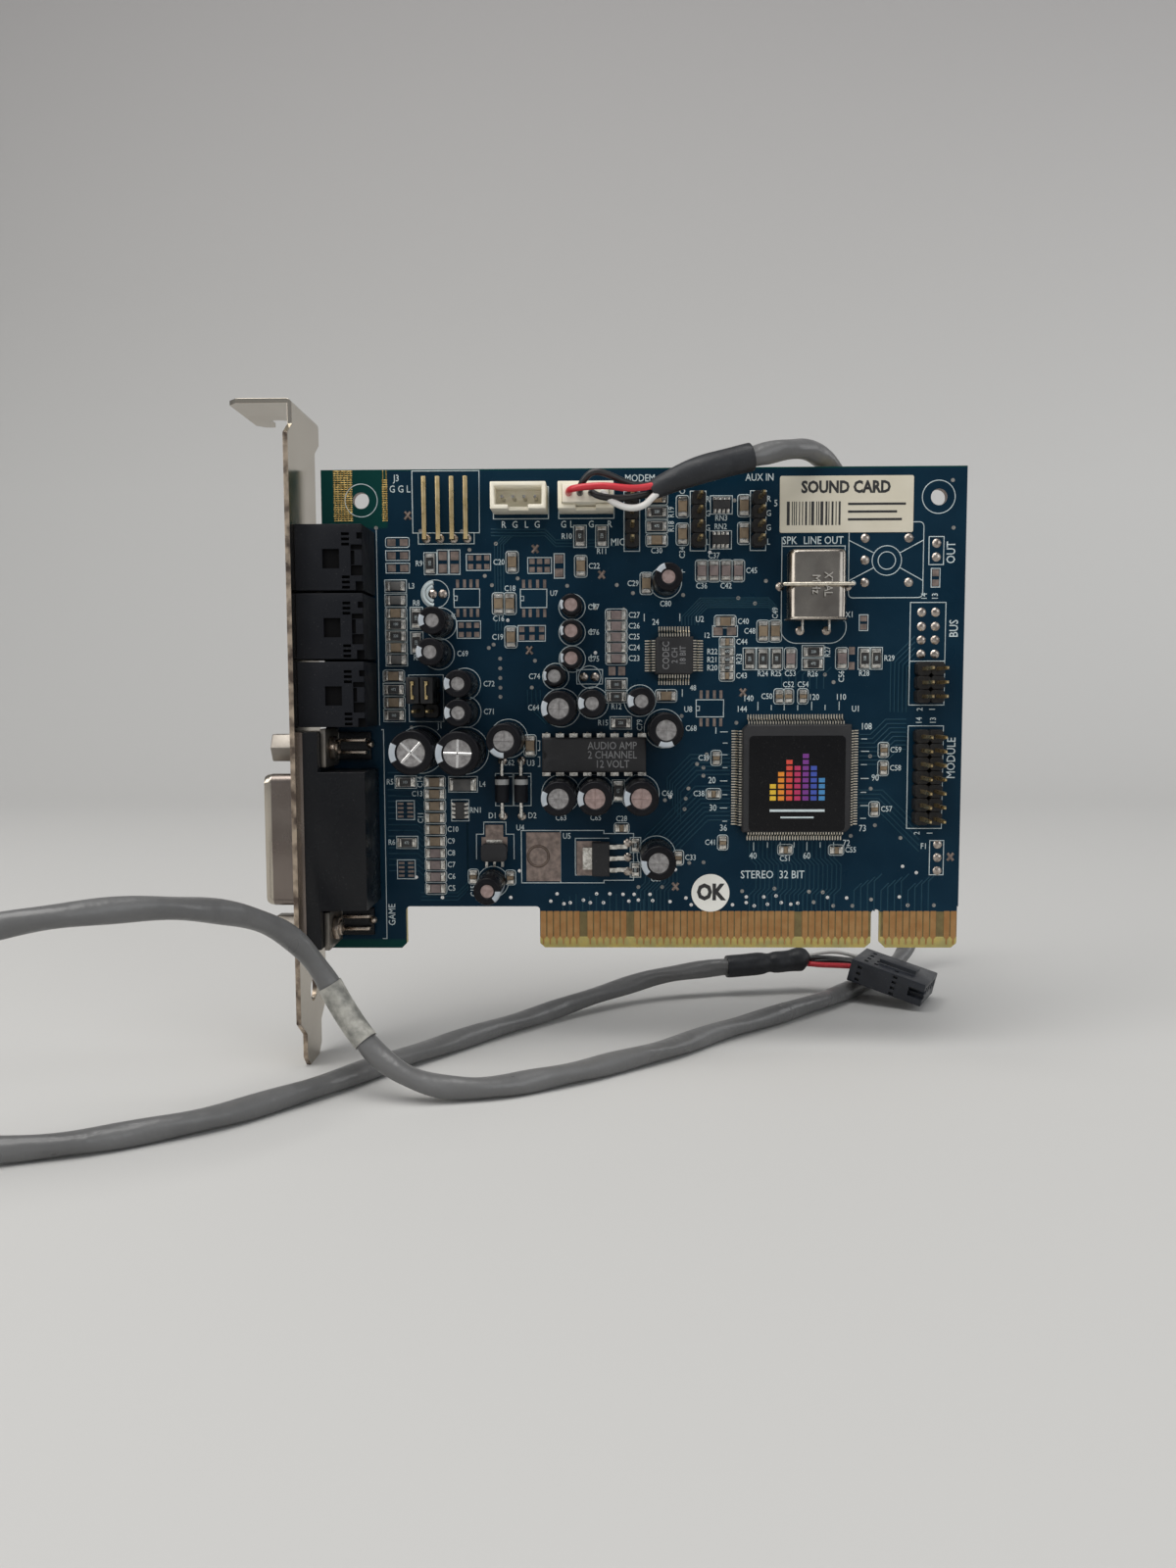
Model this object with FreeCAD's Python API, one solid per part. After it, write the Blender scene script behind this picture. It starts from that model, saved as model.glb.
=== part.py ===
import FreeCAD, Part
import math
import os

# A short expansion sound card, upright, with its component side facing -Y and its bracket at -X.
# The origin is the middle of the edge connector's bottom edge, on the component face. Millimetres.

# Circuit board
BOARD_HEIGHT = 89.6
BOARD_THICKNESS = 1.57
EAR_WIDTH = 14.6
NOTCH_WIDTH = 25.46
END_MARGIN = 0.2
EDGE_DEPTH = 8.0
CORNER_CUT = 0.9
NOTCH_RADIUS = 0.7
MOUNT_HOLE_RADIUS = 1.5
MOUNT_HOLE_DROP = 5.6
LEFT_HOLE_INSET = 7.4
RIGHT_HOLE_INSET = 5.1
PAD_THICKNESS = 0.07
HEAT_PAD_WIDTH = 6.5
HEAT_PAD_HEIGHT = 9.3

# Edge connector
CONTACT_COUNT = 62
CONTACT_PITCH = 1.27
CONTACT_WIDTH = 1.02
CONTACT_LENGTH = 4.9
CONTACT_THICKNESS = 0.05
CONTACT_MARGIN = 0.4
BEVEL_HEIGHT = 1.4
BEVEL_DEPTH = 0.45
KEY_AFTER = 50
KEY_WIDTH = 1.8
KEY_DEPTH = 7.4
KEY_FLARE = 1.0
FRONT_BLANKS = (7, 14, 39, 60)
BACK_BLANKS = (9, 11)

# Bracket
BRACKET_HEIGHT = 120.02
BRACKET_WIDTH = 18.42
BRACKET_THICKNESS = 0.86
BRACKET_TOP = 99.9
BRACKET_NEAR = 14.26
BRACKET_GAP = 2.07
BEND_RADIUS = 1.1
TAB_LENGTH = 11.43
TAB_SHIFT = 3.18
TAB_CORNER = 1.6
SHIFT_DROP = 4.4
SHIFT_HEIGHT = 2.1
SCREW_NOTCH_WIDTH = 4.42
SCREW_NOTCH_DEPTH = 5.7
SCREW_NOTCH_OFFSET = 5.08
TONGUE_WIDTH = 10.19
TONGUE_LENGTH = 6.3
TONGUE_TAPER = 3.0
TONGUE_CORNER = 2.0
TONGUE_HOLE_RADIUS = 2.2
TONGUE_HOLE_RISE = 13.5

# Audio jacks
JACK_COUNT = 3
JACK_PITCH = 12.05
JACK_WIDTH = 11.6
JACK_DEPTH = 11.9
JACK_HEIGHT = 11.6
JACK_AXIS = 5.8
JACK_NOSE_RADIUS = 4.1
JACK_NOSE_REACH = 1.3
JACK_BORE_RADIUS = 1.8
JACK_BORE_DEPTH = 11.0
JACK_RECESS = 0.5
JACK_RECESS_SIDE = 3.0
JACK_SLOT_WIDTH = 0.9
JACK_STACK_GAP = 0.9
JACK_TAIL_WIDTH = 1.2
JACK_TAIL_THICKNESS = 0.4
JACK_TAIL_INSET = 2.6
JACK_TAIL_STEP = 2.7
JACK_TAIL_OFFSET = 3.8

# Game port
PORT_CENTRE = 21.95
PORT_AXIS = 6.4
FLANGE_LENGTH = 39.14
FLANGE_WIDTH = 12.5
FLANGE_THICKNESS = 0.9
SCREW_OUTSET = 0.65
SHELL_LENGTH = 24.66
SHELL_WIDTH = 8.0
SHELL_SLANT = 1.4
SHELL_CORNER = 1.6
SHELL_WALL = 0.45
SHELL_REACH = 6.0
INSULATOR_RECESS = 0.4
HOUSING_LENGTH = 24.9
HOUSING_DEPTH = 11.9
HOUSING_FLANGE = 2.6
SOCKET_RADIUS = 0.62
SOCKET_BORE = 0.42
SOCKET_PITCH = 2.76
SOCKET_ROW = 2.84
PORT_TAIL_INSET = 5.2
LONG_ROW = 8
SHORT_ROW = 7
STANDOFF_FLATS = 4.9
STANDOFF_LENGTH = 5.0
STANDOFF_THREAD = 1.2
STANDOFF_SCREW = 1.4
STANDOFF_TIP = 1.2
LOCK_PLATE = 1.0
LOCK_CLEARANCE = 0.71
LOCK_HEIGHT = 10.4
LOCK_FOOT_LENGTH = 6.2
LOCK_FOOT_INSET = 0.9
LOCK_PRONG_WIDTH = 1.5
LOCK_PRONG_GAP = 2.4
LOCK_PRONG_INSET = 3.7

# Square chips with gull-wing leads
SOUND_CHIP_SIDE = 20.0
SOUND_CHIP_SPAN = 23.6
SOUND_CHIP_HEIGHT = 3.2
SOUND_CHIP_LEADS = 36
CODEC_SIDE = 7.0
CODEC_SPAN = 10.8
CODEC_HEIGHT = 1.9
CODEC_LEADS = 12
LEAD_PITCH = 0.5
LEAD_WIDTH = 0.22
LEAD_THICKNESS = 0.16
LEAD_FOOT = 0.7
CHIP_STANDOFF = 0.25
CHIP_BEVEL = 0.25
CHIP_CORNER = 1.0
LABEL_SIDE = 17.7
LABEL_THICKNESS = 0.1
LABEL_DROP = 0.9

# Amplifier in a two-row case
AMPLIFIER_LENGTH = 19.2
AMPLIFIER_WIDTH = 6.4
AMPLIFIER_BODY = 3.3
AMPLIFIER_STANDOFF = 0.6
AMPLIFIER_ROWS = 7.62
AMPLIFIER_PINS = 8
SHOULDER_WIDTH = 1.5
PIN_BLADE_WIDTH = 0.5
PIN_BLADE_THICKNESS = 0.28
AMPLIFIER_NOTCH = 0.8
CAN_CLEARANCE = 0.5

# Regulators
REGULATOR_BODY_WIDTH = 3.3
REGULATOR_BODY_LENGTH = 6.5
REGULATOR_HEIGHT = 1.7
REGULATOR_PAD_REACH = 2.9
REGULATOR_TAB_WIDTH = 4.2
REGULATOR_LEG_PITCH = 2.2
REGULATOR_LEG_WIDTH = 0.8
REGULATOR_LEG_REACH = 3.4
REGULATOR_LEG_KNEE = 1.4
REGULATOR_TAB_REACH = 1.75
TAB_THICKNESS = 0.5
SMALL_REGULATOR_WIDTH = 4.9
SMALL_REGULATOR_LENGTH = 3.4
SMALL_REGULATOR_HEIGHT = 1.6
SMALL_REGULATOR_CORNER = 0.85
SMALL_LEG_PITCH = 1.5
SMALL_LEG_WIDTH = 0.5
SMALL_LEG_REACH = 1.2
SMALL_PAD_SHOULDER = 1.1
SMALL_PAD_HEAD = 2.3
SMALL_PAD_HEAD_WIDTH = 3.3

# Crystal
CRYSTAL_WIDTH = 10.6
CRYSTAL_LENGTH = 12.8
CRYSTAL_THICKNESS = 4.5
CRYSTAL_FLANGE = 0.4
CRYSTAL_CORNER = 1.7
CRYSTAL_LEAD_PITCH = 4.9
CRYSTAL_LEAD_RADIUS = 0.25
CRYSTAL_LEAD_REACH = 1.7
STRAP_RADIUS = 0.35
STRAP_CLEARANCE = 0.9

# Electrolytic capacitors: diameter and height of each size
LARGE_CAN = 8.0
LARGE_CAN_HEIGHT = 11.5
MEDIUM_CAN = 6.3
MEDIUM_CAN_HEIGHT = 11.0
SMALL_CAN = 5.0
SMALL_CAN_HEIGHT = 11.0
MINI_CAN = 4.0
MINI_CAN_HEIGHT = 7.0
SLEEVE_THICKNESS = 0.25
SLEEVE_LIP = 0.7
SEAL_THICKNESS = 1.2
SCORE_WIDTH = 0.35
SCORE_DEPTH = 0.15

# Chip components
LONG_CHIP = 3.2
LONG_CHIP_WIDTH = 1.6
SHORT_CHIP = 2.0
SHORT_CHIP_WIDTH = 1.25
CHIP_HEIGHT = 0.65
CHIP_END = 0.5
ARRAY_LENGTH = 3.2
ARRAY_WIDTH = 1.8
ARRAY_PITCH = 0.8
ARRAY_END_WIDTH = 0.45
INDUCTOR_LENGTH = 4.6
INDUCTOR_WIDTH = 2.2
INDUCTOR_HEIGHT = 1.8

# Diodes
DIODE_RADIUS = 1.3
DIODE_LENGTH = 5.0
DIODE_LEAD_RADIUS = 0.38
DIODE_SPAN = 10.4
DIODE_LIFT = 0.25

# Pin headers
PIN_PITCH = 2.54
PIN_SIDE = 0.64
PIN_HEIGHT = 8.6
PIN_TAIL = 1.1
HOLE_CLEARANCE = 0.06
HEADER_BASE = 2.5
HEADER_BASE_WIDTH = 2.46
INPUT_PIN_COUNT = 4
ANGLE_PIN_COUNT = 4
BLOCK_COLUMNS = 2
JUMPER_ROWS = 3
SMALL_BLOCK_ROWS = 3
LARGE_BLOCK_ROWS = 7
ANGLE_PIN_SIDE = 0.8
ANGLE_PIN_LIFT = 1.6
ANGLE_PIN_LENGTH = 11.0
SHUNT_WIDTH = 2.3
SHUNT_HEIGHT = 6.0
CLIP_WIDTH = 0.5
CLIP_THICKNESS = 0.3

# White audio headers and the lead's white plug
AUDIO_PITCH = 2.0
AUDIO_WAYS = 4
AUDIO_PIN = 0.5
AUDIO_PIN_HEIGHT = 5.4
AUDIO_LENGTH = 10.0
AUDIO_DEPTH = 4.8
AUDIO_HEIGHT = 7.0
AUDIO_WALL = 0.75
AUDIO_FLOOR = 1.4
AUDIO_GATE = 3.6
AUDIO_GATE_DEPTH = 2.6
PLUG_CLEARANCE = 0.1
PLUG_HEIGHT = 7.0

# Labels on the board
BOARD_LABEL_LENGTH = 24.5
BOARD_LABEL_HEIGHT = 10.3
ROUND_LABEL_RADIUS = 3.6
PAPER_THICKNESS = 0.12

# Audio lead
CABLE_RADIUS = 2.0
SHRINK_RADIUS = 2.5
WIRE_RADIUS = 0.6
WIRE_SPREAD = 0.75
WIRE_FAN = 1.9
WIRE_STUB = 3.2
WIRE_ENTRY = 1.0
UPPER_SLEEVE_BEND = 8.6
LOWER_SLEEVE_LENGTH = 17.9
FREE_PLUG_LENGTH = 16.5
FREE_PLUG_WIDTH = 12.4
FREE_PLUG_THICKNESS = 6.0
FREE_PLUG_SLOT = 1.6
FREE_PLUG_SLOT_DEPTH = 8.0
FREE_PLUG_LATCH = 1.0
LATCH_START = 5.0
LATCH_LENGTH = 8.2
LATCH_WIDTH = 4.2
BEND_SHARE = 0.45

V = FreeCAD.Vector
X_AXIS = V(1, 0, 0)
Y_AXIS = V(0, 1, 0)
Z_AXIS = V(0, 0, 1)

# The lead's route: the jacket leaves the upper shrink sleeve, goes over the board's top edge and
# down behind it, runs forward on the floor, arches past the bracket and returns to its free plug.
UPPER_SLEEVE_MOUTH = V(-17.9, -10.0, 83.9)
CABLE_ROUTE = [
    V(-1.8, -7.4, 91.2), V(7.0, -5.75, 94.39), V(15.3, 1.8, 94.4), V(21.0, 10.3, 87.0),
    V(24.0, 17.0, 73.0), V(28.5, 25.0, 58.5), V(34.0, 35.5, 45.5), V(40.5, 47.5, 33.5),
    V(46.5, 59.5, 23.5), V(51.8, 70.6, 14.5), V(53.2, 72.4, 3.7), V(51.4, 70.0, -6.9),
    V(46.8, 63.9, -14.8), V(40.5, 55.5, -18.1), V(29.0, 40.0, -18.1), V(14.0, 23.3, -18.1),
    V(-2.8, 8.6, -18.1), V(-16.0, -5.5, -18.1), V(-29.6, -16.2, -18.1), V(-41.0, -24.0, -18.1),
    V(-53.0, -28.0, -18.1), V(-63.0, -27.8, -14.6), V(-70.0, -24.8, -7.6), V(-75.4, -23.8, 2.0),
    V(-80.0, -28.3, 9.4), V(-85.3, -38.5, 14.4), V(-93.0, -49.5, 17.2), V(-105.0, -57.5, 17.4),
    V(-118.0, -61.5, 15.0), V(-128.5, -62.8, 7.5), V(-132.5, -61.8, -4.0), V(-128.0, -58.8, -14.0),
    V(-117.0, -54.6, -18.1), V(-103.0, -49.6, -18.1), V(-89.0, -41.0, -18.1),
    V(-77.0, -28.0, -18.1), V(-66.0, -12.5, -18.1), V(-53.0, 3.5, -18.1), V(-39.5, 19.5, -18.1),
    V(-26.0, 32.0, -16.6), V(-11.77, 39.13, -14.12), V(1.0, 41.3, -13.5),
]
FREE_PLUG_REAR = V(29.5, 39.8, -12.0)
FREE_PLUG_AIM = V(0.863, -0.444, -0.244)

# How far each wire stands off the white plug, and how far it swings up or down on the way.
PLUG_WIRE_LOOPS = ((5.0, 0.6), (3.6, 4.6), (2.4, 2.4), (2.2, -2.0))

# Places follow from the sizes above.
SECTION_HALF = CONTACT_COUNT * CONTACT_PITCH / 2
BOARD_RIGHT = SECTION_HALF + END_MARGIN
BOARD_LEFT = -SECTION_HALF - NOTCH_WIDTH - EAR_WIDTH
BOARD_LENGTH = BOARD_RIGHT - BOARD_LEFT
BACK = BOARD_THICKNESS
TAIL_END = BOARD_THICKNESS + PIN_TAIL
KEY_X = KEY_AFTER * CONTACT_PITCH - SECTION_HALF
CONTACT_START = BEVEL_HEIGHT + CONTACT_MARGIN
BRACKET_INNER = BOARD_LEFT - BRACKET_GAP
BRACKET_OUTER = BRACKET_INNER - BRACKET_THICKNESS
BRACKET_FAR = BRACKET_WIDTH - BRACKET_NEAR
BRACKET_FOOT = BRACKET_TOP - BRACKET_HEIGHT
SCREW_SPACING = (HOUSING_LENGTH + FLANGE_LENGTH) / 2 + 2 * SCREW_OUTSET
LOCK_WIDTH = SCREW_SPACING - HOUSING_LENGTH - 2 * LOCK_CLEARANCE
LOCK_FOOT_WIDTH = LOCK_WIDTH - 2 * LOCK_FOOT_INSET
PORT_SCREWS = [PORT_CENTRE + SCREW_SPACING / 2, PORT_CENTRE - SCREW_SPACING / 2]
JACK_FIRST = PORT_CENTRE + FLANGE_LENGTH / 2 + JACK_STACK_GAP + JACK_WIDTH / 2
JACK_RIGHT = BRACKET_INNER + JACK_DEPTH
SOCKET_HOLE_RADIUS = SOCKET_RADIUS + HOLE_CLEARANCE
SCREW_HOLE_RADIUS = STANDOFF_SCREW + HOLE_CLEARANCE


def place(along, up):
    """A place on the board, in percent of its length from the bracket and of its height."""
    return BOARD_LEFT + BOARD_LENGTH * along / 100, BOARD_HEIGHT * up / 100


def below_amplifier(along):
    """A place for a medium can just clear of the amplifier's lower row of leads."""
    drop = AMPLIFIER_ROWS / 2 + CAN_CLEARANCE + MEDIUM_CAN / 2
    return place(along, 0)[0], AMPLIFIER_AT[1] - drop


# Where the components sit, in percent of the board.
SOUND_CHIP_AT = place(73.9, 36.2)
CODEC_AT = place(54.9, 61.6)
AMPLIFIER_AT = place(42.4, 41.2)
REGULATOR_AT = place(43.4, 19.2)
SMALL_REGULATOR_AT = place(26.5, 20.6)
CRYSTAL_AT = place(76.6, 75.7)
DIODES_AT = [place(27.9, 34.0), place(30.9, 34.0)]
INDUCTOR_AT = place(21.6, 34.9)
ARRAYS_FLAT = [place(62.2, 92.4), place(62.1, 85.3)]
ARRAYS_UPRIGHT = [place(21.1, 29.4)]
HEAT_PAD_AT = place(34.3, 19.5)
BOARD_LABEL_AT = place(81.5, 92.4)
ROUND_LABEL_AT = place(60.8, 11.8)
OPEN_HEADER_AT = place(31.1, 93.4)
USED_HEADER_AT = place(41.3, 93.4)
ANGLE_PINS_AT = place(16.3, 85.9)
MODEM_PINS_AT = place(48.35, 93.5)
TV_PINS_AT = place(58.6, 93.5)
AUX_PINS_AT = place(67.9, 93.5)
JUMPER_AT = place(15.0, 56.0)
SMALL_BLOCK_AT = place(93.4, 58.7)
LARGE_BLOCK_AT = place(93.4, 44.8)

LARGE_CANS_AT = [place(15.0, 42.2), place(22.0, 42.0)]
MEDIUM_CANS_AT = [
    place(28.9, 44.5), place(37.2, 50.9), place(53.3, 46.5), below_amplifier(37.1),
    below_amplifier(42.6), below_amplifier(49.6), place(52.2, 19.9),
]
SMALL_CANS_AT = [
    place(18.4, 68.4), place(18.0, 62.2), place(22.1, 55.9), place(22.1, 50.1),
    place(53.6, 76.7), place(49.6, 52.3), place(42.2, 51.9), place(26.2, 14.2),
]
MINI_CANS_AT = [place(39.0, 71.7), place(39.0, 66.5), place(39.0, 61.0), place(36.4, 57.4)]


def column(along, up, count, pitch):
    """Places one above the other, from the top down, a pitch apart."""
    x, z = place(along, up)
    return [(x, z - pitch * i) for i in range(count)]


def row(along, up, count, pitch):
    """Places side by side, from the left, a pitch apart."""
    x, z = place(along, up)
    return [(x + pitch * i, z) for i in range(count)]


BEADS_FLAT = column(11.4, 76.2, 2, 2.6) + [place(11.4, 61.0)]
CAPACITORS_FLAT = (
    column(17.1, 35.4, 10, 2.25) + column(45.9, 70.0, 5, 2.0)
    + [place(11.4, 70.6), place(11.4, 63.5), place(10.9, 57.6), place(10.9, 52.1),
       place(52.2, 85.3), place(52.2, 93.8), place(62.9, 68.6), place(53.7, 53.3)]
)
RESISTORS_FLAT = (
    column(11.4, 68.3, 2, 2.15) + column(45.9, 55.7, 2, 2.25) + column(76.6, 62.3, 2, 2.2)
    + [place(10.9, 54.8), place(10.9, 49.4), place(12.5, 35.4), place(12.6, 22.6),
       place(52.2, 91.0), place(52.2, 88.1), place(46.6, 47.7)]
)
CAPACITORS_UPRIGHT = (
    row(27.5, 72.5, 2, 2.15) + row(59.2, 79.0, 4, 2.25) + row(68.8, 66.6, 2, 2.25)
    + [place(29.7, 81.0), place(29.4, 65.6), place(40.4, 80.1), place(56.2, 92.1),
       place(56.2, 86.5), place(65.7, 92.2), place(65.7, 86.6), place(50.6, 76.5),
       place(73.1, 60.9), place(81.1, 60.9), place(32.3, 43.0)]
)
RESISTORS_UPRIGHT = (
    row(66.7, 60.9, 3, 2.5) + row(84.6, 60.9, 2, 2.15)
    + [place(16.9, 80.8), place(14.6, 69.6), place(14.6, 64.5), place(40.3, 86.2),
       place(43.7, 86.2), place(46.2, 33.5)]
)
SHORT_CAPACITORS_FLAT = [
    place(63.2, 64.4), place(63.2, 57.4), place(61.2, 32.8), place(72.6, 21.0),
    place(80.6, 20.9), place(46.7, 25.6),
]
SHORT_RESISTORS_FLAT = column(63.2, 62.4, 3, 1.5)
SHORT_CAPACITORS_UPRIGHT = (
    row(71.4, 53.1, 2, 1.7) + column(87.8, 41.9, 2, 3.4)
    + [place(75.1, 53.1), place(61.6, 40.3), place(86.5, 29.5), place(62.7, 22.5),
       place(29.0, 15.1), place(23.1, 15.3), place(55.7, 19.3)]
)
SHORT_RESISTORS_UPRIGHT = column(48.9, 22.0, 2, 4.7)


def block(x0, x1, y0, y1, z0, z1):
    return Part.makeBox(x1 - x0, y1 - y0, z1 - z0, V(x0, y0, z0))


def slab(at, width, height, near, far):
    """A block centred on a place of the board, between two depths."""
    x, z = at
    return block(x - width / 2, x + width / 2, near, far, z - height / 2, z + height / 2)


def disc(at, radius, near, far):
    """A round bar square to the board, between two depths."""
    return Part.makeCylinder(radius, far - near, V(at[0], near, at[1]), Y_AXIS)


def bar_x(x0, x1, y, z, radius):
    return Part.makeCylinder(radius, x1 - x0, V(x0, y, z), X_AXIS)


def prism(points, push):
    """A flat outline, given by its corners, pushed along a vector."""
    face = Part.Face(Part.makePolygon(points + points[:1]))
    return face.extrude(push)


def group(solids):
    return Part.makeCompound(solids)


def save(node, shape):
    shape.exportStep(f"parts/{node}.step")


def grid_places(at, columns, rows, pitch):
    """Pin places in columns and rows, the first at the upper left."""
    x, z = at
    return [(x + c * pitch, z - r * pitch) for c in range(columns) for r in range(rows)]


def row_about(at, count, pitch):
    """Places side by side, centred."""
    x, z = at
    return [(x + (i - (count - 1) / 2) * pitch, z) for i in range(count)]


PIN_GRIDS = [
    (MODEM_PINS_AT, 1, INPUT_PIN_COUNT), (TV_PINS_AT, 1, INPUT_PIN_COUNT), (AUX_PINS_AT, 1, INPUT_PIN_COUNT),
    (JUMPER_AT, BLOCK_COLUMNS, JUMPER_ROWS), (SMALL_BLOCK_AT, BLOCK_COLUMNS, SMALL_BLOCK_ROWS),
    (LARGE_BLOCK_AT, BLOCK_COLUMNS, LARGE_BLOCK_ROWS),
]
HEADER_PINS = [p for at, columns, rows in PIN_GRIDS for p in grid_places(at, columns, rows, PIN_PITCH)]
AUDIO_PINS = row_about(OPEN_HEADER_AT, AUDIO_WAYS, AUDIO_PITCH) + row_about(
    USED_HEADER_AT, AUDIO_WAYS, AUDIO_PITCH)
ANGLE_PINS = grid_places(ANGLE_PINS_AT, ANGLE_PIN_COUNT, 1, PIN_PITCH)
AMPLIFIER_PIN_ROWS = [
    p for side in (1, -1)
    for p in row_about((AMPLIFIER_AT[0], AMPLIFIER_AT[1] + side * AMPLIFIER_ROWS / 2),
                       AMPLIFIER_PINS, PIN_PITCH)
]
DIODE_ENDS = [(x, z + side * DIODE_SPAN / 2) for x, z in DIODES_AT for side in (1, -1)]
JACK_CENTRES = [JACK_FIRST + JACK_PITCH * i for i in range(JACK_COUNT)][::-1]
JACK_TAILS = [
    (BOARD_LEFT + dx, z + dz) for z in JACK_CENTRES
    for dx, dz in ((JACK_TAIL_INSET, JACK_TAIL_OFFSET), (JACK_TAIL_INSET, -JACK_TAIL_OFFSET),
                   (JACK_TAIL_INSET + JACK_TAIL_STEP, 0),
                   (JACK_TAIL_INSET + 2 * JACK_TAIL_STEP, JACK_TAIL_OFFSET),
                   (JACK_TAIL_INSET + 2 * JACK_TAIL_STEP, -JACK_TAIL_OFFSET))
]
PORT_TAILS = [
    (BOARD_LEFT + PORT_TAIL_INSET + PIN_PITCH * short, PORT_CENTRE + (i - (count - 1) / 2) * SOCKET_PITCH)
    for short, count in ((0, LONG_ROW), (1, SHORT_ROW)) for i in range(count)
]
LOCK_PLATE_X = BRACKET_INNER + FLANGE_THICKNESS + HOUSING_FLANGE
LOCK_PRONGS = [
    (LOCK_PLATE_X + LOCK_PLATE + LOCK_PRONG_INSET, z + side * LOCK_PRONG_GAP / 2)
    for z in PORT_SCREWS for side in (1, -1)
]
CRYSTAL_BASE_Z = CRYSTAL_AT[1] - CRYSTAL_LENGTH / 2
CRYSTAL_PINS = row_about((CRYSTAL_AT[0], CRYSTAL_BASE_Z - CRYSTAL_LEAD_REACH), 2, CRYSTAL_LEAD_PITCH)
STRAP_HALF = CRYSTAL_WIDTH / 2 + STRAP_CLEARANCE
STRAP_PINS = [(CRYSTAL_AT[0] - STRAP_HALF, CRYSTAL_AT[1]), (CRYSTAL_AT[0] + STRAP_HALF, CRYSTAL_AT[1])]


def half_diagonal(width, height):
    return math.hypot(width, height) / 2


def drilled_holes():
    """The hole for each lead that passes through the board."""
    pin_sets = [
        (HEADER_PINS, half_diagonal(PIN_SIDE, PIN_SIDE)),
        (AUDIO_PINS, half_diagonal(AUDIO_PIN, AUDIO_PIN)),
        (ANGLE_PINS, half_diagonal(ANGLE_PIN_SIDE, ANGLE_PIN_SIDE)),
        (AMPLIFIER_PIN_ROWS, half_diagonal(PIN_BLADE_WIDTH, PIN_BLADE_THICKNESS)),
        (DIODE_ENDS, DIODE_LEAD_RADIUS),
        (JACK_TAILS, half_diagonal(JACK_TAIL_WIDTH, JACK_TAIL_THICKNESS)),
        (PORT_TAILS, SOCKET_BORE),
        (LOCK_PRONGS, half_diagonal(LOCK_PRONG_WIDTH, LOCK_PLATE)),
        (CRYSTAL_PINS, CRYSTAL_LEAD_RADIUS),
        (STRAP_PINS, STRAP_RADIUS),
    ]
    return [disc(at, radius + HOLE_CLEARANCE, 0, BACK) for pins, radius in pin_sets for at in pins]


def mount_holes():
    z = BOARD_HEIGHT - MOUNT_HOLE_DROP
    return [disc((BOARD_LEFT + LEFT_HOLE_INSET, z), MOUNT_HOLE_RADIUS, 0, BACK),
            disc((BOARD_RIGHT - RIGHT_HOLE_INSET, z), MOUNT_HOLE_RADIUS, 0, BACK)]


def key_slot():
    """The round-ended key slot with its flared mouth."""
    crown = KEY_DEPTH - KEY_WIDTH / 2
    half = KEY_WIDTH / 2
    mouth = prism([V(KEY_X - half - KEY_FLARE, 0, 0), V(KEY_X + half + KEY_FLARE, 0, 0),
                   V(KEY_X + half, 0, KEY_FLARE), V(KEY_X - half, 0, KEY_FLARE)], V(0, BACK, 0))
    shaft = block(KEY_X - half, KEY_X + half, 0, BACK, 0, crown)
    return [shaft, disc((KEY_X, crown), half, 0, BACK), mouth]


def edge_bevels():
    """The wedges taken off both faces of the connector's bottom edge."""
    span = V(2 * SECTION_HALF, 0, 0)
    front = [V(-SECTION_HALF, 0, 0), V(-SECTION_HALF, BEVEL_DEPTH, 0), V(-SECTION_HALF, 0, BEVEL_HEIGHT)]
    back = [V(p.x, BACK - p.y, p.z) for p in front]
    return [prism(front, span), prism(back, span)]


def circuit_board():
    ear = BOARD_LEFT + EAR_WIDTH
    outline = [
        V(BOARD_LEFT, 0, 0), V(ear - CORNER_CUT, 0, 0), V(ear, 0, CORNER_CUT), V(ear, 0, EDGE_DEPTH),
        V(-SECTION_HALF, 0, EDGE_DEPTH), V(-SECTION_HALF, 0, CORNER_CUT),
        V(CORNER_CUT - SECTION_HALF, 0, 0), V(SECTION_HALF - CORNER_CUT, 0, 0),
        V(SECTION_HALF, 0, CORNER_CUT), V(SECTION_HALF, 0, EDGE_DEPTH), V(BOARD_RIGHT, 0, EDGE_DEPTH),
        V(BOARD_RIGHT, 0, BOARD_HEIGHT), V(BOARD_LEFT, 0, BOARD_HEIGHT),
    ]
    board = prism(outline, V(0, BACK, 0))
    corners = [
        edge for edge in board.Edges
        if abs(edge.CenterOfMass.z - EDGE_DEPTH) < 0.01 and edge.BoundBox.YLength > BACK / 2
        and edge.CenterOfMass.x < 0 and edge.BoundBox.XLength < 0.01
    ]
    board = board.makeFillet(NOTCH_RADIUS, corners)
    return board.cut(mount_holes() + key_slot() + edge_bevels() + drilled_holes())


def edge_contacts(blanks, near):
    """One row of gold fingers lying on a face of the board."""
    fingers = []
    for number in range(1, CONTACT_COUNT + 1):
        if number in blanks or number in (KEY_AFTER, KEY_AFTER + 1):
            continue
        x = (number - 0.5) * CONTACT_PITCH - SECTION_HALF
        z = CONTACT_START + CONTACT_LENGTH / 2
        fingers.append(slab((x, z), CONTACT_WIDTH, CONTACT_LENGTH, near, near + CONTACT_THICKNESS))
    return group(fingers)


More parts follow.
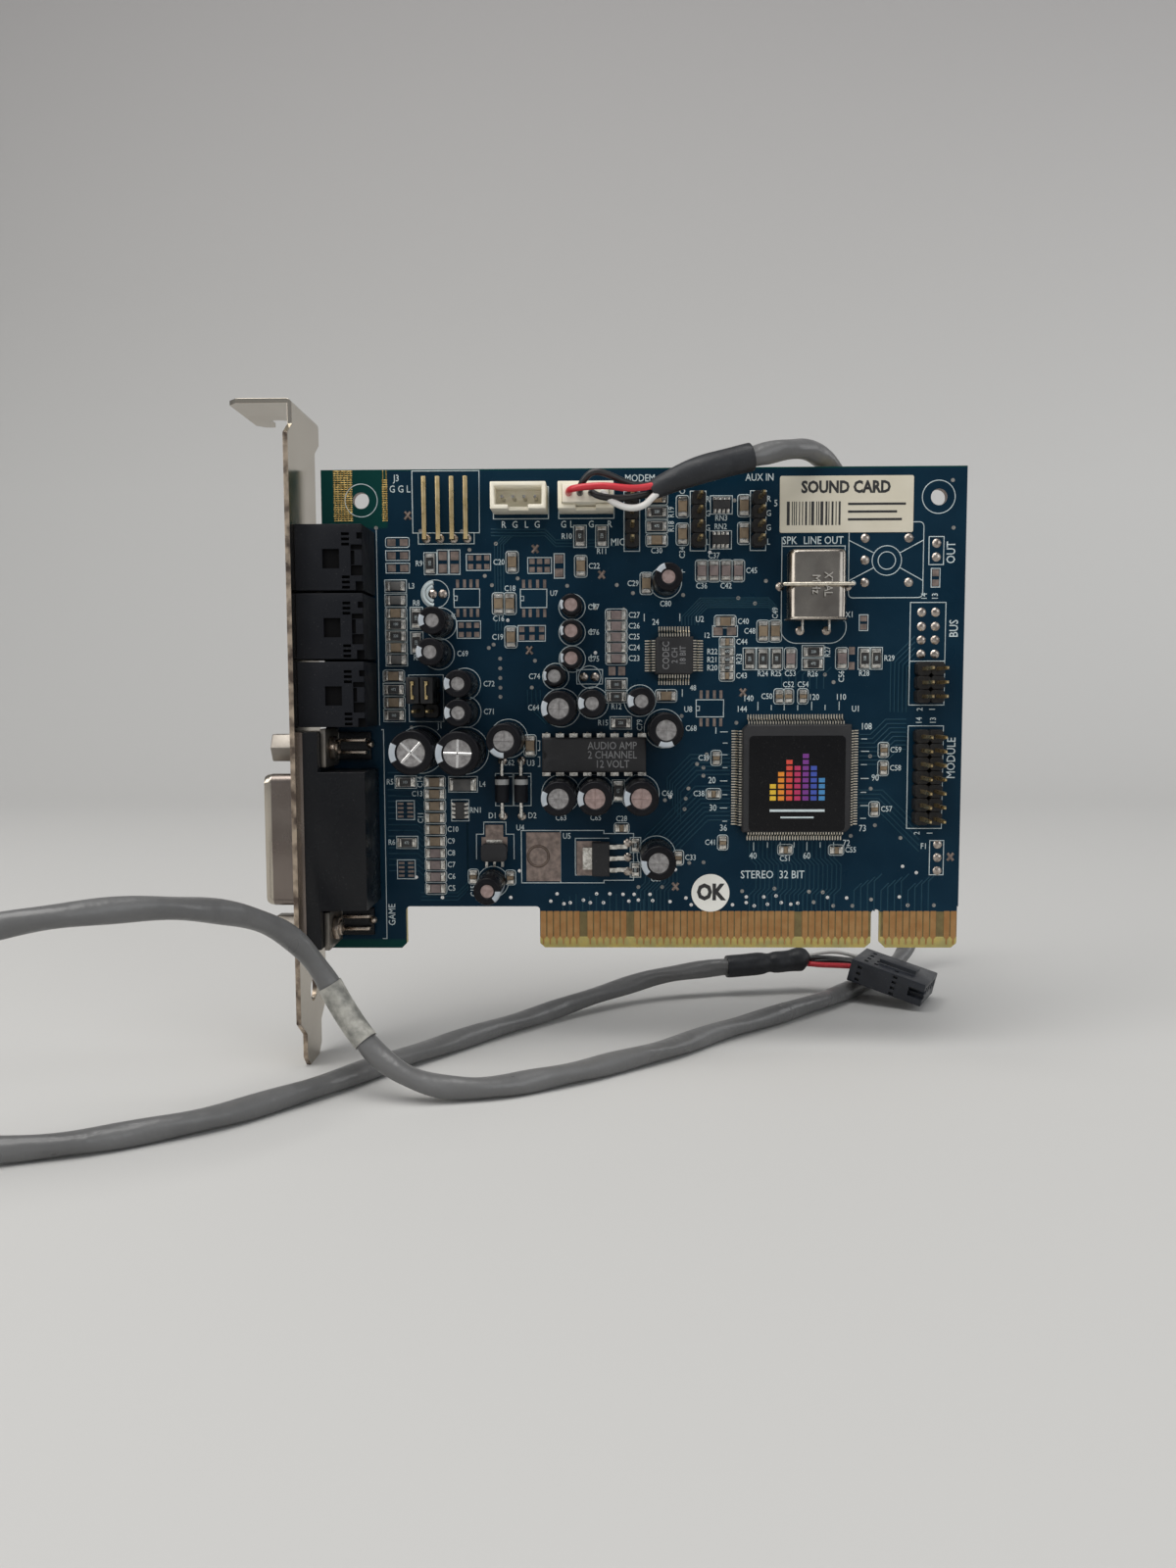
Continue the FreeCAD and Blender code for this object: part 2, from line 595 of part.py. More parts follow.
def copper_pads():
    """Tinned pads: the bare heat pad and the pads under the regulators' tabs."""
    pads = [slab(HEAT_PAD_AT, HEAT_PAD_WIDTH, HEAT_PAD_HEIGHT, -PAD_THICKNESS, 0)]
    x, z = REGULATOR_AT
    pads.append(block(x - REGULATOR_BODY_WIDTH / 2 - REGULATOR_PAD_REACH, x, -PAD_THICKNESS, 0,
                      z - REGULATOR_BODY_LENGTH / 2, z + REGULATOR_BODY_LENGTH / 2))
    x, z = SMALL_REGULATOR_AT
    foot = z + SMALL_REGULATOR_LENGTH / 2
    shoulder = foot + SMALL_PAD_SHOULDER
    half = SMALL_REGULATOR_WIDTH / 2
    head = SMALL_PAD_HEAD_WIDTH / 2
    wide = block(x - half, x + half, -PAD_THICKNESS, 0, z, shoulder)
    narrow = block(x - head, x + head, -PAD_THICKNESS, 0, shoulder, shoulder + SMALL_PAD_HEAD)
    pads.append(wide.fuse(narrow).removeSplitter())
    return group(pads)


def bracket_wall():
    near, far = -BRACKET_NEAR, BRACKET_FAR
    inset = (BRACKET_WIDTH - TONGUE_WIDTH) / 2
    step = BRACKET_TOP - SHIFT_DROP
    tongue = BRACKET_FOOT + TONGUE_LENGTH
    side = [
        (near + TAB_SHIFT, BRACKET_TOP), (near + TAB_SHIFT, step), (near, step - SHIFT_HEIGHT),
        (near, tongue + TONGUE_TAPER), (near + inset, tongue), (near + inset, BRACKET_FOOT + TONGUE_CORNER),
        (near + inset + TONGUE_CORNER, BRACKET_FOOT), (far - inset - TONGUE_CORNER, BRACKET_FOOT),
        (far - inset, BRACKET_FOOT + TONGUE_CORNER), (far - inset, tongue), (far, tongue + TONGUE_TAPER),
        (far, step - SHIFT_HEIGHT), (far + TAB_SHIFT, step), (far + TAB_SHIFT, BRACKET_TOP),
    ]
    return prism([V(BRACKET_OUTER, y, z) for y, z in side], V(BRACKET_THICKNESS, 0, 0))


def bracket_tab():
    """The screw tab bent outwards at the top, with its notch open to the far edge."""
    near, far = TAB_SHIFT - BRACKET_NEAR, TAB_SHIFT + BRACKET_FAR
    tip = BRACKET_INNER - TAB_LENGTH
    base = BRACKET_TOP - BRACKET_THICKNESS
    outline = [
        V(BRACKET_INNER, near, base), V(tip + TAB_CORNER, near, base), V(tip, near + TAB_CORNER, base),
        V(tip, far - TAB_CORNER, base), V(tip + TAB_CORNER, far, base), V(BRACKET_INNER, far, base),
    ]
    tab = prism(outline, V(0, 0, BRACKET_THICKNESS))
    x = BRACKET_OUTER - SCREW_NOTCH_OFFSET
    radius = SCREW_NOTCH_WIDTH / 2
    floor = far - SCREW_NOTCH_DEPTH + radius
    round_end = Part.makeCylinder(radius, BRACKET_THICKNESS, V(x, floor, base))
    return tab.cut([round_end, block(x - radius, x + radius, floor, far, base, BRACKET_TOP)])


def shell_outline(length, width, slant, corner, x):
    """The D shape of the game port in the plane of the bracket, its long side away from the board."""
    half, short = length / 2, length / 2 - slant
    near, far = -PORT_AXIS - width / 2, -PORT_AXIS + width / 2
    corners = [V(x, near, PORT_CENTRE - half), V(x, near, PORT_CENTRE + half),
               V(x, far, PORT_CENTRE + short), V(x, far, PORT_CENTRE - short)]
    face = Part.Face(Part.makePolygon(corners + corners[:1]))
    solid = face.extrude(X_AXIS)
    long_edges = [e for e in solid.Edges if e.BoundBox.XLength > 0.5]
    return solid.makeFillet(corner, long_edges)


def shell_solid(shrink, x0, x1):
    """The D shape made smaller all round by a wall, from one depth of the bracket to another."""
    unit = shell_outline(SHELL_LENGTH - 2 * shrink, SHELL_WIDTH - 2 * shrink, SHELL_SLANT,
                         SHELL_CORNER - shrink, 0)
    scale = FreeCAD.Matrix()
    scale.A11 = x1 - x0
    scale.A14 = x0
    return unit.transformGeometry(scale)


def mounting_bracket():
    bracket = bracket_wall().fuse(bracket_tab()).removeSplitter()
    bend = [
        e for e in bracket.Edges
        if abs(e.CenterOfMass.z - BRACKET_TOP) < 0.01 and abs(e.CenterOfMass.x - BRACKET_INNER) < 0.01
        and e.BoundBox.YLength > BRACKET_WIDTH / 2
    ]
    bracket = bracket.makeFillet(BEND_RADIUS, bend)
    through = BRACKET_OUTER, BRACKET_INNER
    windows = [bar_x(*through, -JACK_AXIS, z, JACK_NOSE_RADIUS + HOLE_CLEARANCE) for z in JACK_CENTRES]
    windows += [bar_x(*through, -PORT_AXIS, z, SCREW_HOLE_RADIUS) for z in PORT_SCREWS]
    windows.append(shell_solid(-HOLE_CLEARANCE, *through))
    middle = BRACKET_WIDTH / 2 - BRACKET_NEAR
    windows.append(bar_x(*through, middle, BRACKET_FOOT + TONGUE_HOLE_RISE, TONGUE_HOLE_RADIUS))
    return bracket.cut(windows)


def audio_jack(z):
    """A jack body standing on the board with its bushed nose through the bracket."""
    body = block(BRACKET_INNER, JACK_RIGHT, -JACK_HEIGHT, 0, z - JACK_WIDTH / 2, z + JACK_WIDTH / 2)
    mouth = BRACKET_OUTER - JACK_NOSE_REACH
    body = body.fuse(bar_x(mouth, BRACKET_INNER, -JACK_AXIS, z, JACK_NOSE_RADIUS))
    bottom = JACK_RECESS - JACK_HEIGHT
    middle = (BRACKET_INNER + JACK_RIGHT) / 2
    cuts = [bar_x(mouth, mouth + JACK_BORE_DEPTH, -JACK_AXIS, z, JACK_BORE_RADIUS)]
    recess = (middle - JACK_RECESS_SIDE, z)
    cuts.append(slab(recess, JACK_RECESS_SIDE, JACK_RECESS_SIDE, -JACK_HEIGHT, bottom))
    for dz in (-JACK_WIDTH / 3, 0, JACK_WIDTH / 3):
        cuts.append(slab((middle, z + dz), JACK_SLOT_WIDTH, JACK_RECESS_SIDE, -JACK_HEIGHT, bottom))
    for dz in (-JACK_WIDTH / 4, JACK_WIDTH / 4):
        corner = (JACK_RIGHT - JACK_RECESS_SIDE / 2, z + dz)
        cuts.append(slab(corner, JACK_SLOT_WIDTH, JACK_RECESS_SIDE / 2, -JACK_HEIGHT, bottom))
    return body.cut(cuts)


def jack_contacts():
    """The flat contact tails below the jacks, through the board."""
    return group([slab(at, JACK_TAIL_WIDTH, JACK_TAIL_THICKNESS, 0, TAIL_END) for at in JACK_TAILS])


def port_sockets():
    """The two rows of contact places in the insulator, in the plane of the bracket."""
    rows = ((LONG_ROW, -SOCKET_ROW / 2), (SHORT_ROW, SOCKET_ROW / 2))
    return [(dy - PORT_AXIS, PORT_CENTRE + (i - (count - 1) / 2) * SOCKET_PITCH)
            for count, dy in rows for i in range(count)]


def game_port_shell():
    """The steel flange behind the bracket and the D-shaped rim that passes through it."""
    rear = BRACKET_INNER + FLANGE_THICKNESS
    front = BRACKET_OUTER - SHELL_REACH
    flange = block(BRACKET_INNER, rear, -PORT_AXIS - FLANGE_WIDTH / 2, -PORT_AXIS + FLANGE_WIDTH / 2,
                   PORT_CENTRE - FLANGE_LENGTH / 2, PORT_CENTRE + FLANGE_LENGTH / 2)
    shell = flange.fuse(shell_solid(0, front, BRACKET_INNER))
    holes = [bar_x(BRACKET_INNER, rear, -PORT_AXIS, z, SCREW_HOLE_RADIUS) for z in PORT_SCREWS]
    return shell.cut(holes + [shell_solid(SHELL_WALL, front, rear)])


def game_port_insulator():
    """The plastic face inside the rim, bored for the contacts."""
    front = BRACKET_OUTER - SHELL_REACH + INSULATOR_RECESS
    rear = BRACKET_INNER + FLANGE_THICKNESS
    holes = [bar_x(front, rear, y, z, SOCKET_HOLE_RADIUS) for y, z in port_sockets()]
    return shell_solid(SHELL_WALL, front, rear).cut(holes)


def game_port_housing():
    """The rear housing on the board, with the flange that backs the steel one."""
    front = BRACKET_INNER + FLANGE_THICKNESS
    near = -PORT_AXIS - FLANGE_WIDTH / 2
    flange = block(front, LOCK_PLATE_X, near, -PORT_AXIS + FLANGE_WIDTH / 2,
                   PORT_CENTRE - FLANGE_LENGTH / 2, PORT_CENTRE + FLANGE_LENGTH / 2)
    body = block(front, BRACKET_INNER + HOUSING_DEPTH, near, 0,
                 PORT_CENTRE - HOUSING_LENGTH / 2, PORT_CENTRE + HOUSING_LENGTH / 2)
    holes = [bar_x(front, LOCK_PLATE_X, -PORT_AXIS, z, SCREW_HOLE_RADIUS) for z in PORT_SCREWS]
    return flange.fuse(body).removeSplitter().cut(holes)


def game_port_contacts():
    """Tubular sockets in the insulator, and the tails below the housing."""
    front = BRACKET_OUTER - SHELL_REACH + INSULATOR_RECESS
    rear = BRACKET_INNER + FLANGE_THICKNESS
    pieces = []
    for y, z in port_sockets():
        tube_wall = bar_x(front, rear, y, z, SOCKET_RADIUS)
        pieces.append(tube_wall.cut(bar_x(front, rear - SOCKET_RADIUS, y, z, SOCKET_BORE)))
    pieces += [disc(at, SOCKET_BORE, 0, TAIL_END) for at in PORT_TAILS]
    return group(pieces)


def board_lock(z):
    """An angle behind the port's flange that takes the screw and grips the board with two prongs."""
    x0 = LOCK_PLATE_X
    x1 = x0 + LOCK_PLATE
    plate = block(x0, x1, -LOCK_HEIGHT, 0, z - LOCK_WIDTH / 2, z + LOCK_WIDTH / 2)
    foot = block(x1, x1 + LOCK_FOOT_LENGTH, -LOCK_PLATE, 0,
                 z - LOCK_FOOT_WIDTH / 2, z + LOCK_FOOT_WIDTH / 2)
    lock = plate.fuse(foot)
    for x, prong_z in LOCK_PRONGS:
        if abs(prong_z - z) < SCREW_SPACING / 2:
            lock = lock.fuse(slab((x, prong_z), LOCK_PRONG_WIDTH, LOCK_PLATE, 0, TAIL_END))
    return lock.removeSplitter().cut(bar_x(x0, x1, -PORT_AXIS, z, SCREW_HOLE_RADIUS))


def standoff(z):
    """A hexagonal jack post outside the bracket, with its screw through the flange and the lock."""
    radius = STANDOFF_FLATS / math.sqrt(3)
    front = BRACKET_OUTER - STANDOFF_LENGTH
    angles = [math.pi * i / 3 for i in range(6)]
    corners = [V(front, radius * math.cos(a) - PORT_AXIS, z + radius * math.sin(a)) for a in angles]
    post = prism(corners, V(STANDOFF_LENGTH, 0, 0))
    screw_end = LOCK_PLATE_X + LOCK_PLATE + STANDOFF_TIP
    post = post.fuse(bar_x(BRACKET_OUTER, screw_end, -PORT_AXIS, z, STANDOFF_SCREW))
    return post.cut(bar_x(front, BRACKET_OUTER - LOCK_PLATE, -PORT_AXIS, z, STANDOFF_THREAD))


def chip_body(at, side, height, corner):
    """A moulded square body with bevelled faces and two cut corners."""
    body = slab(at, side, side, -height, -CHIP_STANDOFF)
    rims = [e for e in body.Edges if e.BoundBox.YLength < 0.01]
    body = body.makeChamfer(CHIP_BEVEL, rims)
    x, z = at
    half = side / 2
    for dx, dz in ((-1, 1), (1, -1)):
        tip = V(x + dx * half, -height, z + dz * half)
        cut = prism([tip, tip - V(dx * corner, 0, 0), tip - V(0, 0, dz * corner)], V(0, height, 0))
        body = body.cut(cut)
    return body


def gull_lead(reach_in, reach_out, shoulder):
    """One gull-wing lead pointing along +X, its foot on the board at its outer end."""
    t = LEAD_THICKNESS
    ankle = reach_out - LEAD_FOOT
    knee = (reach_in + ankle) / 2
    profile = [
        (reach_in, -shoulder), (knee, -shoulder), (ankle, -t), (reach_out, -t), (reach_out, 0),
        (ankle - t, 0), (knee - t, t - shoulder), (reach_in, t - shoulder),
    ]
    corners = [V(x, y, -LEAD_WIDTH / 2) for x, y in profile]
    return prism(corners, V(0, 0, LEAD_WIDTH))


def chip_leads(at, side, span, height, per_side):
    """Rows of gull-wing leads on the four sides of a chip."""
    lead = gull_lead(side / 2, span / 2, (height + CHIP_STANDOFF + LEAD_THICKNESS) / 2)
    x, z = at
    leads = []
    for turn in range(4):
        for i in range(per_side):
            one = lead.copy()
            one.translate(V(0, 0, (i - (per_side - 1) / 2) * LEAD_PITCH))
            one.rotate(V(0, 0, 0), Y_AXIS, 90 * turn)
            one.translate(V(x, 0, z))
            leads.append(one)
    return group(leads)


def sound_chip_label():
    x, z = SOUND_CHIP_AT
    return slab((x, z - LABEL_DROP), LABEL_SIDE, LABEL_SIDE, -SOUND_CHIP_HEIGHT - LABEL_THICKNESS,
                -SOUND_CHIP_HEIGHT)


def amplifier_body():
    top = -AMPLIFIER_STANDOFF - AMPLIFIER_BODY
    body = slab(AMPLIFIER_AT, AMPLIFIER_LENGTH, AMPLIFIER_WIDTH, top, -AMPLIFIER_STANDOFF)
    rims = [e for e in body.Edges if e.BoundBox.YLength < 0.01]
    body = body.makeChamfer(CHIP_BEVEL, rims)
    x, z = AMPLIFIER_AT
    return body.cut(disc((x - AMPLIFIER_LENGTH / 2, z), AMPLIFIER_NOTCH, top, top + AMPLIFIER_NOTCH))


def amplifier_leads():
    """Shouldered leads bent down at both sides of the amplifier and through the board."""
    middle = -AMPLIFIER_STANDOFF - AMPLIFIER_BODY / 2
    x0, z0 = AMPLIFIER_AT
    leads = []
    for x, z in AMPLIFIER_PIN_ROWS:
        side = 1 if z > z0 else -1
        inner = z0 + side * AMPLIFIER_WIDTH / 2
        outer = z + side * PIN_BLADE_THICKNESS / 2
        inside = z - side * PIN_BLADE_THICKNESS / 2
        arm = block(x - SHOULDER_WIDTH / 2, x + SHOULDER_WIDTH / 2, middle, middle + PIN_BLADE_THICKNESS,
                    min(inner, outer), max(inner, outer))
        drop = block(x - SHOULDER_WIDTH / 2, x + SHOULDER_WIDTH / 2, middle, -AMPLIFIER_STANDOFF / 2,
                     min(inside, outer), max(inside, outer))
        blade = slab((x, z), PIN_BLADE_WIDTH, PIN_BLADE_THICKNESS, -AMPLIFIER_STANDOFF / 2, TAIL_END)
        leads.append(arm.fuse([drop, blade]).removeSplitter())
    return group(leads)


def regulator_body():
    body = slab(REGULATOR_AT, REGULATOR_BODY_WIDTH, REGULATOR_BODY_LENGTH,
                -REGULATOR_HEIGHT - PAD_THICKNESS, -TAB_THICKNESS - PAD_THICKNESS)
    rims = [e for e in body.Edges if e.BoundBox.YLength < 0.01 and e.CenterOfMass.y < -REGULATOR_HEIGHT / 2]
    return body.makeChamfer(CHIP_BEVEL, rims)


def regulator_leads():
    """The tab that lies on its pad below the body, and three legs at the other side."""
    x, z = REGULATOR_AT
    left = x - REGULATOR_BODY_WIDTH / 2
    right = x + REGULATOR_BODY_WIDTH / 2
    tab = block(left - REGULATOR_TAB_REACH, x, -TAB_THICKNESS - PAD_THICKNESS, -PAD_THICKNESS,
                z - REGULATOR_TAB_WIDTH / 2, z + REGULATOR_TAB_WIDTH / 2)
    lift = TAB_THICKNESS + PAD_THICKNESS
    legs = [tab]
    for i in (-1, 0, 1):
        leg_z = z + i * REGULATOR_LEG_PITCH
        low, high = leg_z - REGULATOR_LEG_WIDTH / 2, leg_z + REGULATOR_LEG_WIDTH / 2
        knee = right + REGULATOR_LEG_KNEE
        upper = block(right, knee, -lift - LEAD_THICKNESS, -lift, low, high)
        drop = block(knee - LEAD_THICKNESS, knee, -lift - LEAD_THICKNESS, 0, low, high)
        foot = block(knee, right + REGULATOR_LEG_REACH, -LEAD_THICKNESS, 0, low, high)
        legs.append(upper.fuse([drop, foot]).removeSplitter())
    return group(legs)


def small_regulator_body():
    base = -PAD_THICKNESS - LEAD_THICKNESS
    body = slab(SMALL_REGULATOR_AT, SMALL_REGULATOR_WIDTH, SMALL_REGULATOR_LENGTH,
                base - SMALL_REGULATOR_HEIGHT, base)
    sides = [e for e in body.Edges if e.BoundBox.YLength > SMALL_REGULATOR_HEIGHT / 2]
    return body.makeFillet(SMALL_REGULATOR_CORNER, sides)


def small_regulator_leads():
    """Three flat legs below the small regulator's lower edge and its tab at the upper one."""
    x, z = SMALL_REGULATOR_AT
    edge = z - SMALL_REGULATOR_LENGTH / 2
    legs = []
    for i in (-1, 0, 1):
        leg_x = x + i * SMALL_LEG_PITCH
        legs.append(block(leg_x - SMALL_LEG_WIDTH / 2, leg_x + SMALL_LEG_WIDTH / 2,
                          -PAD_THICKNESS - LEAD_THICKNESS, 0, edge - SMALL_LEG_REACH, z - SMALL_LEG_WIDTH))
    top = z + SMALL_REGULATOR_LENGTH / 2
    legs.append(block(x - SMALL_LEG_PITCH, x + SMALL_LEG_PITCH, -PAD_THICKNESS - LEAD_THICKNESS,
                      -PAD_THICKNESS, z, top + SMALL_LEG_REACH / 2))
    return group(legs)


def crystal_can():
    """The drawn can lying on its flat, with a flange round its sealed end."""
    x, z = CRYSTAL_AT
    z0, z1 = CRYSTAL_BASE_Z, CRYSTAL_BASE_Z + CRYSTAL_LENGTH
    near = -CRYSTAL_THICKNESS - CRYSTAL_FLANGE
    body = block(x - CRYSTAL_WIDTH / 2, x + CRYSTAL_WIDTH / 2, near, -CRYSTAL_FLANGE, z0, z1)
    sides = [e for e in body.Edges if e.BoundBox.ZLength > CRYSTAL_LENGTH / 2]
    body = body.makeFillet(CRYSTAL_CORNER, sides)
    flange = block(x - CRYSTAL_WIDTH / 2 - CRYSTAL_FLANGE, x + CRYSTAL_WIDTH / 2 + CRYSTAL_FLANGE,
                   near - CRYSTAL_FLANGE, 0, z0, z0 + CRYSTAL_FLANGE)
    corners = [e for e in flange.Edges if e.BoundBox.ZLength > CRYSTAL_FLANGE / 2]
    flange = flange.makeFillet(CRYSTAL_CORNER + CRYSTAL_FLANGE, corners)
    return body.fuse(flange).removeSplitter()


def bent_lead(start, corner, end, radius):
    """A round lead in two straight runs with a ball at its bend."""
    first = Part.makeCylinder(radius, (corner - start).Length, start, corner - start)
    second = Part.makeCylinder(radius, (end - corner).Length, corner, end - corner)
    return first.fuse([Part.makeSphere(radius, corner), second])


def crystal_leads():
    height = -CRYSTAL_FLANGE - CRYSTAL_THICKNESS / 2
    return group([
        bent_lead(V(x, height, CRYSTAL_BASE_Z), V(x, height, z), V(x, TAIL_END, z), CRYSTAL_LEAD_RADIUS)
        for x, z in CRYSTAL_PINS
    ])


def crystal_strap():
    """The hold-down wire across the can, bent down into the board at both sides."""
    top = -CRYSTAL_THICKNESS - CRYSTAL_FLANGE - STRAP_RADIUS
    (x0, z), (x1, _) = STRAP_PINS
    left = bent_lead(V(CRYSTAL_AT[0], top, z), V(x0, top, z), V(x0, TAIL_END, z), STRAP_RADIUS)
    right = bent_lead(V(CRYSTAL_AT[0], top, z), V(x1, top, z), V(x1, TAIL_END, z), STRAP_RADIUS)
    return left.fuse(right).removeSplitter()


def capacitor_sleeve(at, diameter, height):
    """The printed plastic sleeve, rolled over the rim of the can."""
    radius = diameter / 2
    sleeve = disc(at, radius, -height, 0)
    inside = disc(at, radius - SLEEVE_THICKNESS, SLEEVE_THICKNESS - height, 0)
    window = disc(at, radius * SLEEVE_LIP, -height, 0)
    return sleeve.cut([inside, window])


def capacitor_can(at, diameter, height, scores):
    """The aluminium can, with vent scores pressed into its top."""
    top = SLEEVE_THICKNESS - height
    can = disc(at, diameter / 2 - SLEEVE_THICKNESS, top, -SEAL_THICKNESS)
    reach = diameter * SLEEVE_LIP
    for angle in scores:
        score = slab(at, reach, SCORE_WIDTH, top, top + SCORE_DEPTH)
        score.rotate(V(at[0], 0, at[1]), Y_AXIS, angle)
        can = can.cut(score)
    return can


def capacitor_seal(at, diameter):
    return disc(at, diameter / 2 - SLEEVE_THICKNESS, -SEAL_THICKNESS, 0)


def chip(at, length, width, upright, height, end):
    """A chip component: its body and its two end caps."""
    x, z = at
    inner = length - 2 * end
    span = length - end
    if upright:
        body = slab(at, width, inner, -height, 0)
        caps = [slab((x, z + side * span / 2), width, end, -height, 0) for side in (1, -1)]
    else:
        body = slab(at, inner, width, -height, 0)
        caps = [slab((x + side * span / 2, z), end, width, -height, 0) for side in (1, -1)]
    return body, caps


def chips(flat, upright, length, width):
    """Chip components of one size, those lying along the board first."""
    return [chip(at, length, width, False, CHIP_HEIGHT, CHIP_END) for at in flat] + [
        chip(at, length, width, True, CHIP_HEIGHT, CHIP_END) for at in upright]


def resistor_array(at, upright):
    """Four resistors in one body, with four caps along each long side."""
    x, z = at
    sides = (ARRAY_WIDTH, ARRAY_LENGTH) if upright else (ARRAY_LENGTH, ARRAY_WIDTH)
    body = slab(at, *sides, -CHIP_HEIGHT, 0)
    caps = []
    for side in (1, -1):
        for i in range(4):
            run = (i - 1.5) * ARRAY_PITCH
            reach = side * (ARRAY_WIDTH + ARRAY_END_WIDTH) / 2
            dx, dz = (reach, run) if upright else (run, reach)
            caps.append(slab((x + dx, z + dz), ARRAY_END_WIDTH, ARRAY_END_WIDTH, -CHIP_HEIGHT, 0))
    return body, caps


def diode_body(at):
    x, z = at
    return Part.makeCylinder(DIODE_RADIUS, DIODE_LENGTH,
                             V(x, -DIODE_RADIUS - DIODE_LIFT, z - DIODE_LENGTH / 2), Z_AXIS)


def diode_leads():
    y = -DIODE_RADIUS - DIODE_LIFT
    leads = []
    for x, z in DIODES_AT:
        for side in (1, -1):
            end = z + side * DIODE_SPAN / 2
            leads.append(bent_lead(V(x, y, z + side * DIODE_LENGTH / 2), V(x, y, end), V(x, TAIL_END, end),
                                   DIODE_LEAD_RADIUS))
    return group(leads)


def header_pins():
    return [slab(at, PIN_SIDE, PIN_SIDE, -PIN_HEIGHT, TAIL_END) for at in HEADER_PINS]


def header_base(at, columns, rows):
    """The plastic base of an upright pin header, bored for its pins."""
    x, z = at
    margin = HEADER_BASE_WIDTH / 2
    base = block(x - margin, x + (columns - 1) * PIN_PITCH + margin, -HEADER_BASE, 0,
                 z - (rows - 1) * PIN_PITCH - margin, z + margin)
    places = grid_places(at, columns, rows, PIN_PITCH)
    return base.cut([slab(p, PIN_SIDE, PIN_SIDE, -HEADER_BASE, 0) for p in places])


def angle_pin(at):
    """A bare pin that leaves the board and turns up along it."""
    x, z = at
    half = ANGLE_PIN_SIDE / 2
    foot = slab(at, ANGLE_PIN_SIDE, ANGLE_PIN_SIDE, -ANGLE_PIN_LIFT - ANGLE_PIN_SIDE, TAIL_END)
    arm = block(x - half, x + half, -ANGLE_PIN_LIFT - ANGLE_PIN_SIDE, -ANGLE_PIN_LIFT,
                z, z + ANGLE_PIN_LENGTH)
    return foot.fuse(arm).removeSplitter()


def jumper_shunt(column_number):
    """A shunt over the upper two pins of one column of the jumper block."""
    x, z = JUMPER_AT
    x += column_number * PIN_PITCH
    middle = (x, z - PIN_PITCH / 2)
    top = -HEADER_BASE - SHUNT_HEIGHT
    shunt = slab(middle, SHUNT_WIDTH, PIN_PITCH + SHUNT_WIDTH, top, -HEADER_BASE)
    shunt = shunt.cut([slab((x, z - i * PIN_PITCH), PIN_SIDE, PIN_SIDE, -PIN_HEIGHT, -HEADER_BASE)
                       for i in range(2)])
    clip_base = min(top, -PIN_HEIGHT)
    clip = slab(middle, CLIP_WIDTH, PIN_PITCH + PIN_SIDE, clip_base - CLIP_THICKNESS, clip_base)
    return shunt, clip


def audio_header(at):
    """A white open-topped header with a gate in its lower wall."""
    x, z = at
    shell = slab(at, AUDIO_LENGTH, AUDIO_DEPTH, -AUDIO_HEIGHT, 0)
    cavity = slab(at, AUDIO_LENGTH - 2 * AUDIO_WALL, AUDIO_DEPTH - 2 * AUDIO_WALL,
                  -AUDIO_HEIGHT, -AUDIO_FLOOR)
    gate = block(x - AUDIO_GATE / 2, x + AUDIO_GATE / 2, -AUDIO_HEIGHT, AUDIO_GATE_DEPTH - AUDIO_HEIGHT,
                 z - AUDIO_DEPTH / 2, z)
    pins = [slab(p, AUDIO_PIN, AUDIO_PIN, -AUDIO_FLOOR, 0) for p in row_about(at, AUDIO_WAYS, AUDIO_PITCH)]
    return shell.cut([cavity, gate] + pins)


def audio_pins():
    return group([slab(p, AUDIO_PIN, AUDIO_PIN, -AUDIO_PIN_HEIGHT, TAIL_END) for p in AUDIO_PINS])


def white_plug():
    """The lead's plug, down in the used header, with a socket over each pin."""
    length = AUDIO_LENGTH - 2 * AUDIO_WALL - 2 * PLUG_CLEARANCE
    depth = AUDIO_DEPTH - 2 * AUDIO_WALL - 2 * PLUG_CLEARANCE
    plug = slab(USED_HEADER_AT, length, depth, -AUDIO_FLOOR - PLUG_HEIGHT, -AUDIO_FLOOR)
    side = AUDIO_PIN + 2 * HOLE_CLEARANCE
    pins = row_about(USED_HEADER_AT, AUDIO_WAYS, AUDIO_PITCH)
    return plug.cut([slab(p, side, side, -AUDIO_PIN_HEIGHT - PLUG_CLEARANCE, -AUDIO_FLOOR) for p in pins])


def bend_reach(before, corner, after):
    """How far from a corner of a route its arc starts."""
    return BEND_SHARE * min((corner - before).Length, (after - corner).Length)


def rounded_route(points):
    """Straight runs joined by tangent arcs, each as large as its two runs allow."""
    edges = []
    radii = []
    start = points[0]
    for before, corner, after in zip(points, points[1:], points[2:]):
        arrive = (corner - before).normalize()
        leave = (after - corner).normalize()
        reach = bend_reach(before, corner, after)
        half_turn = arrive.getAngle(leave) / 2
        radius = reach / math.tan(half_turn)
        inward = (leave - arrive).normalize()
        centre = corner + inward * (radius / math.cos(half_turn))
        entry = corner - arrive * reach
        departure = corner + leave * reach
        edges.append(Part.LineSegment(start, entry).toShape())
        edges.append(Part.Arc(entry, centre - inward * radius, departure).toShape())
        radii.append(radius)
        start = departure
    edges.append(Part.LineSegment(start, points[-1]).toShape())
    return Part.Wire(edges), radii


def tube(points, radius):
    """A round tube along a rounded route."""
    path, radii = rounded_route(points)
    section = Part.Wire(Part.makeCircle(radius, points[0], points[1] - points[0]))
    return path.makePipeShell([section], True, False), path.Length, radii


def rod_between(start, end, radius):
    return Part.makeCylinder(radius, (end - start).Length, start, end - start)


def ring_places(centre, axis, spread):
    """Four places round an axis, for the four wires inside a shrink sleeve."""
    side = axis.cross(Z_AXIS).normalize()
    rise = side.cross(axis).normalize()
    quarters = ((1, 1), (-1, 1), (1, -1), (-1, -1))
    return [centre + side * (spread * a) + rise * (spread * b) for a, b in quarters]


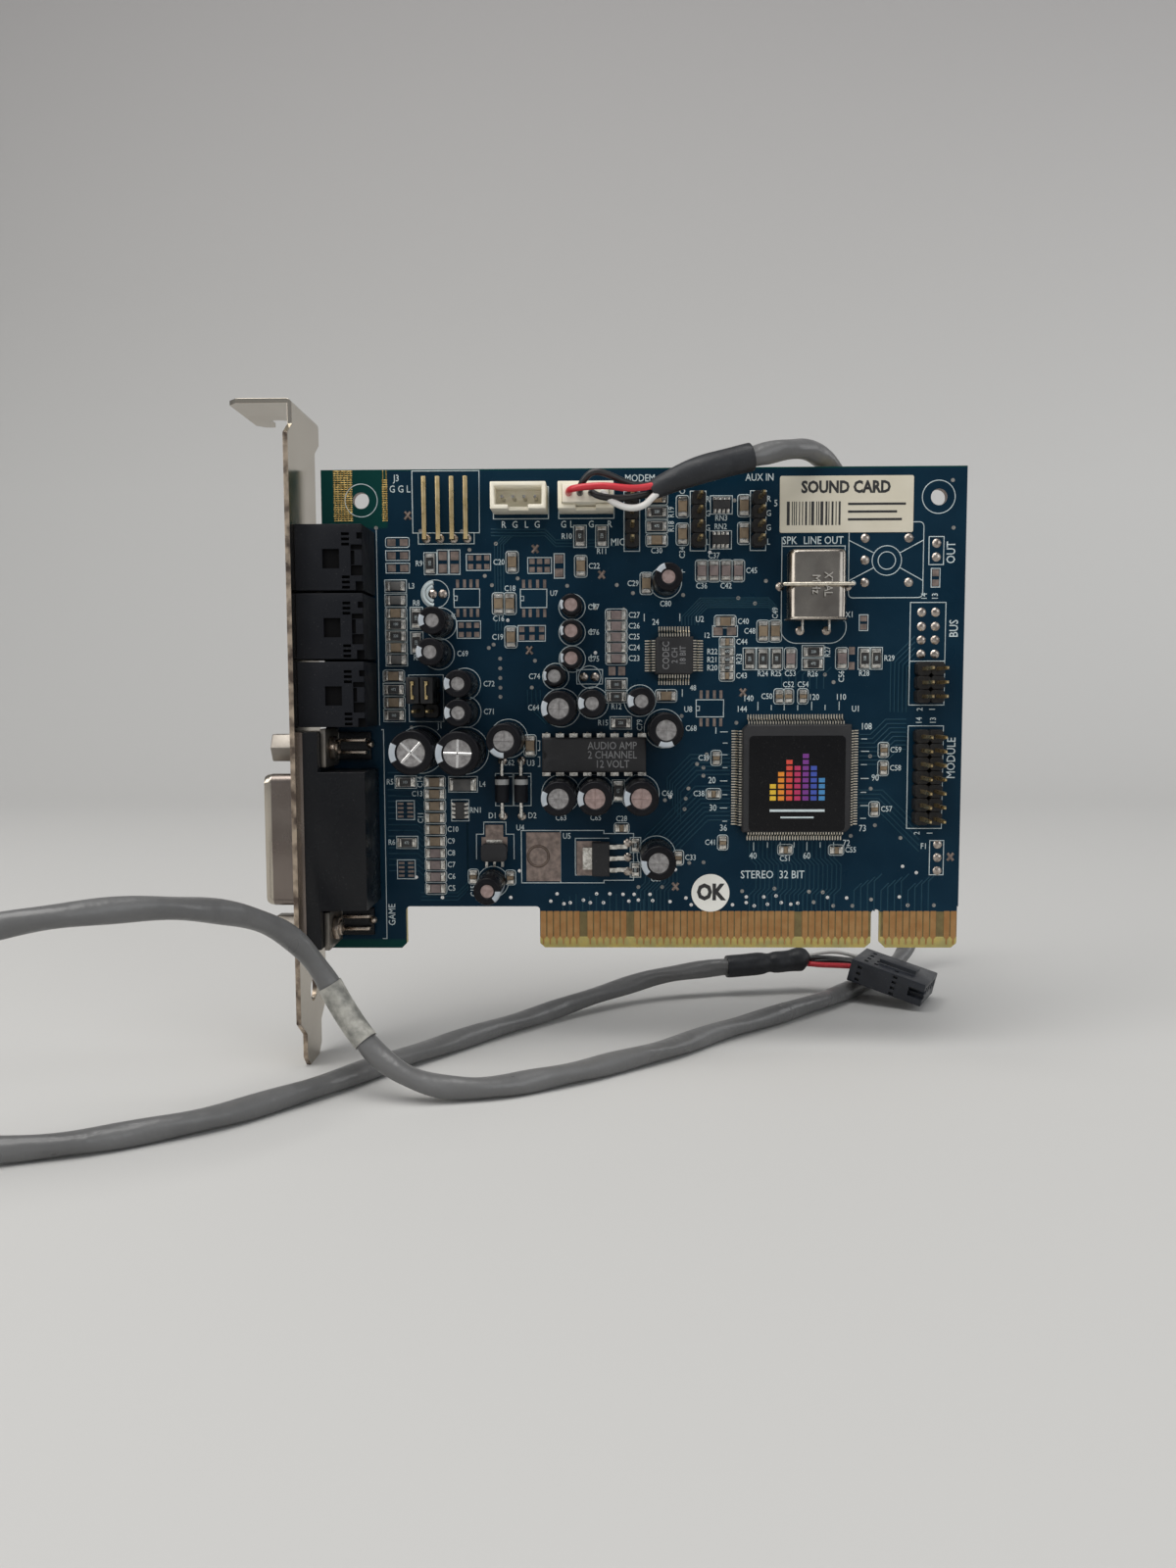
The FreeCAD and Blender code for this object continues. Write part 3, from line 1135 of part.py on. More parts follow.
def upper_sleeve_route():
    """The upper shrink sleeve, bent once, ending in line with the jacket."""
    end = CABLE_ROUTE[0]
    ahead = (CABLE_ROUTE[1] - end).normalize()
    return [UPPER_SLEEVE_MOUTH, end - ahead * UPPER_SLEEVE_BEND, end]


def lower_sleeve_end():
    """Where the lower shrink sleeve ends, in line with the jacket's last run."""
    last = CABLE_ROUTE[-1]
    return last + (last - CABLE_ROUTE[-2]).normalize() * LOWER_SLEEVE_LENGTH


def fanned(centre, end):
    """Where a wire stands after spreading out from the middle of its shrink sleeve."""
    return centre + (end - centre) * WIRE_FAN


def plug_wires():
    """Four wires from the white plug's top to the upper shrink sleeve."""
    mouth, bend, _ = upper_sleeve_route()
    axis = (bend - mouth).normalize()
    ends = ring_places(mouth, axis, WIRE_SPREAD)
    top = -AUDIO_FLOOR - PLUG_HEIGHT
    z = USED_HEADER_AT[1]
    pins = row_about(USED_HEADER_AT, AUDIO_WAYS, AUDIO_PITCH)
    wires = []
    for (x, _), (lift, rise), end in zip(pins, PLUG_WIRE_LOOPS, (ends[0], ends[1], ends[3], ends[2])):
        route = [V(x, top, z), V(x, top - lift, z), V(x + lift, top - lift, z + rise),
                 fanned(mouth, end) - axis * WIRE_STUB, end - axis * WIRE_ENTRY, end]
        wires.append(tube(route, WIRE_RADIUS)[0])
    return group(wires)


def free_plug_axes():
    forward = V(FREE_PLUG_AIM).normalize()
    side = Z_AXIS.cross(forward).normalize()
    return forward, side, forward.cross(side)


def free_wires():
    """Four wires from the lower shrink sleeve to the rear of the free plug."""
    mouth = lower_sleeve_end()
    axis = (mouth - CABLE_ROUTE[-1]).normalize()
    forward, side, _ = free_plug_axes()
    starts = ring_places(mouth, axis, WIRE_SPREAD)
    wires = []
    for number, start in enumerate((starts[1], starts[3], starts[2], starts[0])):
        end = FREE_PLUG_REAR + side * ((1.5 - number) * PIN_PITCH)
        spread = fanned(mouth, start) + axis * WIRE_STUB
        route = [start, start + axis * WIRE_ENTRY, spread, end - forward * WIRE_STUB, end]
        wires.append(tube(route, WIRE_RADIUS)[0])
    return group(wires)


def free_plug():
    """The black plug at the lead's free end: slots for four contacts and a latch rib on top."""
    half = FREE_PLUG_WIDTH / 2
    thick = FREE_PLUG_THICKNESS / 2
    body = block(0, FREE_PLUG_LENGTH, -half, half, -thick, thick - FREE_PLUG_LATCH)
    latch = block(LATCH_START, LATCH_START + LATCH_LENGTH, -LATCH_WIDTH / 2, LATCH_WIDTH / 2, 0, thick)
    plug = body.fuse(latch).removeSplitter()
    for number in range(AUDIO_WAYS):
        y = (1.5 - number) * PIN_PITCH
        plug = plug.cut(block(FREE_PLUG_LENGTH - FREE_PLUG_SLOT_DEPTH, FREE_PLUG_LENGTH,
                              y - FREE_PLUG_SLOT / 2, y + FREE_PLUG_SLOT / 2,
                              -FREE_PLUG_SLOT / 2, FREE_PLUG_SLOT / 2))
    forward, side, rise = free_plug_axes()
    turn = FreeCAD.Matrix(forward.x, side.x, rise.x, FREE_PLUG_REAR.x,
                          forward.y, side.y, rise.y, FREE_PLUG_REAR.y,
                          forward.z, side.z, rise.z, FREE_PLUG_REAR.z, 0, 0, 0, 1)
    plug.Placement = FreeCAD.Placement(turn)
    return plug


def save_board():
    save("circuit_board", circuit_board())
    save("edge_contacts_front", edge_contacts(FRONT_BLANKS, -CONTACT_THICKNESS))
    save("edge_contacts_back", edge_contacts(BACK_BLANKS, BACK))
    save("copper_pads", copper_pads())
    save("mounting_bracket", mounting_bracket())


def save_sockets():
    for name, z in zip(("upper", "middle", "lower"), JACK_CENTRES):
        save(f"audio_jack_{name}", audio_jack(z))
    save("jack_contacts", jack_contacts())
    save("game_port_shell", game_port_shell())
    save("game_port_insulator", game_port_insulator())
    save("game_port_housing", game_port_housing())
    save("game_port_contacts", game_port_contacts())
    for name, z in zip(("upper", "lower"), PORT_SCREWS):
        save(f"board_lock_{name}", board_lock(z))
        save(f"standoff_{name}", standoff(z))


def save_chips():
    save("sound_chip_body", chip_body(SOUND_CHIP_AT, SOUND_CHIP_SIDE, SOUND_CHIP_HEIGHT, CHIP_CORNER))
    save("sound_chip_leads", chip_leads(SOUND_CHIP_AT, SOUND_CHIP_SIDE, SOUND_CHIP_SPAN, SOUND_CHIP_HEIGHT,
                                        SOUND_CHIP_LEADS))
    save("sound_chip_label", sound_chip_label())
    save("codec_body", chip_body(CODEC_AT, CODEC_SIDE, CODEC_HEIGHT, CHIP_CORNER / 2))
    save("codec_leads", chip_leads(CODEC_AT, CODEC_SIDE, CODEC_SPAN, CODEC_HEIGHT, CODEC_LEADS))
    save("amplifier_body", amplifier_body())
    save("amplifier_leads", amplifier_leads())
    save("regulator_body", regulator_body())
    save("regulator_leads", regulator_leads())
    save("small_regulator_body", small_regulator_body())
    save("small_regulator_leads", small_regulator_leads())
    save("crystal_can", crystal_can())
    save("crystal_leads", crystal_leads())
    save("crystal_strap", crystal_strap())


def save_capacitors():
    sizes = [
        ("large", LARGE_CANS_AT, LARGE_CAN, LARGE_CAN_HEIGHT, (45, 135)),
        ("medium", MEDIUM_CANS_AT, MEDIUM_CAN, MEDIUM_CAN_HEIGHT, (0, 90)),
        ("small", SMALL_CANS_AT, SMALL_CAN, SMALL_CAN_HEIGHT, ()),
        ("small", MINI_CANS_AT, MINI_CAN, MINI_CAN_HEIGHT, ()),
    ]
    cans = []
    seals = []
    sleeves = {"large": [], "medium": [], "small": []}
    for name, places, diameter, height, scores in sizes:
        sleeves[name] += [capacitor_sleeve(at, diameter, height) for at in places]
        cans += [capacitor_can(at, diameter, height, scores) for at in places]
        seals += [capacitor_seal(at, diameter) for at in places]
    for name, members in sleeves.items():
        save(f"capacitor_sleeves_{name}", group(members))
    save("capacitor_cans", group(cans))
    save("capacitor_seals", group(seals))


def save_chip_components():
    capacitors = chips(CAPACITORS_FLAT, CAPACITORS_UPRIGHT, LONG_CHIP, LONG_CHIP_WIDTH)
    capacitors += chips(SHORT_CAPACITORS_FLAT, SHORT_CAPACITORS_UPRIGHT, SHORT_CHIP, SHORT_CHIP_WIDTH)
    resistors = chips(RESISTORS_FLAT, RESISTORS_UPRIGHT, LONG_CHIP, LONG_CHIP_WIDTH)
    resistors += chips(SHORT_RESISTORS_FLAT, SHORT_RESISTORS_UPRIGHT, SHORT_CHIP, SHORT_CHIP_WIDTH)
    beads = chips(BEADS_FLAT, [], LONG_CHIP, LONG_CHIP_WIDTH)
    arrays = [resistor_array(at, False) for at in ARRAYS_FLAT]
    arrays += [resistor_array(at, True) for at in ARRAYS_UPRIGHT]
    inductor = chip(INDUCTOR_AT, INDUCTOR_LENGTH, INDUCTOR_WIDTH, False, INDUCTOR_HEIGHT, CHIP_END)
    families = {
        "chip_capacitors": capacitors, "chip_resistors": resistors,
        "ferrite_inductors": beads + [inductor], "resistor_arrays": arrays,
    }
    caps = []
    for name, members in families.items():
        save(name, group([body for body, _ in members]))
        caps += [cap for _, ends in members for cap in ends]
    save("chip_end_caps", group(caps))
    save("diodes", group([diode_body(at) for at in DIODES_AT]))
    save("diode_leads", diode_leads())


def save_connectors():
    save("pin_header_bases", group([header_base(*grid) for grid in PIN_GRIDS]))
    save("pin_header_pins", group(header_pins()))
    save("angle_pins", group([angle_pin(at) for at in ANGLE_PINS]))
    shunts = [jumper_shunt(number) for number in range(BLOCK_COLUMNS)]
    save("jumper_shunts", group([shunt for shunt, _ in shunts]))
    save("shunt_clips", group([clip for _, clip in shunts]))
    save("audio_header_open", audio_header(OPEN_HEADER_AT))
    save("audio_header_used", audio_header(USED_HEADER_AT))
    save("audio_header_pins", audio_pins())
    save("board_label", slab(BOARD_LABEL_AT, BOARD_LABEL_LENGTH, BOARD_LABEL_HEIGHT, -PAPER_THICKNESS, 0))
    save("round_label", disc(ROUND_LABEL_AT, ROUND_LABEL_RADIUS, -PAPER_THICKNESS, 0))


def save_lead():
    save("white_plug", white_plug())
    save("plug_wires", plug_wires())
    save("shrink_sleeve_upper", tube(upper_sleeve_route(), SHRINK_RADIUS)[0])
    jacket, length, radii = tube(CABLE_ROUTE, CABLE_RADIUS)
    print(f"cable length {length:.1f} mm, volume ratio "
          f"{jacket.Volume / (math.pi * CABLE_RADIUS ** 2 * length):.4f}")
    print("cable bend radii", [round(radius, 1) for radius in radii])
    save("cable_jacket", jacket)
    save("shrink_sleeve_lower", rod_between(CABLE_ROUTE[-1], lower_sleeve_end(), SHRINK_RADIUS))
    save("free_wires", free_wires())
    save("free_plug", free_plug())


os.makedirs("parts", exist_ok=True)
save_board()
save_sockets()
save_chips()
save_capacitors()
save_chip_components()
save_connectors()
save_lead()
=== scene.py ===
import math
import random

import bmesh
import bpy
from mathutils import Matrix, Vector


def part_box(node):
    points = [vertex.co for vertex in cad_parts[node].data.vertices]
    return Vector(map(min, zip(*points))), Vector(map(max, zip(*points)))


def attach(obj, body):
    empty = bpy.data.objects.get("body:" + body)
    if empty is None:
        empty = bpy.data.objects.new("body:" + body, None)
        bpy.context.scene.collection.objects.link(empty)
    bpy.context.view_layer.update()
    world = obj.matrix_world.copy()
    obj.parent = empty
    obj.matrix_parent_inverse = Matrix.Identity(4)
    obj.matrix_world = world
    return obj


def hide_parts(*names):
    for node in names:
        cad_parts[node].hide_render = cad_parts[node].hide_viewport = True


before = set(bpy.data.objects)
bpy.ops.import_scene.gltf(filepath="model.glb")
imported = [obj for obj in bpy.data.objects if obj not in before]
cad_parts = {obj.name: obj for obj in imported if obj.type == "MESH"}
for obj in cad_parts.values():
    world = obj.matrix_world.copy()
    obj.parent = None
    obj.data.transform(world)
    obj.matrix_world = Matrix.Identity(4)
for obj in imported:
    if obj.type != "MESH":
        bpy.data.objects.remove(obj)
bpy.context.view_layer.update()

# Places and sizes are in millimetres: x along the board, y from its front face into it, z up
MM = 0.001
FLOOR = -20.12
BOARD_BACK = 1.57
MASK_EDGE = 7.0
CONNECTOR_HALF = 39.37
CABLE_RADIUS = 2.0
ALONG_X, ALONG_Y, ALONG_Z = (1, 0, 0), (0, 1, 0), (0, 0, 1)

# Corners closer than this, in metres, are one corner
WELD = 0.000002
# Places closer than this are level
TOUCH = 0.01
# The least share of a face's normal that counts as facing one way
FACING = 0.9

dice = random.Random(24)


# Picking things up and putting them down

def only(piece):
    """One piece selected and active, and nothing else."""
    bpy.ops.object.select_all(action="DESELECT")
    piece.select_set(True)
    bpy.context.view_layer.objects.active = piece


def spot(x, y, z):
    """A place in millimetres, in metres."""
    return Vector((x, y, z)) * MM


def shown(name, data):
    """A new object in the scene that holds the given data."""
    piece = bpy.data.objects.new(name, data)
    bpy.context.scene.collection.objects.link(piece)
    return piece


def edit(piece, pick="DESELECT"):
    """Opens a piece for editing, with all or none of it selected."""
    only(piece)
    bpy.ops.object.mode_set(mode="EDIT")
    bpy.ops.mesh.select_all(action=pick)


def leave():
    bpy.ops.object.mode_set(mode="OBJECT")


def pick_faces(piece, test):
    """Selects, in edit mode, the faces whose middle and normal pass a test."""
    bpy.ops.mesh.select_mode(type="FACE")
    skin = bmesh.from_edit_mesh(piece.data)
    for face in skin.faces:
        face.select_set(test(face.calc_center_median() / MM, face.normal))
    skin.select_flush(True)
    bmesh.update_edit_mesh(piece.data)


def pick_edges(piece, test):
    """Selects, in edit mode, the edges whose two ends pass a test."""
    bpy.ops.mesh.select_mode(type="EDGE")
    skin = bmesh.from_edit_mesh(piece.data)
    for edge in skin.edges:
        edge.select_set(test(edge.verts[0].co / MM, edge.verts[1].co / MM))
    bmesh.update_edit_mesh(piece.data)


def slice_through(place, way):
    """Cuts a line of edges, in edit mode, across the whole mesh through a place."""
    bpy.ops.mesh.select_all(action="SELECT")
    bpy.ops.mesh.bisect(plane_co=spot(*place), plane_no=way)


def anywhere(at, way):
    """A test that every face passes."""
    return True


def faces_out(at, way):
    """A test for faces that look away from the board's front."""
    return way.y < -FACING


def stands_out(a, b):
    """A test for edges square to the board."""
    return abs(a.x - b.x) < TOUCH and abs(a.z - b.z) < TOUCH


def level_at(axis, value):
    """A test for edges with both ends at one value of an axis."""
    return lambda *ends: all(abs(getattr(end, axis) - value) < TOUCH for end in ends)


def settle(piece):
    """Leaves the piece's place in its mesh and its object at the origin."""
    only(piece)
    bpy.ops.object.transform_apply(location=True, rotation=True, scale=True)
    return piece


def smooth(piece, angle=38):
    only(piece)
    bpy.ops.object.shade_smooth_by_angle(angle=math.radians(angle))
    return piece


def as_mesh(piece):
    """A curve or a text turned into a mesh."""
    only(piece)
    bpy.ops.object.convert(target="MESH")
    return piece


def reworked(piece, name, kind, **settings):
    """The piece with a modifier set and applied."""
    only(piece)
    modifier = piece.modifiers.new(name, kind)
    for setting, value in settings.items():
        setattr(modifier, setting, value)
    bpy.ops.object.modifier_apply(modifier=modifier.name)
    return piece


def eased(piece, width, segments=2, angle=35):
    """The piece's sharp edges eased with an applied bevel."""
    reworked(piece, "eased edges", "BEVEL", width=width * MM, segments=segments,
             limit_method="ANGLE", angle_limit=math.radians(angle))
    return smooth(piece)


def hollowed(piece, cutter):
    """The piece with the cutter's shape taken out of it."""
    reworked(piece, "taken out", "BOOLEAN", operation="DIFFERENCE", solver="EXACT", object=cutter)
    bpy.data.objects.remove(cutter)
    return piece


def cuboid(low, high):
    """A box between two corners, in millimetres, with its place in its mesh."""
    bpy.ops.object.select_all(action="DESELECT")
    middle = (Vector(low) + Vector(high)) / 2
    bpy.ops.mesh.primitive_cube_add(size=1, location=middle * MM)
    piece = bpy.context.object
    piece.scale = (Vector(high) - Vector(low)) * MM
    return settle(piece)


def round_bar(x, z, near, far, radius, sides=32, tip=None):
    """A round bar square to the board, or a cone with another radius at its near end."""
    bpy.ops.object.select_all(action="DESELECT")
    tip = radius if tip is None else tip
    bpy.ops.mesh.primitive_cone_add(
        vertices=sides, radius1=radius * MM, radius2=tip * MM, depth=(far - near) * MM,
        location=spot(x, (near + far) / 2, z), rotation=(math.pi / 2, 0, 0))
    return settle(bpy.context.object)


def bar_along(x0, x1, y, z, radius, sides):
    """A round bar along x."""
    bpy.ops.object.select_all(action="DESELECT")
    bpy.ops.mesh.primitive_cylinder_add(
        vertices=sides, radius=radius * MM, depth=(x1 - x0) * MM,
        location=spot((x0 + x1) / 2, y, z), rotation=(0, math.pi / 2, 0))
    return settle(bpy.context.object)


def copied(piece, shift):
    """A copy with its own mesh, moved by so many millimetres."""
    twin = piece.copy()
    twin.data = piece.data.copy()
    bpy.context.scene.collection.objects.link(twin)
    twin.data.transform(Matrix.Translation(Vector(shift) * MM))
    return twin


def stretched(piece, low, high):
    """A copy of a piece made in a one metre box, stretched between two corners in millimetres."""
    twin = copied(piece, (0, 0, 0))
    low, high = Vector(low) * MM, Vector(high) * MM
    twin.data.transform(Matrix.LocRotScale((low + high) / 2, None, high - low))
    return twin


def joined(pieces):
    bpy.ops.object.select_all(action="DESELECT")
    for piece in pieces:
        piece.select_set(True)
    bpy.context.view_layer.objects.active = pieces[0]
    if len(pieces) > 1:
        bpy.ops.object.join()
    return bpy.context.view_layer.objects.active


def repeated(piece, places):
    """The piece, made at the origin, copied to each place and joined into one."""
    twins = [copied(piece, place) for place in places]
    bpy.data.objects.remove(piece)
    return joined(twins)


def merged(node):
    """A merged copy of a CAD node that keeps its own triangles."""
    piece = shown(node + "_skin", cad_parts[node].data.copy())
    edit(piece, "SELECT")
    bpy.ops.mesh.remove_doubles(threshold=WELD)
    leave()
    bpy.ops.mesh.customdata_custom_splitnormals_clear()
    return piece


def skin_of(node):
    """A merged copy of a CAD node, with flat faces made whole."""
    piece = merged(node)
    edit(piece, "SELECT")
    bpy.ops.mesh.dissolve_limited(angle_limit=math.radians(1))
    leave()
    return piece


def welded(node):
    """A CAD node's mesh with its doubled corners made one, to be freed after use."""
    skin = bmesh.new()
    skin.from_mesh(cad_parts[node].data)
    bmesh.ops.remove_doubles(skin, verts=skin.verts, dist=WELD)
    return skin


def islands(verts):
    """The low and high corners, in millimetres, of each set of verts that edges join."""
    unseen = set(verts)
    boxes = []
    for start in verts:
        if start not in unseen:
            continue
        unseen.remove(start)
        front = [start]
        corners = []
        while front:
            vert = front.pop()
            corners.append(vert.co / MM)
            for edge in vert.link_edges:
                other = edge.other_vert(vert)
                if other in unseen:
                    unseen.remove(other)
                    front.append(other)
        boxes.append((Vector(map(min, zip(*corners))), Vector(map(max, zip(*corners)))))
    return boxes


def solids(node):
    """The low and high corners, in millimetres, of each separate solid of a CAD node."""
    skin = welded(node)
    boxes = islands(list(skin.verts))
    skin.free()
    return sorted(boxes, key=lambda box: (round(box[0].x, 2), round(box[0].z, 2), round(box[0].y, 2)))


def tails(node):
    """Where each lead of a node comes out of the board's back."""
    skin = welded(node)
    boxes = islands([vert for vert in skin.verts if vert.co.y / MM > BOARD_BACK + 0.5])
    skin.free()
    return [seat(low, high) for low, high in boxes]


def box_of(node):
    """The low and high corners, in millimetres, of a whole CAD node."""
    return [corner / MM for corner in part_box(node)]


def seat(low, high):
    """The place on the board's front under the middle of a box."""
    return ((low.x + high.x) / 2, 0, (low.z + high.z) / 2)


def dress(piece, finishes):
    """Gives a piece its finishes, in the order of the numbers that paint uses."""
    piece.data.materials.clear()
    for finish in finishes:
        piece.data.materials.append(finish)


def paint(piece, test, number):
    """Gives a finish's number to the faces whose middle and normal pass a test."""
    for face in piece.data.polygons:
        if test(face.center / MM, face.normal):
            face.material_index = number


def kept(piece, name, finishes, replaces=()):
    """Names a finished piece, gives it its finishes and lets it ride on the card."""
    piece.name = name
    piece.data.name = name
    numbers = [face.material_index for face in piece.data.polygons]
    dress(piece, finishes)
    piece.data.polygons.foreach_set("material_index", numbers)
    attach(piece, "root")
    if replaces:
        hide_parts(*replaces)
    return piece


# Effects that several finishes share

def effect(name, inputs, outputs):
    """A new node group, with the sockets that come into it and the sockets that leave it."""
    tree = bpy.data.node_groups.new(name, "ShaderNodeTree")
    for label, kind, value in inputs:
        socket = tree.interface.new_socket(label, in_out="INPUT", socket_type="NodeSocket" + kind)
        if value is not None:
            socket.default_value = value
    for label, kind in outputs:
        tree.interface.new_socket(label, in_out="OUTPUT", socket_type="NodeSocket" + kind)
    return tree, tree.nodes.new("NodeGroupInput").outputs, tree.nodes.new("NodeGroupOutput").inputs


def add_node(tree, kind, values, feeds, **settings):
    """The outputs of a new node, given its settings, its fixed values and what feeds its other sockets."""
    node = tree.nodes.new("ShaderNode" + kind)
    for setting, value in settings.items():
        setattr(node, setting, value)
    for socket, value in values.items():
        node.inputs[socket].default_value = value
    for socket, source in feeds.items():
        tree.links.new(source, node.inputs[socket])
    return node.outputs


def patchy_tone():
    """Two colours in soft patches."""
    tree, source, result = effect(
        "patchy_tone",
        [("Place", "Vector", None), ("Size", "Float", 300), ("First", "Color", None),
         ("Second", "Color", None), ("Share", "Float", 0.5)],
        [("Color", "Color")])
    cloud = add_node(tree, "TexNoise", {"Detail": 5}, {"Vector": source["Place"], "Scale": source["Size"]})
    spread = add_node(tree, "MapRange", {"From Min": 0.36, "From Max": 0.64}, {"Value": cloud["Fac"]})
    amount = add_node(tree, "Math", {}, {0: spread["Result"], 1: source["Share"]}, operation="MULTIPLY")
    mix = add_node(tree, "Mix", {}, {"Factor": amount["Value"], "A": source["First"], "B": source["Second"]},
                   data_type="RGBA")
    tree.links.new(mix["Result"], result["Color"])
    return tree


def handled_gloss():
    """A roughness that drifts between two values, with fine smears."""
    tree, source, result = effect(
        "handled_gloss",
        [("Place", "Vector", None), ("Size", "Float", 200), ("Low", "Float", 0.3), ("High", "Float", 0.5)],
        [("Roughness", "Float")])
    cloud = add_node(tree, "TexNoise", {"Detail": 6, "Distortion": 0.6},
                     {"Vector": source["Place"], "Scale": source["Size"]})
    spread = add_node(tree, "MapRange", {"From Min": 0.3, "From Max": 0.7},
                      {"Value": cloud["Fac"], "To Min": source["Low"], "To Max": source["High"]})
    tree.links.new(spread["Result"], result["Roughness"])
    return tree


def settled_dust():
    """Pale specks over a colour."""
    tree, source, result = effect(
        "settled_dust",
        [("Place", "Vector", None), ("Color", "Color", None), ("Dust", "Color", (0.42, 0.41, 0.39, 1)),
         ("Amount", "Float", 0.3)],
        [("Color", "Color")])
    specks = add_node(tree, "TexNoise", {"Scale": 2600, "Detail": 2}, {"Vector": source["Place"]})
    sieve = add_node(tree, "MapRange", {"From Min": 0.66, "From Max": 0.76}, {"Value": specks["Fac"]})
    amount = add_node(tree, "Math", {}, {0: sieve["Result"], 1: source["Amount"]}, operation="MULTIPLY")
    mix = add_node(tree, "Mix", {}, {"Factor": amount["Value"], "A": source["Color"], "B": source["Dust"]},
                   data_type="RGBA")
    tree.links.new(mix["Result"], result["Color"])
    return tree


def surface_grain():
    """The height of a fine grain, drawn out along one way where a stretch is given."""
    tree, source, result = effect(
        "surface_grain",
        [("Place", "Vector", None), ("Size", "Float", 3000), ("Stretch", "Vector", (1, 1, 1))],
        [("Height", "Float")])
    pull = add_node(tree, "VectorMath", {}, {0: source["Place"], 1: source["Stretch"]}, operation="MULTIPLY")
    cloud = add_node(tree, "TexNoise", {"Detail": 3}, {"Vector": pull["Vector"], "Scale": source["Size"]})
    tree.links.new(cloud["Fac"], result["Height"])
    return tree


PATCHY_TONE = patchy_tone()
HANDLED_GLOSS = handled_gloss()
SETTLED_DUST = settled_dust()
SURFACE_GRAIN = surface_grain()


def blank_finish(name):
    """A new material, with its tree, its shader's sockets and the place on the object."""
    finish = bpy.data.materials.new(name)
    finish.use_nodes = True
    tree = finish.node_tree
    place = tree.nodes.new("ShaderNodeTexCoord").outputs["Object"]
    return finish, tree, tree.nodes["Principled BSDF"].inputs, place


def with_effect(tree, group, feeds, **values):
    """The outputs of an effect put into a material."""
    return add_node(tree, "Group", values, feeds, node_tree=group)


def rgba(colour):
    return (*colour, 1)


def lay_on(tree, shader, place, colour, gloss, gloss_size, grain, depth, stretch=(1, 1, 1), relief=0.0001):
    """Feeds a shader its colour, its drifting gloss and its grain."""
    sheen = with_effect(tree, HANDLED_GLOSS, {"Place": place}, Size=gloss_size, Low=gloss[0], High=gloss[1])
    bumps = with_effect(tree, SURFACE_GRAIN, {"Place": place}, Size=grain, Stretch=stretch)
    bump = add_node(tree, "Bump", {"Strength": depth, "Distance": relief}, {"Height": bumps["Height"]})
    tree.links.new(colour, shader["Base Color"])
    tree.links.new(sheen["Roughness"], shader["Roughness"])
    tree.links.new(bump["Normal"], shader["Normal"])


def surface(name, first, second, patch=900, share=0.8, gloss=(0.4, 0.55), gloss_size=180, metallic=0.0,
            dust=0.0, grain=2500, depth=0.2, stretch=(1, 1, 1), relief=0.0001, specular=0.5):
    """A finish of two tones in patches, with its own gloss, dust and grain."""
    finish, tree, shader, place = blank_finish(name)
    tone = with_effect(tree, PATCHY_TONE, {"Place": place}, Size=patch, First=rgba(first),
                       Second=rgba(second), Share=share)
    colour = tone["Color"]
    if dust:
        colour = with_effect(tree, SETTLED_DUST, {"Place": place, "Color": colour}, Amount=dust)["Color"]
    lay_on(tree, shader, place, colour, gloss, gloss_size, grain, depth, stretch, relief)
    shader["Metallic"].default_value = metallic
    shader["Specular IOR Level"].default_value = specular
    return finish


def band(tree, value, edge, above=True, blur=0.25):
    """1 above an edge, in millimetres, and 0 below it, or the other way round."""
    return add_node(
        tree, "MapRange",
        {"From Min": (edge - blur) * MM, "From Max": (edge + blur) * MM,
         "To Min": 0 if above else 1, "To Max": 1 if above else 0},
        {"Value": value})["Result"]


def combine(tree, how, first, second):
    return add_node(tree, "Math", {}, {0: first, 1: second}, operation=how)["Value"]


# Where the copper plane under the mask stops: x and z beside the upper left hole and at the ear's foot,
# and z at the top margin
BARE_CORNER = (-67.2, 79.0)
BARE_EAR = (-60.0, 1.6)
BARE_MARGIN = 89.35


def solder_mask(name, field, cloud, bare):
    """Blue mask over a copper plane, green where the plane stops."""
    finish, tree, shader, place = blank_finish(name)
    axes = add_node(tree, "SeparateXYZ", {}, {"Vector": place})
    x, z = axes["X"], axes["Z"]
    corner = combine(tree, "MULTIPLY", band(tree, x, BARE_CORNER[0], False), band(tree, z, BARE_CORNER[1]))
    ear = combine(tree, "MULTIPLY", band(tree, x, BARE_EAR[0], False), band(tree, z, BARE_EAR[1], False))
    margin = band(tree, z, BARE_MARGIN, True, 0.1)
    open_field = combine(tree, "MAXIMUM", combine(tree, "MAXIMUM", corner, ear), margin)
    tone = with_effect(tree, PATCHY_TONE, {"Place": place}, Size=90, First=rgba(field), Second=rgba(cloud),
                       Share=0.8)
    mix = add_node(tree, "Mix", {"B": rgba(bare)}, {"Factor": open_field, "A": tone["Color"]},
                   data_type="RGBA")
    film = with_effect(tree, SETTLED_DUST, {"Place": place, "Color": mix["Result"]}, Amount=0.03)
    lay_on(tree, shader, place, film["Color"], gloss=(0.26, 0.42), gloss_size=120, grain=1400, depth=0.12)
    shader["Specular IOR Level"].default_value = 0.09
    return finish


# The finishes themselves

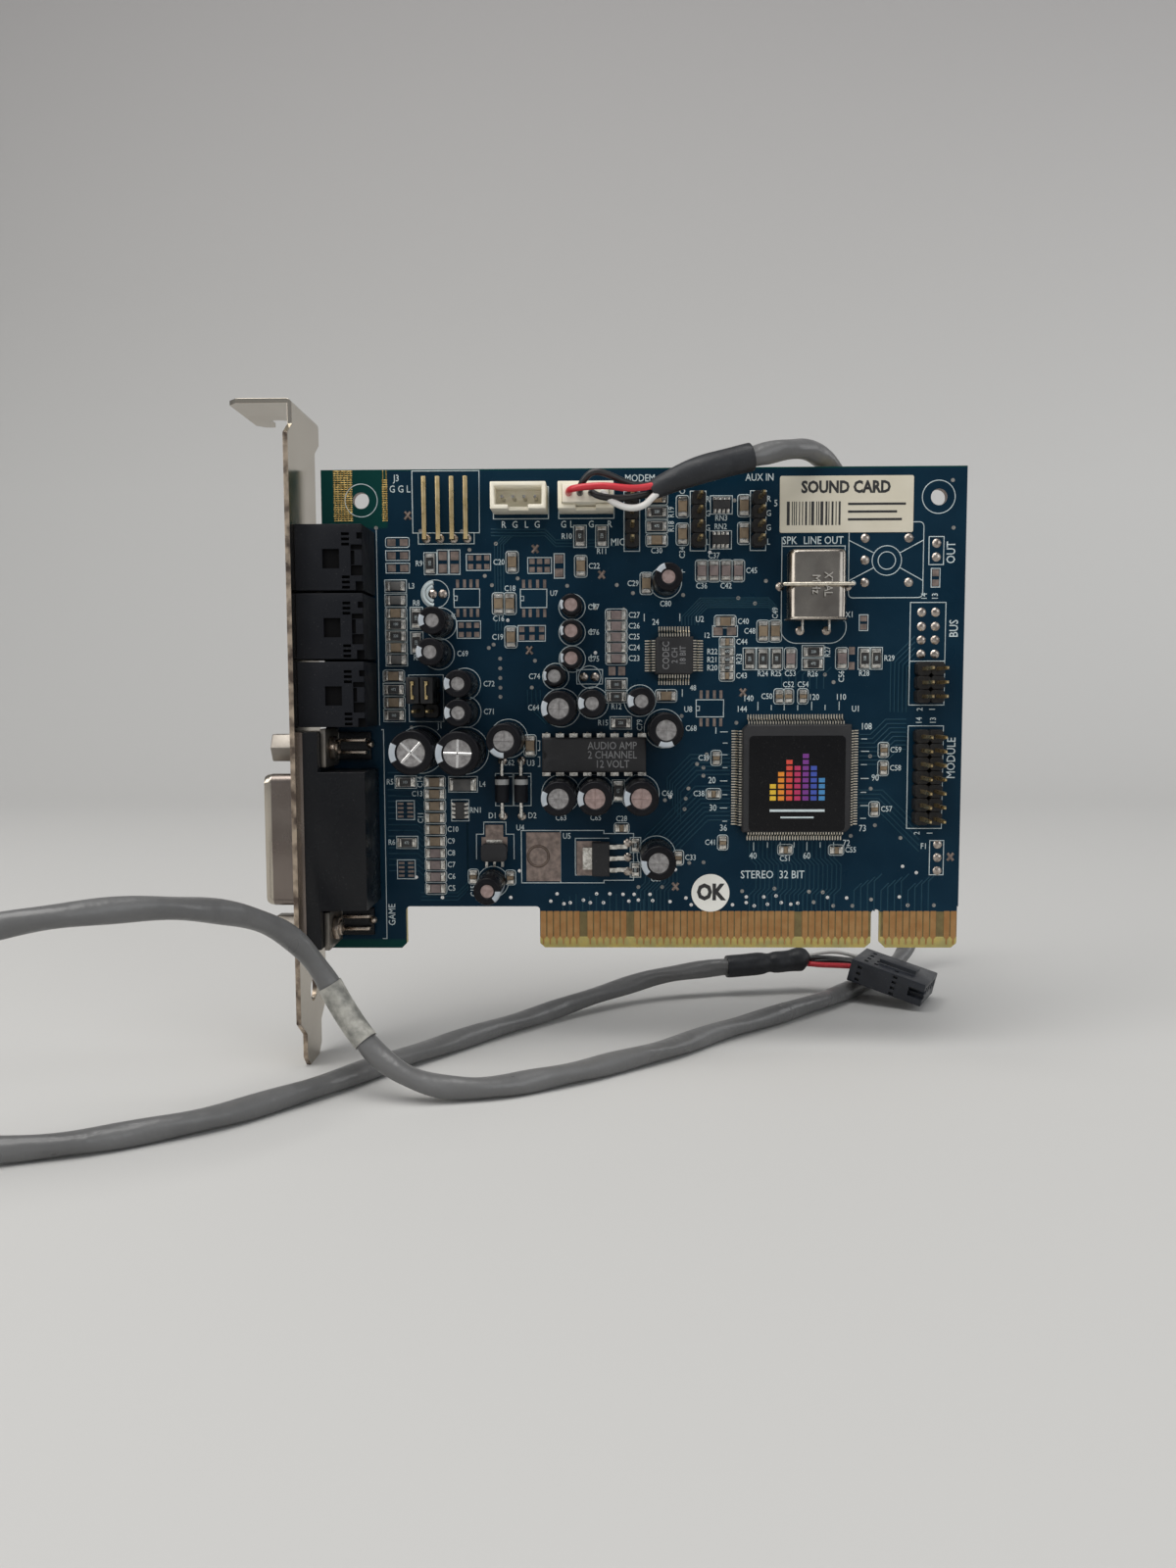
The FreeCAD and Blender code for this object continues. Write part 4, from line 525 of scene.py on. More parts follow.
BOARD_MASK = solder_mask(
    "blue_solder_mask", field=(0.0022, 0.0175, 0.035), cloud=(0.005, 0.0255, 0.047),
    bare=(0.003, 0.042, 0.038))
TRACE_MASK = solder_mask(
    "masked_copper", field=(0.012, 0.042, 0.066), cloud=(0.017, 0.053, 0.080), bare=(0.008, 0.068, 0.056))
LAMINATE = surface(
    "glass_laminate", (0.46, 0.36, 0.10), (0.34, 0.30, 0.11), patch=500, share=0.9, gloss=(0.45, 0.6),
    depth=0.3, grain=3500, stretch=(1, 1, 0.2))
FINGER_GOLD = surface(
    "worn_contact_gold", (0.37, 0.185, 0.070), (0.44, 0.25, 0.105), patch=420, share=0.9,
    gloss=(0.28, 0.44), gloss_size=700, metallic=0.8, depth=0.15, grain=6000, stretch=(1, 1, 0.08))
PAD_TIN = surface(
    "dull_tinned_copper", (0.17, 0.135, 0.12), (0.30, 0.235, 0.205), share=1.0, gloss=(0.34, 0.5),
    metallic=0.7, grain=2200, depth=0.35, stretch=(0.15, 1, 1))
BRIGHT_TIN = surface(
    "solder_tin", (0.38, 0.36, 0.325), (0.78, 0.76, 0.71), patch=1400, share=1.0, gloss=(0.16, 0.3),
    gloss_size=600, metallic=0.95, depth=0.5, grain=1600)
OLD_SOLDER = surface(
    "aged_solder", (0.24, 0.20, 0.175), (0.52, 0.465, 0.415), patch=1400, share=1.0, gloss=(0.2, 0.34),
    gloss_size=600, metallic=0.95, depth=0.5, grain=1600)
NICKEL = surface(
    "bracket_nickel", (0.51, 0.465, 0.395), (0.45, 0.405, 0.34), patch=60, gloss=(0.16, 0.28),
    gloss_size=90, metallic=1.0, depth=0.06, grain=1800, stretch=(1, 1, 0.06), dust=0.06)
# The port's shell: nickel painted darker, as a painted dark reflection
SHELL_DARK_REFLECTION = surface(
    "shell_nickel_painted_dark_reflection", (0.17, 0.137, 0.12), (0.24, 0.208, 0.187), patch=70, share=0.9, gloss=(0.2, 0.32),
    gloss_size=120, metallic=1.0, depth=0.08)
POST_NICKEL = surface(
    "post_nickel", (0.22, 0.20, 0.175), (0.29, 0.265, 0.235), patch=300, gloss=(0.34, 0.46), gloss_size=300,
    metallic=0.9, depth=0.15)
# The bracket's cut edge: a dark coppery tone of its own, with bright patches that are painted glints
CUT_EDGE_AND_GLINTS = surface(
    "coppery_cut_edge_painted_glints", (0.12, 0.092, 0.076), (0.54, 0.44, 0.34), patch=480, share=1.0, gloss=(0.26, 0.44),
    gloss_size=600, metallic=0.9, depth=0.7, grain=1500, stretch=(1, 1, 0.5))
LOCK_BRASS = surface(
    "plated_lock_brass", (0.40, 0.32, 0.26), (0.62, 0.54, 0.46), patch=500, share=0.9, gloss=(0.2, 0.36),
    gloss_size=500, metallic=1.0, depth=0.15)
JACK_BLACK = surface(
    "jack_moulding", (0.0055, 0.0065, 0.0095), (0.010, 0.011, 0.0145), patch=120, share=0.7,
    gloss=(0.42, 0.56), gloss_size=150, dust=0.06, depth=0.35, grain=2600, specular=0.18)
# Painted shade for the floors of a jack's pressed hollows
RECESS_SHADE = surface(
    "shaded_recess", (0.002, 0.002, 0.0025), (0.003, 0.003, 0.0035), patch=200, share=0.7, gloss=(0.6, 0.7),
    specular=0.08)
PORT_BLACK = surface(
    "port_moulding", (0.0055, 0.006, 0.0075), (0.010, 0.0105, 0.012), patch=90, share=0.7,
    gloss=(0.22, 0.36), gloss_size=120, dust=0.06, depth=0.25, grain=2400, specular=0.22)
HEADER_BLACK = surface(
    "header_moulding", (0.008, 0.008, 0.009), (0.015, 0.0145, 0.0145), patch=300, share=0.7, dust=0.05,
    depth=0.25, specular=0.3)
CHIP_EPOXY = surface(
    "chip_epoxy", (0.020, 0.020, 0.022), (0.028, 0.028, 0.030), patch=200, share=0.7, gloss=(0.48, 0.6),
    gloss_size=140, dust=0.06, depth=0.3, grain=4200, specular=0.3)
CHIP_PRINT = surface("chip_marking", (0.17, 0.17, 0.175), (0.22, 0.22, 0.225), gloss=(0.5, 0.6), depth=0.1)
LEAD_TIN = surface(
    "plated_leads", (0.58, 0.53, 0.44), (0.80, 0.74, 0.63), patch=1200, share=0.9, gloss=(0.22, 0.36),
    gloss_size=800, metallic=0.95)
PIN_GOLD = surface(
    "gilt_pins", (0.56, 0.42, 0.20), (0.66, 0.53, 0.31), patch=600, gloss=(0.22, 0.38), gloss_size=600,
    metallic=0.95, depth=0.15)
MESH_GILT = surface(
    "gilt_mesh", (0.24, 0.15, 0.04), (0.70, 0.50, 0.18), patch=1300, share=1.0, gloss=(0.2, 0.34),
    gloss_size=600, metallic=0.9, depth=0.4, grain=1800)
CRYSTAL_NICKEL = surface(
    "crystal_can_nickel", (0.24, 0.215, 0.19), (0.36, 0.33, 0.29), patch=160, share=0.9, gloss=(0.16, 0.28),
    gloss_size=240, metallic=1.0, depth=0.14, grain=1500, stretch=(1, 1, 0.1))
SLEEVE_BLACK = surface(
    "capacitor_sleeve", (0.006, 0.006, 0.0075), (0.011, 0.011, 0.013), patch=220, share=0.7,
    gloss=(0.2, 0.34), gloss_size=200, dust=0.02, depth=0.1, specular=0.12)
SLEEVE_STRIPE = surface(
    "sleeve_stripe", (0.36, 0.40, 0.44), (0.44, 0.47, 0.50), patch=600, gloss=(0.26, 0.4), depth=0.1)
CAN_LOOK = dict(patch=1300, share=1.0, gloss=(0.36, 0.52), gloss_size=600, metallic=0.6, depth=0.5,
                grain=3600, stretch=(1, 1, 0.25))
CAN_ALUMINIUM = surface("can_aluminium", (0.21, 0.20, 0.20), (0.35, 0.34, 0.335), **CAN_LOOK)
CAN_ROSY = surface("rosy_can_top", (0.28, 0.205, 0.19), (0.40, 0.30, 0.28), **CAN_LOOK)
# Near-white metal: a painted highlight along the widest cans' creases, and the bare tin of the open holes'
# rims
SCORE_HIGHLIGHT_AND_BARE_TIN = surface(
    "score_highlight_and_bare_tin", (0.74, 0.73, 0.72), (0.84, 0.83, 0.82), share=0.6, gloss=(0.2, 0.3), metallic=0.9,
    depth=0.1)
SEAL_RUBBER = surface(
    "rubber_seal", (0.015, 0.015, 0.015), (0.025, 0.025, 0.025), patch=400, share=0.7, gloss=(0.6, 0.75),
    depth=0.3)
HOLE_MASK = surface("masked_hole_rim", (0.15, 0.15, 0.145), (0.32, 0.305, 0.28), gloss=(0.3, 0.45))
RING_BROWN = surface("heat_pad_ring", (0.13, 0.095, 0.08), (0.19, 0.145, 0.12), metallic=0.6)
METER_TONES = {
    "yellow": (0.66, 0.42, 0.03), "orange": (0.66, 0.22, 0.02), "red": (0.58, 0.06, 0.04),
    "rose": (0.42, 0.025, 0.10), "violet": (0.16, 0.03, 0.22), "blue": (0.04, 0.07, 0.34),
    "sky": (0.05, 0.20, 0.42),
}
METER_INKS = [
    surface("meter_ink_" + name, tone, [share * 1.15 for share in tone], patch=700, share=0.7,
            gloss=(0.18, 0.3), depth=0.05)
    for name, tone in METER_TONES.items()]
CERAMIC_WHITE = surface("resistor_ceramic", (0.50, 0.48, 0.44), (0.58, 0.56, 0.52), patch=600)
DIODE_BAND = surface(
    "diode_band", (0.34, 0.34, 0.34), (0.42, 0.42, 0.41), patch=500, gloss=(0.35, 0.5), metallic=0.3)
# Painted shade: the bare laminate between the gold fingers, darkened
FINGER_GAP_SHADE = surface("finger_gap_painted_shade", (0.115, 0.082, 0.026), (0.165, 0.125, 0.042), patch=600, gloss=(0.45, 0.6))
CRYSTAL_PRINT = surface(
    "crystal_print", (0.31, 0.295, 0.27), (0.40, 0.38, 0.35), gloss=(0.4, 0.5), depth=0.1)
CERAMIC_TAN = surface(
    "tan_chip_ceramic", (0.17, 0.125, 0.08), (0.25, 0.19, 0.125), patch=700, share=0.9, gloss=(0.28, 0.42))
CERAMIC_GREY = surface(
    "mauve_chip_ceramic", (0.16, 0.125, 0.12), (0.23, 0.18, 0.17), patch=700, share=0.9, gloss=(0.28, 0.42))
RESISTOR_BLACK = surface(
    "resistor_glaze", (0.020, 0.020, 0.021), (0.035, 0.034, 0.033), patch=600, gloss=(0.25, 0.4))
FERRITE_GREY = surface(
    "ferrite_bead", (0.07, 0.07, 0.068), (0.11, 0.105, 0.10), patch=700, gloss=(0.45, 0.6), depth=0.3)
# Painted light: the inside of the open header's well, paler than the nylon outside
NYLON_PAINTED_LIGHT = surface(
    "cream_nylon_inside_painted_light", (0.90, 0.85, 0.71), (0.94, 0.90, 0.78), patch=160, gloss=(0.5, 0.6), depth=0.1)
CREAM_NYLON = surface(
    "cream_nylon", (0.82, 0.765, 0.62), (0.88, 0.835, 0.715), patch=160, gloss=(0.34, 0.48), gloss_size=160,
    dust=0.05, depth=0.12)
LABEL_PAPER = surface(
    "cream_label", (0.59, 0.545, 0.435), (0.64, 0.595, 0.49), patch=140, gloss=(0.42, 0.55), gloss_size=200,
    dust=0.04, depth=0.12, grain=1800)
ROUND_PAPER = surface(
    "round_label_paper", (0.78, 0.77, 0.71), (0.83, 0.82, 0.77), patch=160, gloss=(0.42, 0.55),
    gloss_size=200, dust=0.03, depth=0.1, grain=1800)
LABEL_INK = surface(
    "label_ink", (0.012, 0.012, 0.014), (0.03, 0.03, 0.03), share=0.6, gloss=(0.4, 0.5), depth=0.05)
LABEL_FILM = surface(
    "glossy_label_film", (0.003, 0.003, 0.004), (0.005, 0.005, 0.006), patch=150, share=0.7,
    gloss=(0.14, 0.26), gloss_size=110, dust=0.03, depth=0.05, specular=0.2)
SILK_WHITE = surface(
    "board_print", (0.48, 0.56, 0.58), (0.58, 0.65, 0.66), patch=800, share=0.9, gloss=(0.5, 0.62))
CABLE_GREY = surface(
    "cable_jacket_grey", (0.118, 0.118, 0.118), (0.142, 0.142, 0.142), patch=110, gloss=(0.26, 0.38),
    gloss_size=90, dust=0.05, depth=0.8, grain=170, relief=0.0007)
SHRINK_GREY = surface(
    "shrink_sleeve_skin", (0.014, 0.015, 0.018), (0.024, 0.026, 0.030), patch=160, share=0.9,
    gloss_size=160, dust=0.06, depth=0.7, grain=420, relief=0.0003, specular=0.35)
WIRE_RED = surface(
    "red_insulation", (0.52, 0.018, 0.030), (0.60, 0.03, 0.045), patch=260, gloss=(0.26, 0.4), depth=0.1)
WIRE_BLACK = surface(
    "black_insulation", (0.010, 0.010, 0.011), (0.018, 0.018, 0.019), patch=260, gloss=(0.28, 0.42),
    depth=0.1)
WIRE_WHITE = surface(
    "white_insulation", (0.70, 0.69, 0.66), (0.78, 0.77, 0.74), patch=260, gloss=(0.28, 0.42), depth=0.1)
TAPE_WORN = surface(
    "worn_pale_tape", (0.16, 0.16, 0.145), (0.42, 0.41, 0.37), patch=420, share=1.0, gloss=(0.4, 0.6),
    gloss_size=300, dust=0.2, depth=0.6, grain=900)
PLUG_BLACK = surface(
    "free_plug_moulding", (0.017, 0.020, 0.027), (0.030, 0.034, 0.044), patch=160, share=0.7,
    gloss=(0.32, 0.48), dust=0.1, depth=0.25)


# The camera, at the photograph's place, and the stage

SENSOR = 36
FOCAL_PIXELS, PICTURE_HEIGHT = 1167.2, 1600
CAMERA_PLACE = (-26.21, -214.50, 48.09)
CAMERA_TURN = (85.52, 0.20, 1.04)
# Metres: the paper's width and depth, the wall's height and the round between floor and wall
SWEEP_WIDE, SWEEP_DEEP, WALL_HIGH, WALL_ROUND = 7, 3.2, 2.6, 0.5
# Each lamp's place, aim and size in metres, its power and its tint
LAMPS = (
    ("overhead_softbox", (-0.25, -0.35, 1.1), (-0.02, 0, 0.03), 0.9, 11, (1, 0.985, 0.96)),
    ("left_softbox", (-0.95, -0.55, 0.55), (-0.02, 0, 0.04), 0.7, 4.2, (1, 0.97, 0.93)),
    ("right_fill", (0.8, -0.75, 0.45), (0, 0, 0.04), 0.7, 2.3, (0.95, 0.98, 1)),
    ("wall_wash", (1.1, 0.15, 0.5), (0.7, 1.0, 0.25), 0.6, 3.5, (1, 1, 1)),
)


def photographer():
    lens = bpy.data.cameras.new("photograph")
    lens.sensor_width = SENSOR
    lens.lens = SENSOR * FOCAL_PIXELS / PICTURE_HEIGHT
    lens.clip_start = 0.005
    lens.clip_end = 20
    camera = shown("photograph", lens)
    camera.location = spot(*CAMERA_PLACE)
    camera.rotation_euler = [math.radians(turn) for turn in CAMERA_TURN]
    bpy.context.scene.camera = camera


def studio_paper():
    """Pale paper, with painted shade that makes it a little darker towards the top of the wall."""
    finish, tree, shader, place = blank_finish("studio_paper")
    axes = add_node(tree, "SeparateXYZ", {}, {"Vector": place})
    tones = {"A": rgba((0.537, 0.533, 0.522)), "B": rgba((0.43, 0.419, 0.415))}
    # Painted shade: the wall darkens with height
    high = band(tree, axes["Z"], 500, True, 250)
    tone = add_node(tree, "Mix", tones, {"Factor": high}, data_type="RGBA")
    tree.links.new(tone["Result"], shader["Base Color"])
    shader["Roughness"].default_value = 0.75
    shader["Specular IOR Level"].default_value = 0.2
    return finish


def studio_sweep():
    """Paper on the floor that curves up into a wall behind the card."""
    bpy.ops.object.select_all(action="DESELECT")
    bpy.ops.mesh.primitive_plane_add(size=1, location=(0, -0.6, FLOOR * MM))
    sweep = bpy.context.object
    sweep.scale = (SWEEP_WIDE, SWEEP_DEEP, 1)
    settle(sweep)
    edit(sweep)
    far = max(vert.co.y for vert in sweep.data.vertices) / MM
    pick_edges(sweep, lambda a, b: min(a.y, b.y) > far - 1)
    bpy.ops.mesh.extrude_region_move(TRANSFORM_OT_translate={"value": (0, 0, WALL_HIGH)})
    pick_edges(sweep, lambda a, b: min(a.y, b.y) > far - 1 and max(a.z, b.z) < FLOOR + 1)
    bpy.ops.mesh.bevel(offset=WALL_ROUND, segments=18)
    leave()
    smooth(sweep, 60)
    sweep.name = "studio_sweep"
    dress(sweep, [studio_paper()])


def studio_light():
    world = bpy.data.worlds.new("studio_air")
    world.use_nodes = True
    air = world.node_tree.nodes["Background"].inputs
    air["Color"].default_value = (0.93, 0.96, 1.0, 1)
    air["Strength"].default_value = 0.32
    bpy.context.scene.world = world
    for name, place, aim, size, power, tint in LAMPS:
        light = bpy.data.lights.new(name, "AREA")
        light.size = size
        light.energy = power
        light.color = tint
        lamp = shown(name, light)
        lamp.location = place
        lamp.rotation_euler = (Vector(aim) - Vector(place)).to_track_quat("-Z", "Y").to_euler()
    bpy.context.scene.view_settings.view_transform = "Standard"


photographer()
studio_sweep()
studio_light()


# The audio lead

CABLE_ROUTE = [
    (-1.8, -7.4, 89.7), (4.5, -6.0, 91.6), (12.5, 1.0, 93.0), (20.2, 10.3, 86.0), (24.0, 17.0, 73.0),
    (28.5, 25.0, 58.5), (34.0, 35.5, 45.5), (40.5, 47.5, 33.5), (46.5, 59.5, 23.5), (51.8, 70.6, 14.5),
    (53.2, 72.4, 3.7), (51.4, 70.0, -6.9), (46.8, 63.9, -14.8), (40.5, 55.5, -18.1), (29.0, 40.0, -18.1),
    (14.0, 23.3, -18.1), (-2.8, 8.6, -18.1), (-16.0, -5.5, -18.1), (-29.6, -16.2, -18.1),
    (-41.0, -24.0, -18.1), (-53.0, -28.0, -18.1), (-63.0, -27.8, -14.6), (-70.0, -24.8, -7.6),
    (-75.4, -23.8, 2.0), (-80.0, -28.3, 9.4), (-85.3, -38.5, 14.4), (-93.0, -49.5, 17.2),
    (-105.0, -57.5, 17.4), (-118.0, -61.5, 15.0), (-128.5, -62.8, 7.5), (-132.5, -61.8, -4.0),
    (-128.0, -58.8, -14.0), (-117.0, -54.6, -18.1), (-103.0, -49.6, -18.1), (-89.0, -41.0, -18.1),
    (-77.0, -28.0, -18.1), (-66.0, -12.5, -18.1), (-53.0, 3.5, -18.1), (-39.5, 19.5, -18.1),
    (-26.0, 32.0, -16.6), (-11.77, 39.13, -14.12), (1.0, 41.3, -13.5),
]
# How far the jacket turns between two of those points, in radians, and its thickness over its width
JACKET_TURN, JACKET_FLATNESS = 2.6, 0.87
WIRE_RADIUS, SLEEVE_RADIUS = 0.6, 2.5
# The stretch of the lead, in metres, that the tape covers
TAPE_LOW, TAPE_HIGH = (-0.0775, -0.03, -0.011), (-0.067, 0, -0.0005)
TAPE_STANDS, TAPE_WALL = 0.16, 0.12
# The free plug's way, the place its windows are measured from and the step between its contacts
PLUG_WAY, PLUG_PLACE, PLUG_STEP = (0.863, -0.444, -0.244), (29.5, 39.8, -12.0), 2.54


def soft_line(name, route, radius, sides=4):
    """A round line on one smooth open spline with the given control points, in millimetres."""
    curve = bpy.data.curves.new(name, "CURVE")
    curve.dimensions = "3D"
    curve.bevel_depth = 1
    curve.bevel_resolution = sides
    curve.resolution_u = 10
    curve.use_fill_caps = True
    spline = curve.splines.new("NURBS")
    spline.points.add(len(route) - 1)
    for point, place in zip(spline.points, route):
        point.co = (*spot(*place), 1)
        point.radius = radius * MM
    spline.order_u = 3
    spline.use_endpoint_u = True
    return shown(name, curve)


def points_along(line):
    """The line's own points, read from its spline with no thickness."""
    depth = line.data.bevel_depth
    line.data.bevel_depth = 0
    bpy.context.view_layer.update()
    bare = bpy.data.meshes.new_from_object(line.evaluated_get(bpy.context.evaluated_depsgraph_get()))
    line.data.bevel_depth = depth
    places = [vert.co.copy() for vert in bare.vertices]
    bpy.data.meshes.remove(bare)
    return places


def twisted_cable():
    """The jacket, drawn tight over its twisted wires: a slightly flat round that turns along the line."""
    line = soft_line("grey_audio_cable", CABLE_ROUTE, CABLE_RADIUS)
    middle = points_along(line)
    for number, point in enumerate(line.data.splines[0].points):
        point.tilt = JACKET_TURN * number
    bpy.ops.object.select_all(action="DESELECT")
    bpy.ops.curve.primitive_bezier_circle_add(radius=1)
    section = bpy.context.object
    section.data.transform(Matrix.Diagonal((1, JACKET_FLATNESS, 1, 1)))
    section.data.resolution_u = 6
    line.data.bevel_mode = "OBJECT"
    line.data.bevel_object = section
    as_mesh(line)
    bpy.data.objects.remove(section)
    return smooth(line, 60), middle


cable, cable_middle = twisted_cable()
kept(cable, "grey_audio_cable", [CABLE_GREY], ["cable_jacket"])


def skinned_line(name, route, radius, swell=(), sides=4):
    """A soft line made into a mesh, thinner or thicker at its points where a swell is given."""
    line = soft_line(name, route, radius, sides)
    for point, share in zip(line.data.splines[0].points, swell):
        point.radius *= share
    return smooth(as_mesh(line), 60)


def wire_set(name, routes, replaces):
    """Four thin wires in red, black and white, joined into one piece."""
    colours = [WIRE_RED, WIRE_BLACK, WIRE_WHITE]
    wires = []
    for number, route in routes:
        wire = skinned_line(name, route, WIRE_RADIUS, sides=3)
        dress(wire, colours)
        paint(wire, anywhere, number)
        wires.append(wire)
    return kept(joined(wires), name, colours, replaces)


wire_set("header_wires", (
    (0, [(-33.28, -8.3, 83.69), (-33.3, -11.6, 83.7), (-31.2, -12.9, 83.9), (-27.0, -13.0, 84.2),
         (-22.5, -12.2, 83.7), (-19.6, -11.2, 84.1), (-17.2, -10.5, 84.8)]),
    (1, [(-31.28, -8.3, 83.69), (-31.3, -10.6, 83.9), (-30.8, -12.0, 85.0), (-28.9, -12.3, 86.9),
         (-26.0, -11.8, 86.2), (-23.2, -10.8, 85.0), (-20.4, -9.8, 84.5), (-17.2, -9.1, 84.9)]),
    (1, [(-29.28, -8.3, 83.69), (-29.3, -10.4, 83.6), (-28.0, -11.2, 82.6), (-24.6, -11.0, 82.2),
         (-21.2, -10.2, 82.7), (-17.0, -9.2, 83.6)]),
    (2, [(-27.28, -8.3, 83.69), (-27.2, -10.4, 83.4), (-25.6, -11.2, 81.6), (-22.6, -11.2, 80.4),
         (-19.9, -11.0, 80.9), (-18.4, -10.9, 82.6), (-16.8, -10.4, 83.9)]),
), ["plug_wires"])

free_wires = wire_set("free_end_wires", (
    (2, [(18.0, 44.3, -11.9), (21.5, 44.4, -10.9), (25.5, 44.0, -10.5), (28.6, 43.6, -11.1),
         (31.9, 42.9, -12.2)]),
    (1, [(18.0, 44.0, -12.3), (22.0, 43.6, -12.0), (25.8, 42.4, -12.0), (30.8, 40.6, -12.2)]),
    (1, [(18.0, 44.2, -13.2), (22.0, 43.4, -12.8), (25.4, 41.2, -12.0), (29.6, 38.4, -12.2)]),
    (0, [(18.0, 43.7, -13.3), (21.2, 42.4, -13.4), (24.2, 39.6, -12.8), (28.4, 36.1, -12.2)]),
), ["free_wires"])

upper_sleeve = skinned_line(
    "upper_shrink_sleeve",
    [(-18.6, -10.0, 83.6), (-18.0, -10.0, 84.0), (-15.6, -9.7, 85.2), (-12.4, -9.3, 86.6), (-9.3, -8.8, 87.7),
     (-5.0, -8.0, 88.9), (-1.5, -7.35, 89.8), (-0.9, -7.24, 89.95)],
    SLEEVE_RADIUS, (0.6, 0.72, 0.8, 0.93, 1.0, 0.97, 1.02, 1.0), 8)
kept(upper_sleeve, "upper_shrink_sleeve", [SHRINK_GREY], ["shrink_sleeve_upper"])

lower_sleeve = skinned_line(
    "lower_shrink_sleeve",
    [(0.3, 41.2, -13.5), (0.9, 41.3, -13.5), (4.0, 41.8, -13.35), (8.3, 42.6, -13.1), (10.0, 42.9, -13.0),
     (11.4, 43.1, -12.95), (14.8, 43.7, -12.8), (16.8, 44.0, -12.5), (18.2, 44.2, -12.4),
     (19.0, 44.4, -12.6)],
    SLEEVE_RADIUS, (0.98, 1.02, 1.0, 1.04, 0.8, 1.0, 0.94, 1.1, 1.06, 0.62), 8)
kept(lower_sleeve, "lower_shrink_sleeve", [SHRINK_GREY], ["shrink_sleeve_lower"])


def worn_tape():
    """Old tape wrapped round the cable where it rises past the bracket."""
    stretch = [place for place in cable_middle
               if all(low < value < high for low, value, high in zip(TAPE_LOW, place, TAPE_HIGH))]
    curve = bpy.data.curves.new("cable_tape", "CURVE")
    curve.dimensions = "3D"
    curve.bevel_depth = (CABLE_RADIUS + TAPE_STANDS) * MM
    curve.bevel_resolution = 6
    spline = curve.splines.new("POLY")
    spline.points.add(len(stretch) - 1)
    for point, place in zip(spline.points, stretch):
        point.co = (*place, 1)
    tape = as_mesh(shown("cable_tape", curve))
    reworked(tape, "film", "SOLIDIFY", thickness=TAPE_WALL * MM, offset=-1)
    return kept(smooth(tape, 50), "cable_tape", [TAPE_WORN])


def latch_windows():
    """The boxes of the free plug's windows, along its way, across it and up: two corners each."""
    windows = []
    for number in range(4):
        across = (1.5 - number) * PLUG_STEP - 0.5
        windows += [((along, across, 1.5), (along + 0.9, across + 1.0, 2.4)) for along in (2.2, 4.4, 9.0)]
    for along, heights in ((1.6, (-2.0, -0.6, 0.8)), (9.4, (-2.4, -1.1, 0.2, 1.4))):
        windows += [((along, -6.8, up - 0.3), (along + 1.0, -5.5, up + 0.3)) for up in heights]
    return windows + [((13.2, -6.8, -1.5), (17.0, -4.4, 0.5))]


def free_end_plug():
    """The black plug, its edges eased and small windows pressed into its top and its side."""
    piece = eased(skin_of("free_plug"), 0.22)
    forward = Vector(PLUG_WAY).normalized()
    side = Vector(ALONG_Z).cross(forward).normalized()
    turn = Matrix((forward, side, forward.cross(side))).transposed().to_4x4()
    turn.translation = spot(*PLUG_PLACE)
    for low, high in latch_windows():
        window = cuboid(low, high)
        window.data.transform(turn)
        piece = hollowed(piece, window)
    return kept(smooth(piece), "free_end_plug", [PLUG_BLACK], ["free_plug"])


tape = worn_tape()
plug = free_end_plug()


# The board

# Well within the left, right and upper edges, where only holes have walls
BOARD_INSIDE = (-78.0, 38.5, 88.5)
# Below this the connector's edge is bevelled and bare, and above it the bare gaps between the fingers are
# darkened as painted shade
BEVEL_TOP = 2.2
# How far the bare edge reaches past the connector, and the fingers up under the mask
EDGE_MARGIN, FINGER_LAP = 0.3, 0.1
# Half the width and the length of a finger's thin tail
TAIL_HALF, TAIL_LENGTH = 0.16, 1.1


def printed_board():
    board = merged("circuit_board")
    edit(board)
    slice_through((0, 0, MASK_EDGE), ALONG_Z)
    slice_through((0, 0, BEVEL_TOP), ALONG_Z)
    leave()

    def on_connector(at):
        return at.z < MASK_EDGE and abs(at.x) < CONNECTOR_HALF + EDGE_MARGIN

    def in_upper_hole(at):
        left, right, top = BOARD_INSIDE
        return left < at.x < right and 60 < at.z < top

    paint(board, lambda at, way: abs(way.y) < FACING or on_connector(at), 1)
    # The gaps between the fingers get painted shade
    paint(board, lambda at, way: abs(way.y) > FACING and on_connector(at) and at.z > BEVEL_TOP, 2)
    paint(board, lambda at, way: abs(way.y) < FACING and in_upper_hole(at), 3)
    return kept(smooth(board, 30), "printed_board", [BOARD_MASK, LAMINATE, FINGER_GAP_SHADE, PAD_TIN],
                ["circuit_board"])


def finger(wide, near, far, tall):
    """One gold finger with a rounded foot, and the thin tail that it was plated through."""
    pad = cuboid((-wide / 2, near, 0), (wide / 2, far, tall))
    edit(pad)
    pick_edges(pad, lambda a, b: abs(a.z) < TOUCH and abs(b.z) < TOUCH and abs(a.x - b.x) < TOUCH)
    bpy.ops.mesh.bevel(offset=wide * 0.46 * MM, segments=4)
    leave()
    tail = cuboid((-TAIL_HALF, near + 0.01, -TAIL_LENGTH), (TAIL_HALF, far - 0.01, 0.2))
    edit(tail)
    pick_faces(tail, lambda at, way: way.z < -FACING)
    bpy.ops.transform.resize(value=(0.7, 1, 1), center_override=spot(0, (near + far) / 2, -TAIL_LENGTH))
    leave()
    return joined([pad, tail])


def edge_fingers(side):
    boxes = solids("edge_contacts_" + side)
    low, high = boxes[0]
    pattern = finger(high.x - low.x, low.y, high.y, MASK_EDGE + FINGER_LAP - low.z)
    fingers = repeated(pattern, [((low.x + high.x) / 2, 0, low.z) for low, high in boxes])
    kept(smooth(fingers, 30), "edge_fingers_" + side, [FINGER_GOLD],
         ["edge_contacts_" + side])


printed_board()
edge_fingers("front")
edge_fingers("back")


# The bracket, the jacks and the port

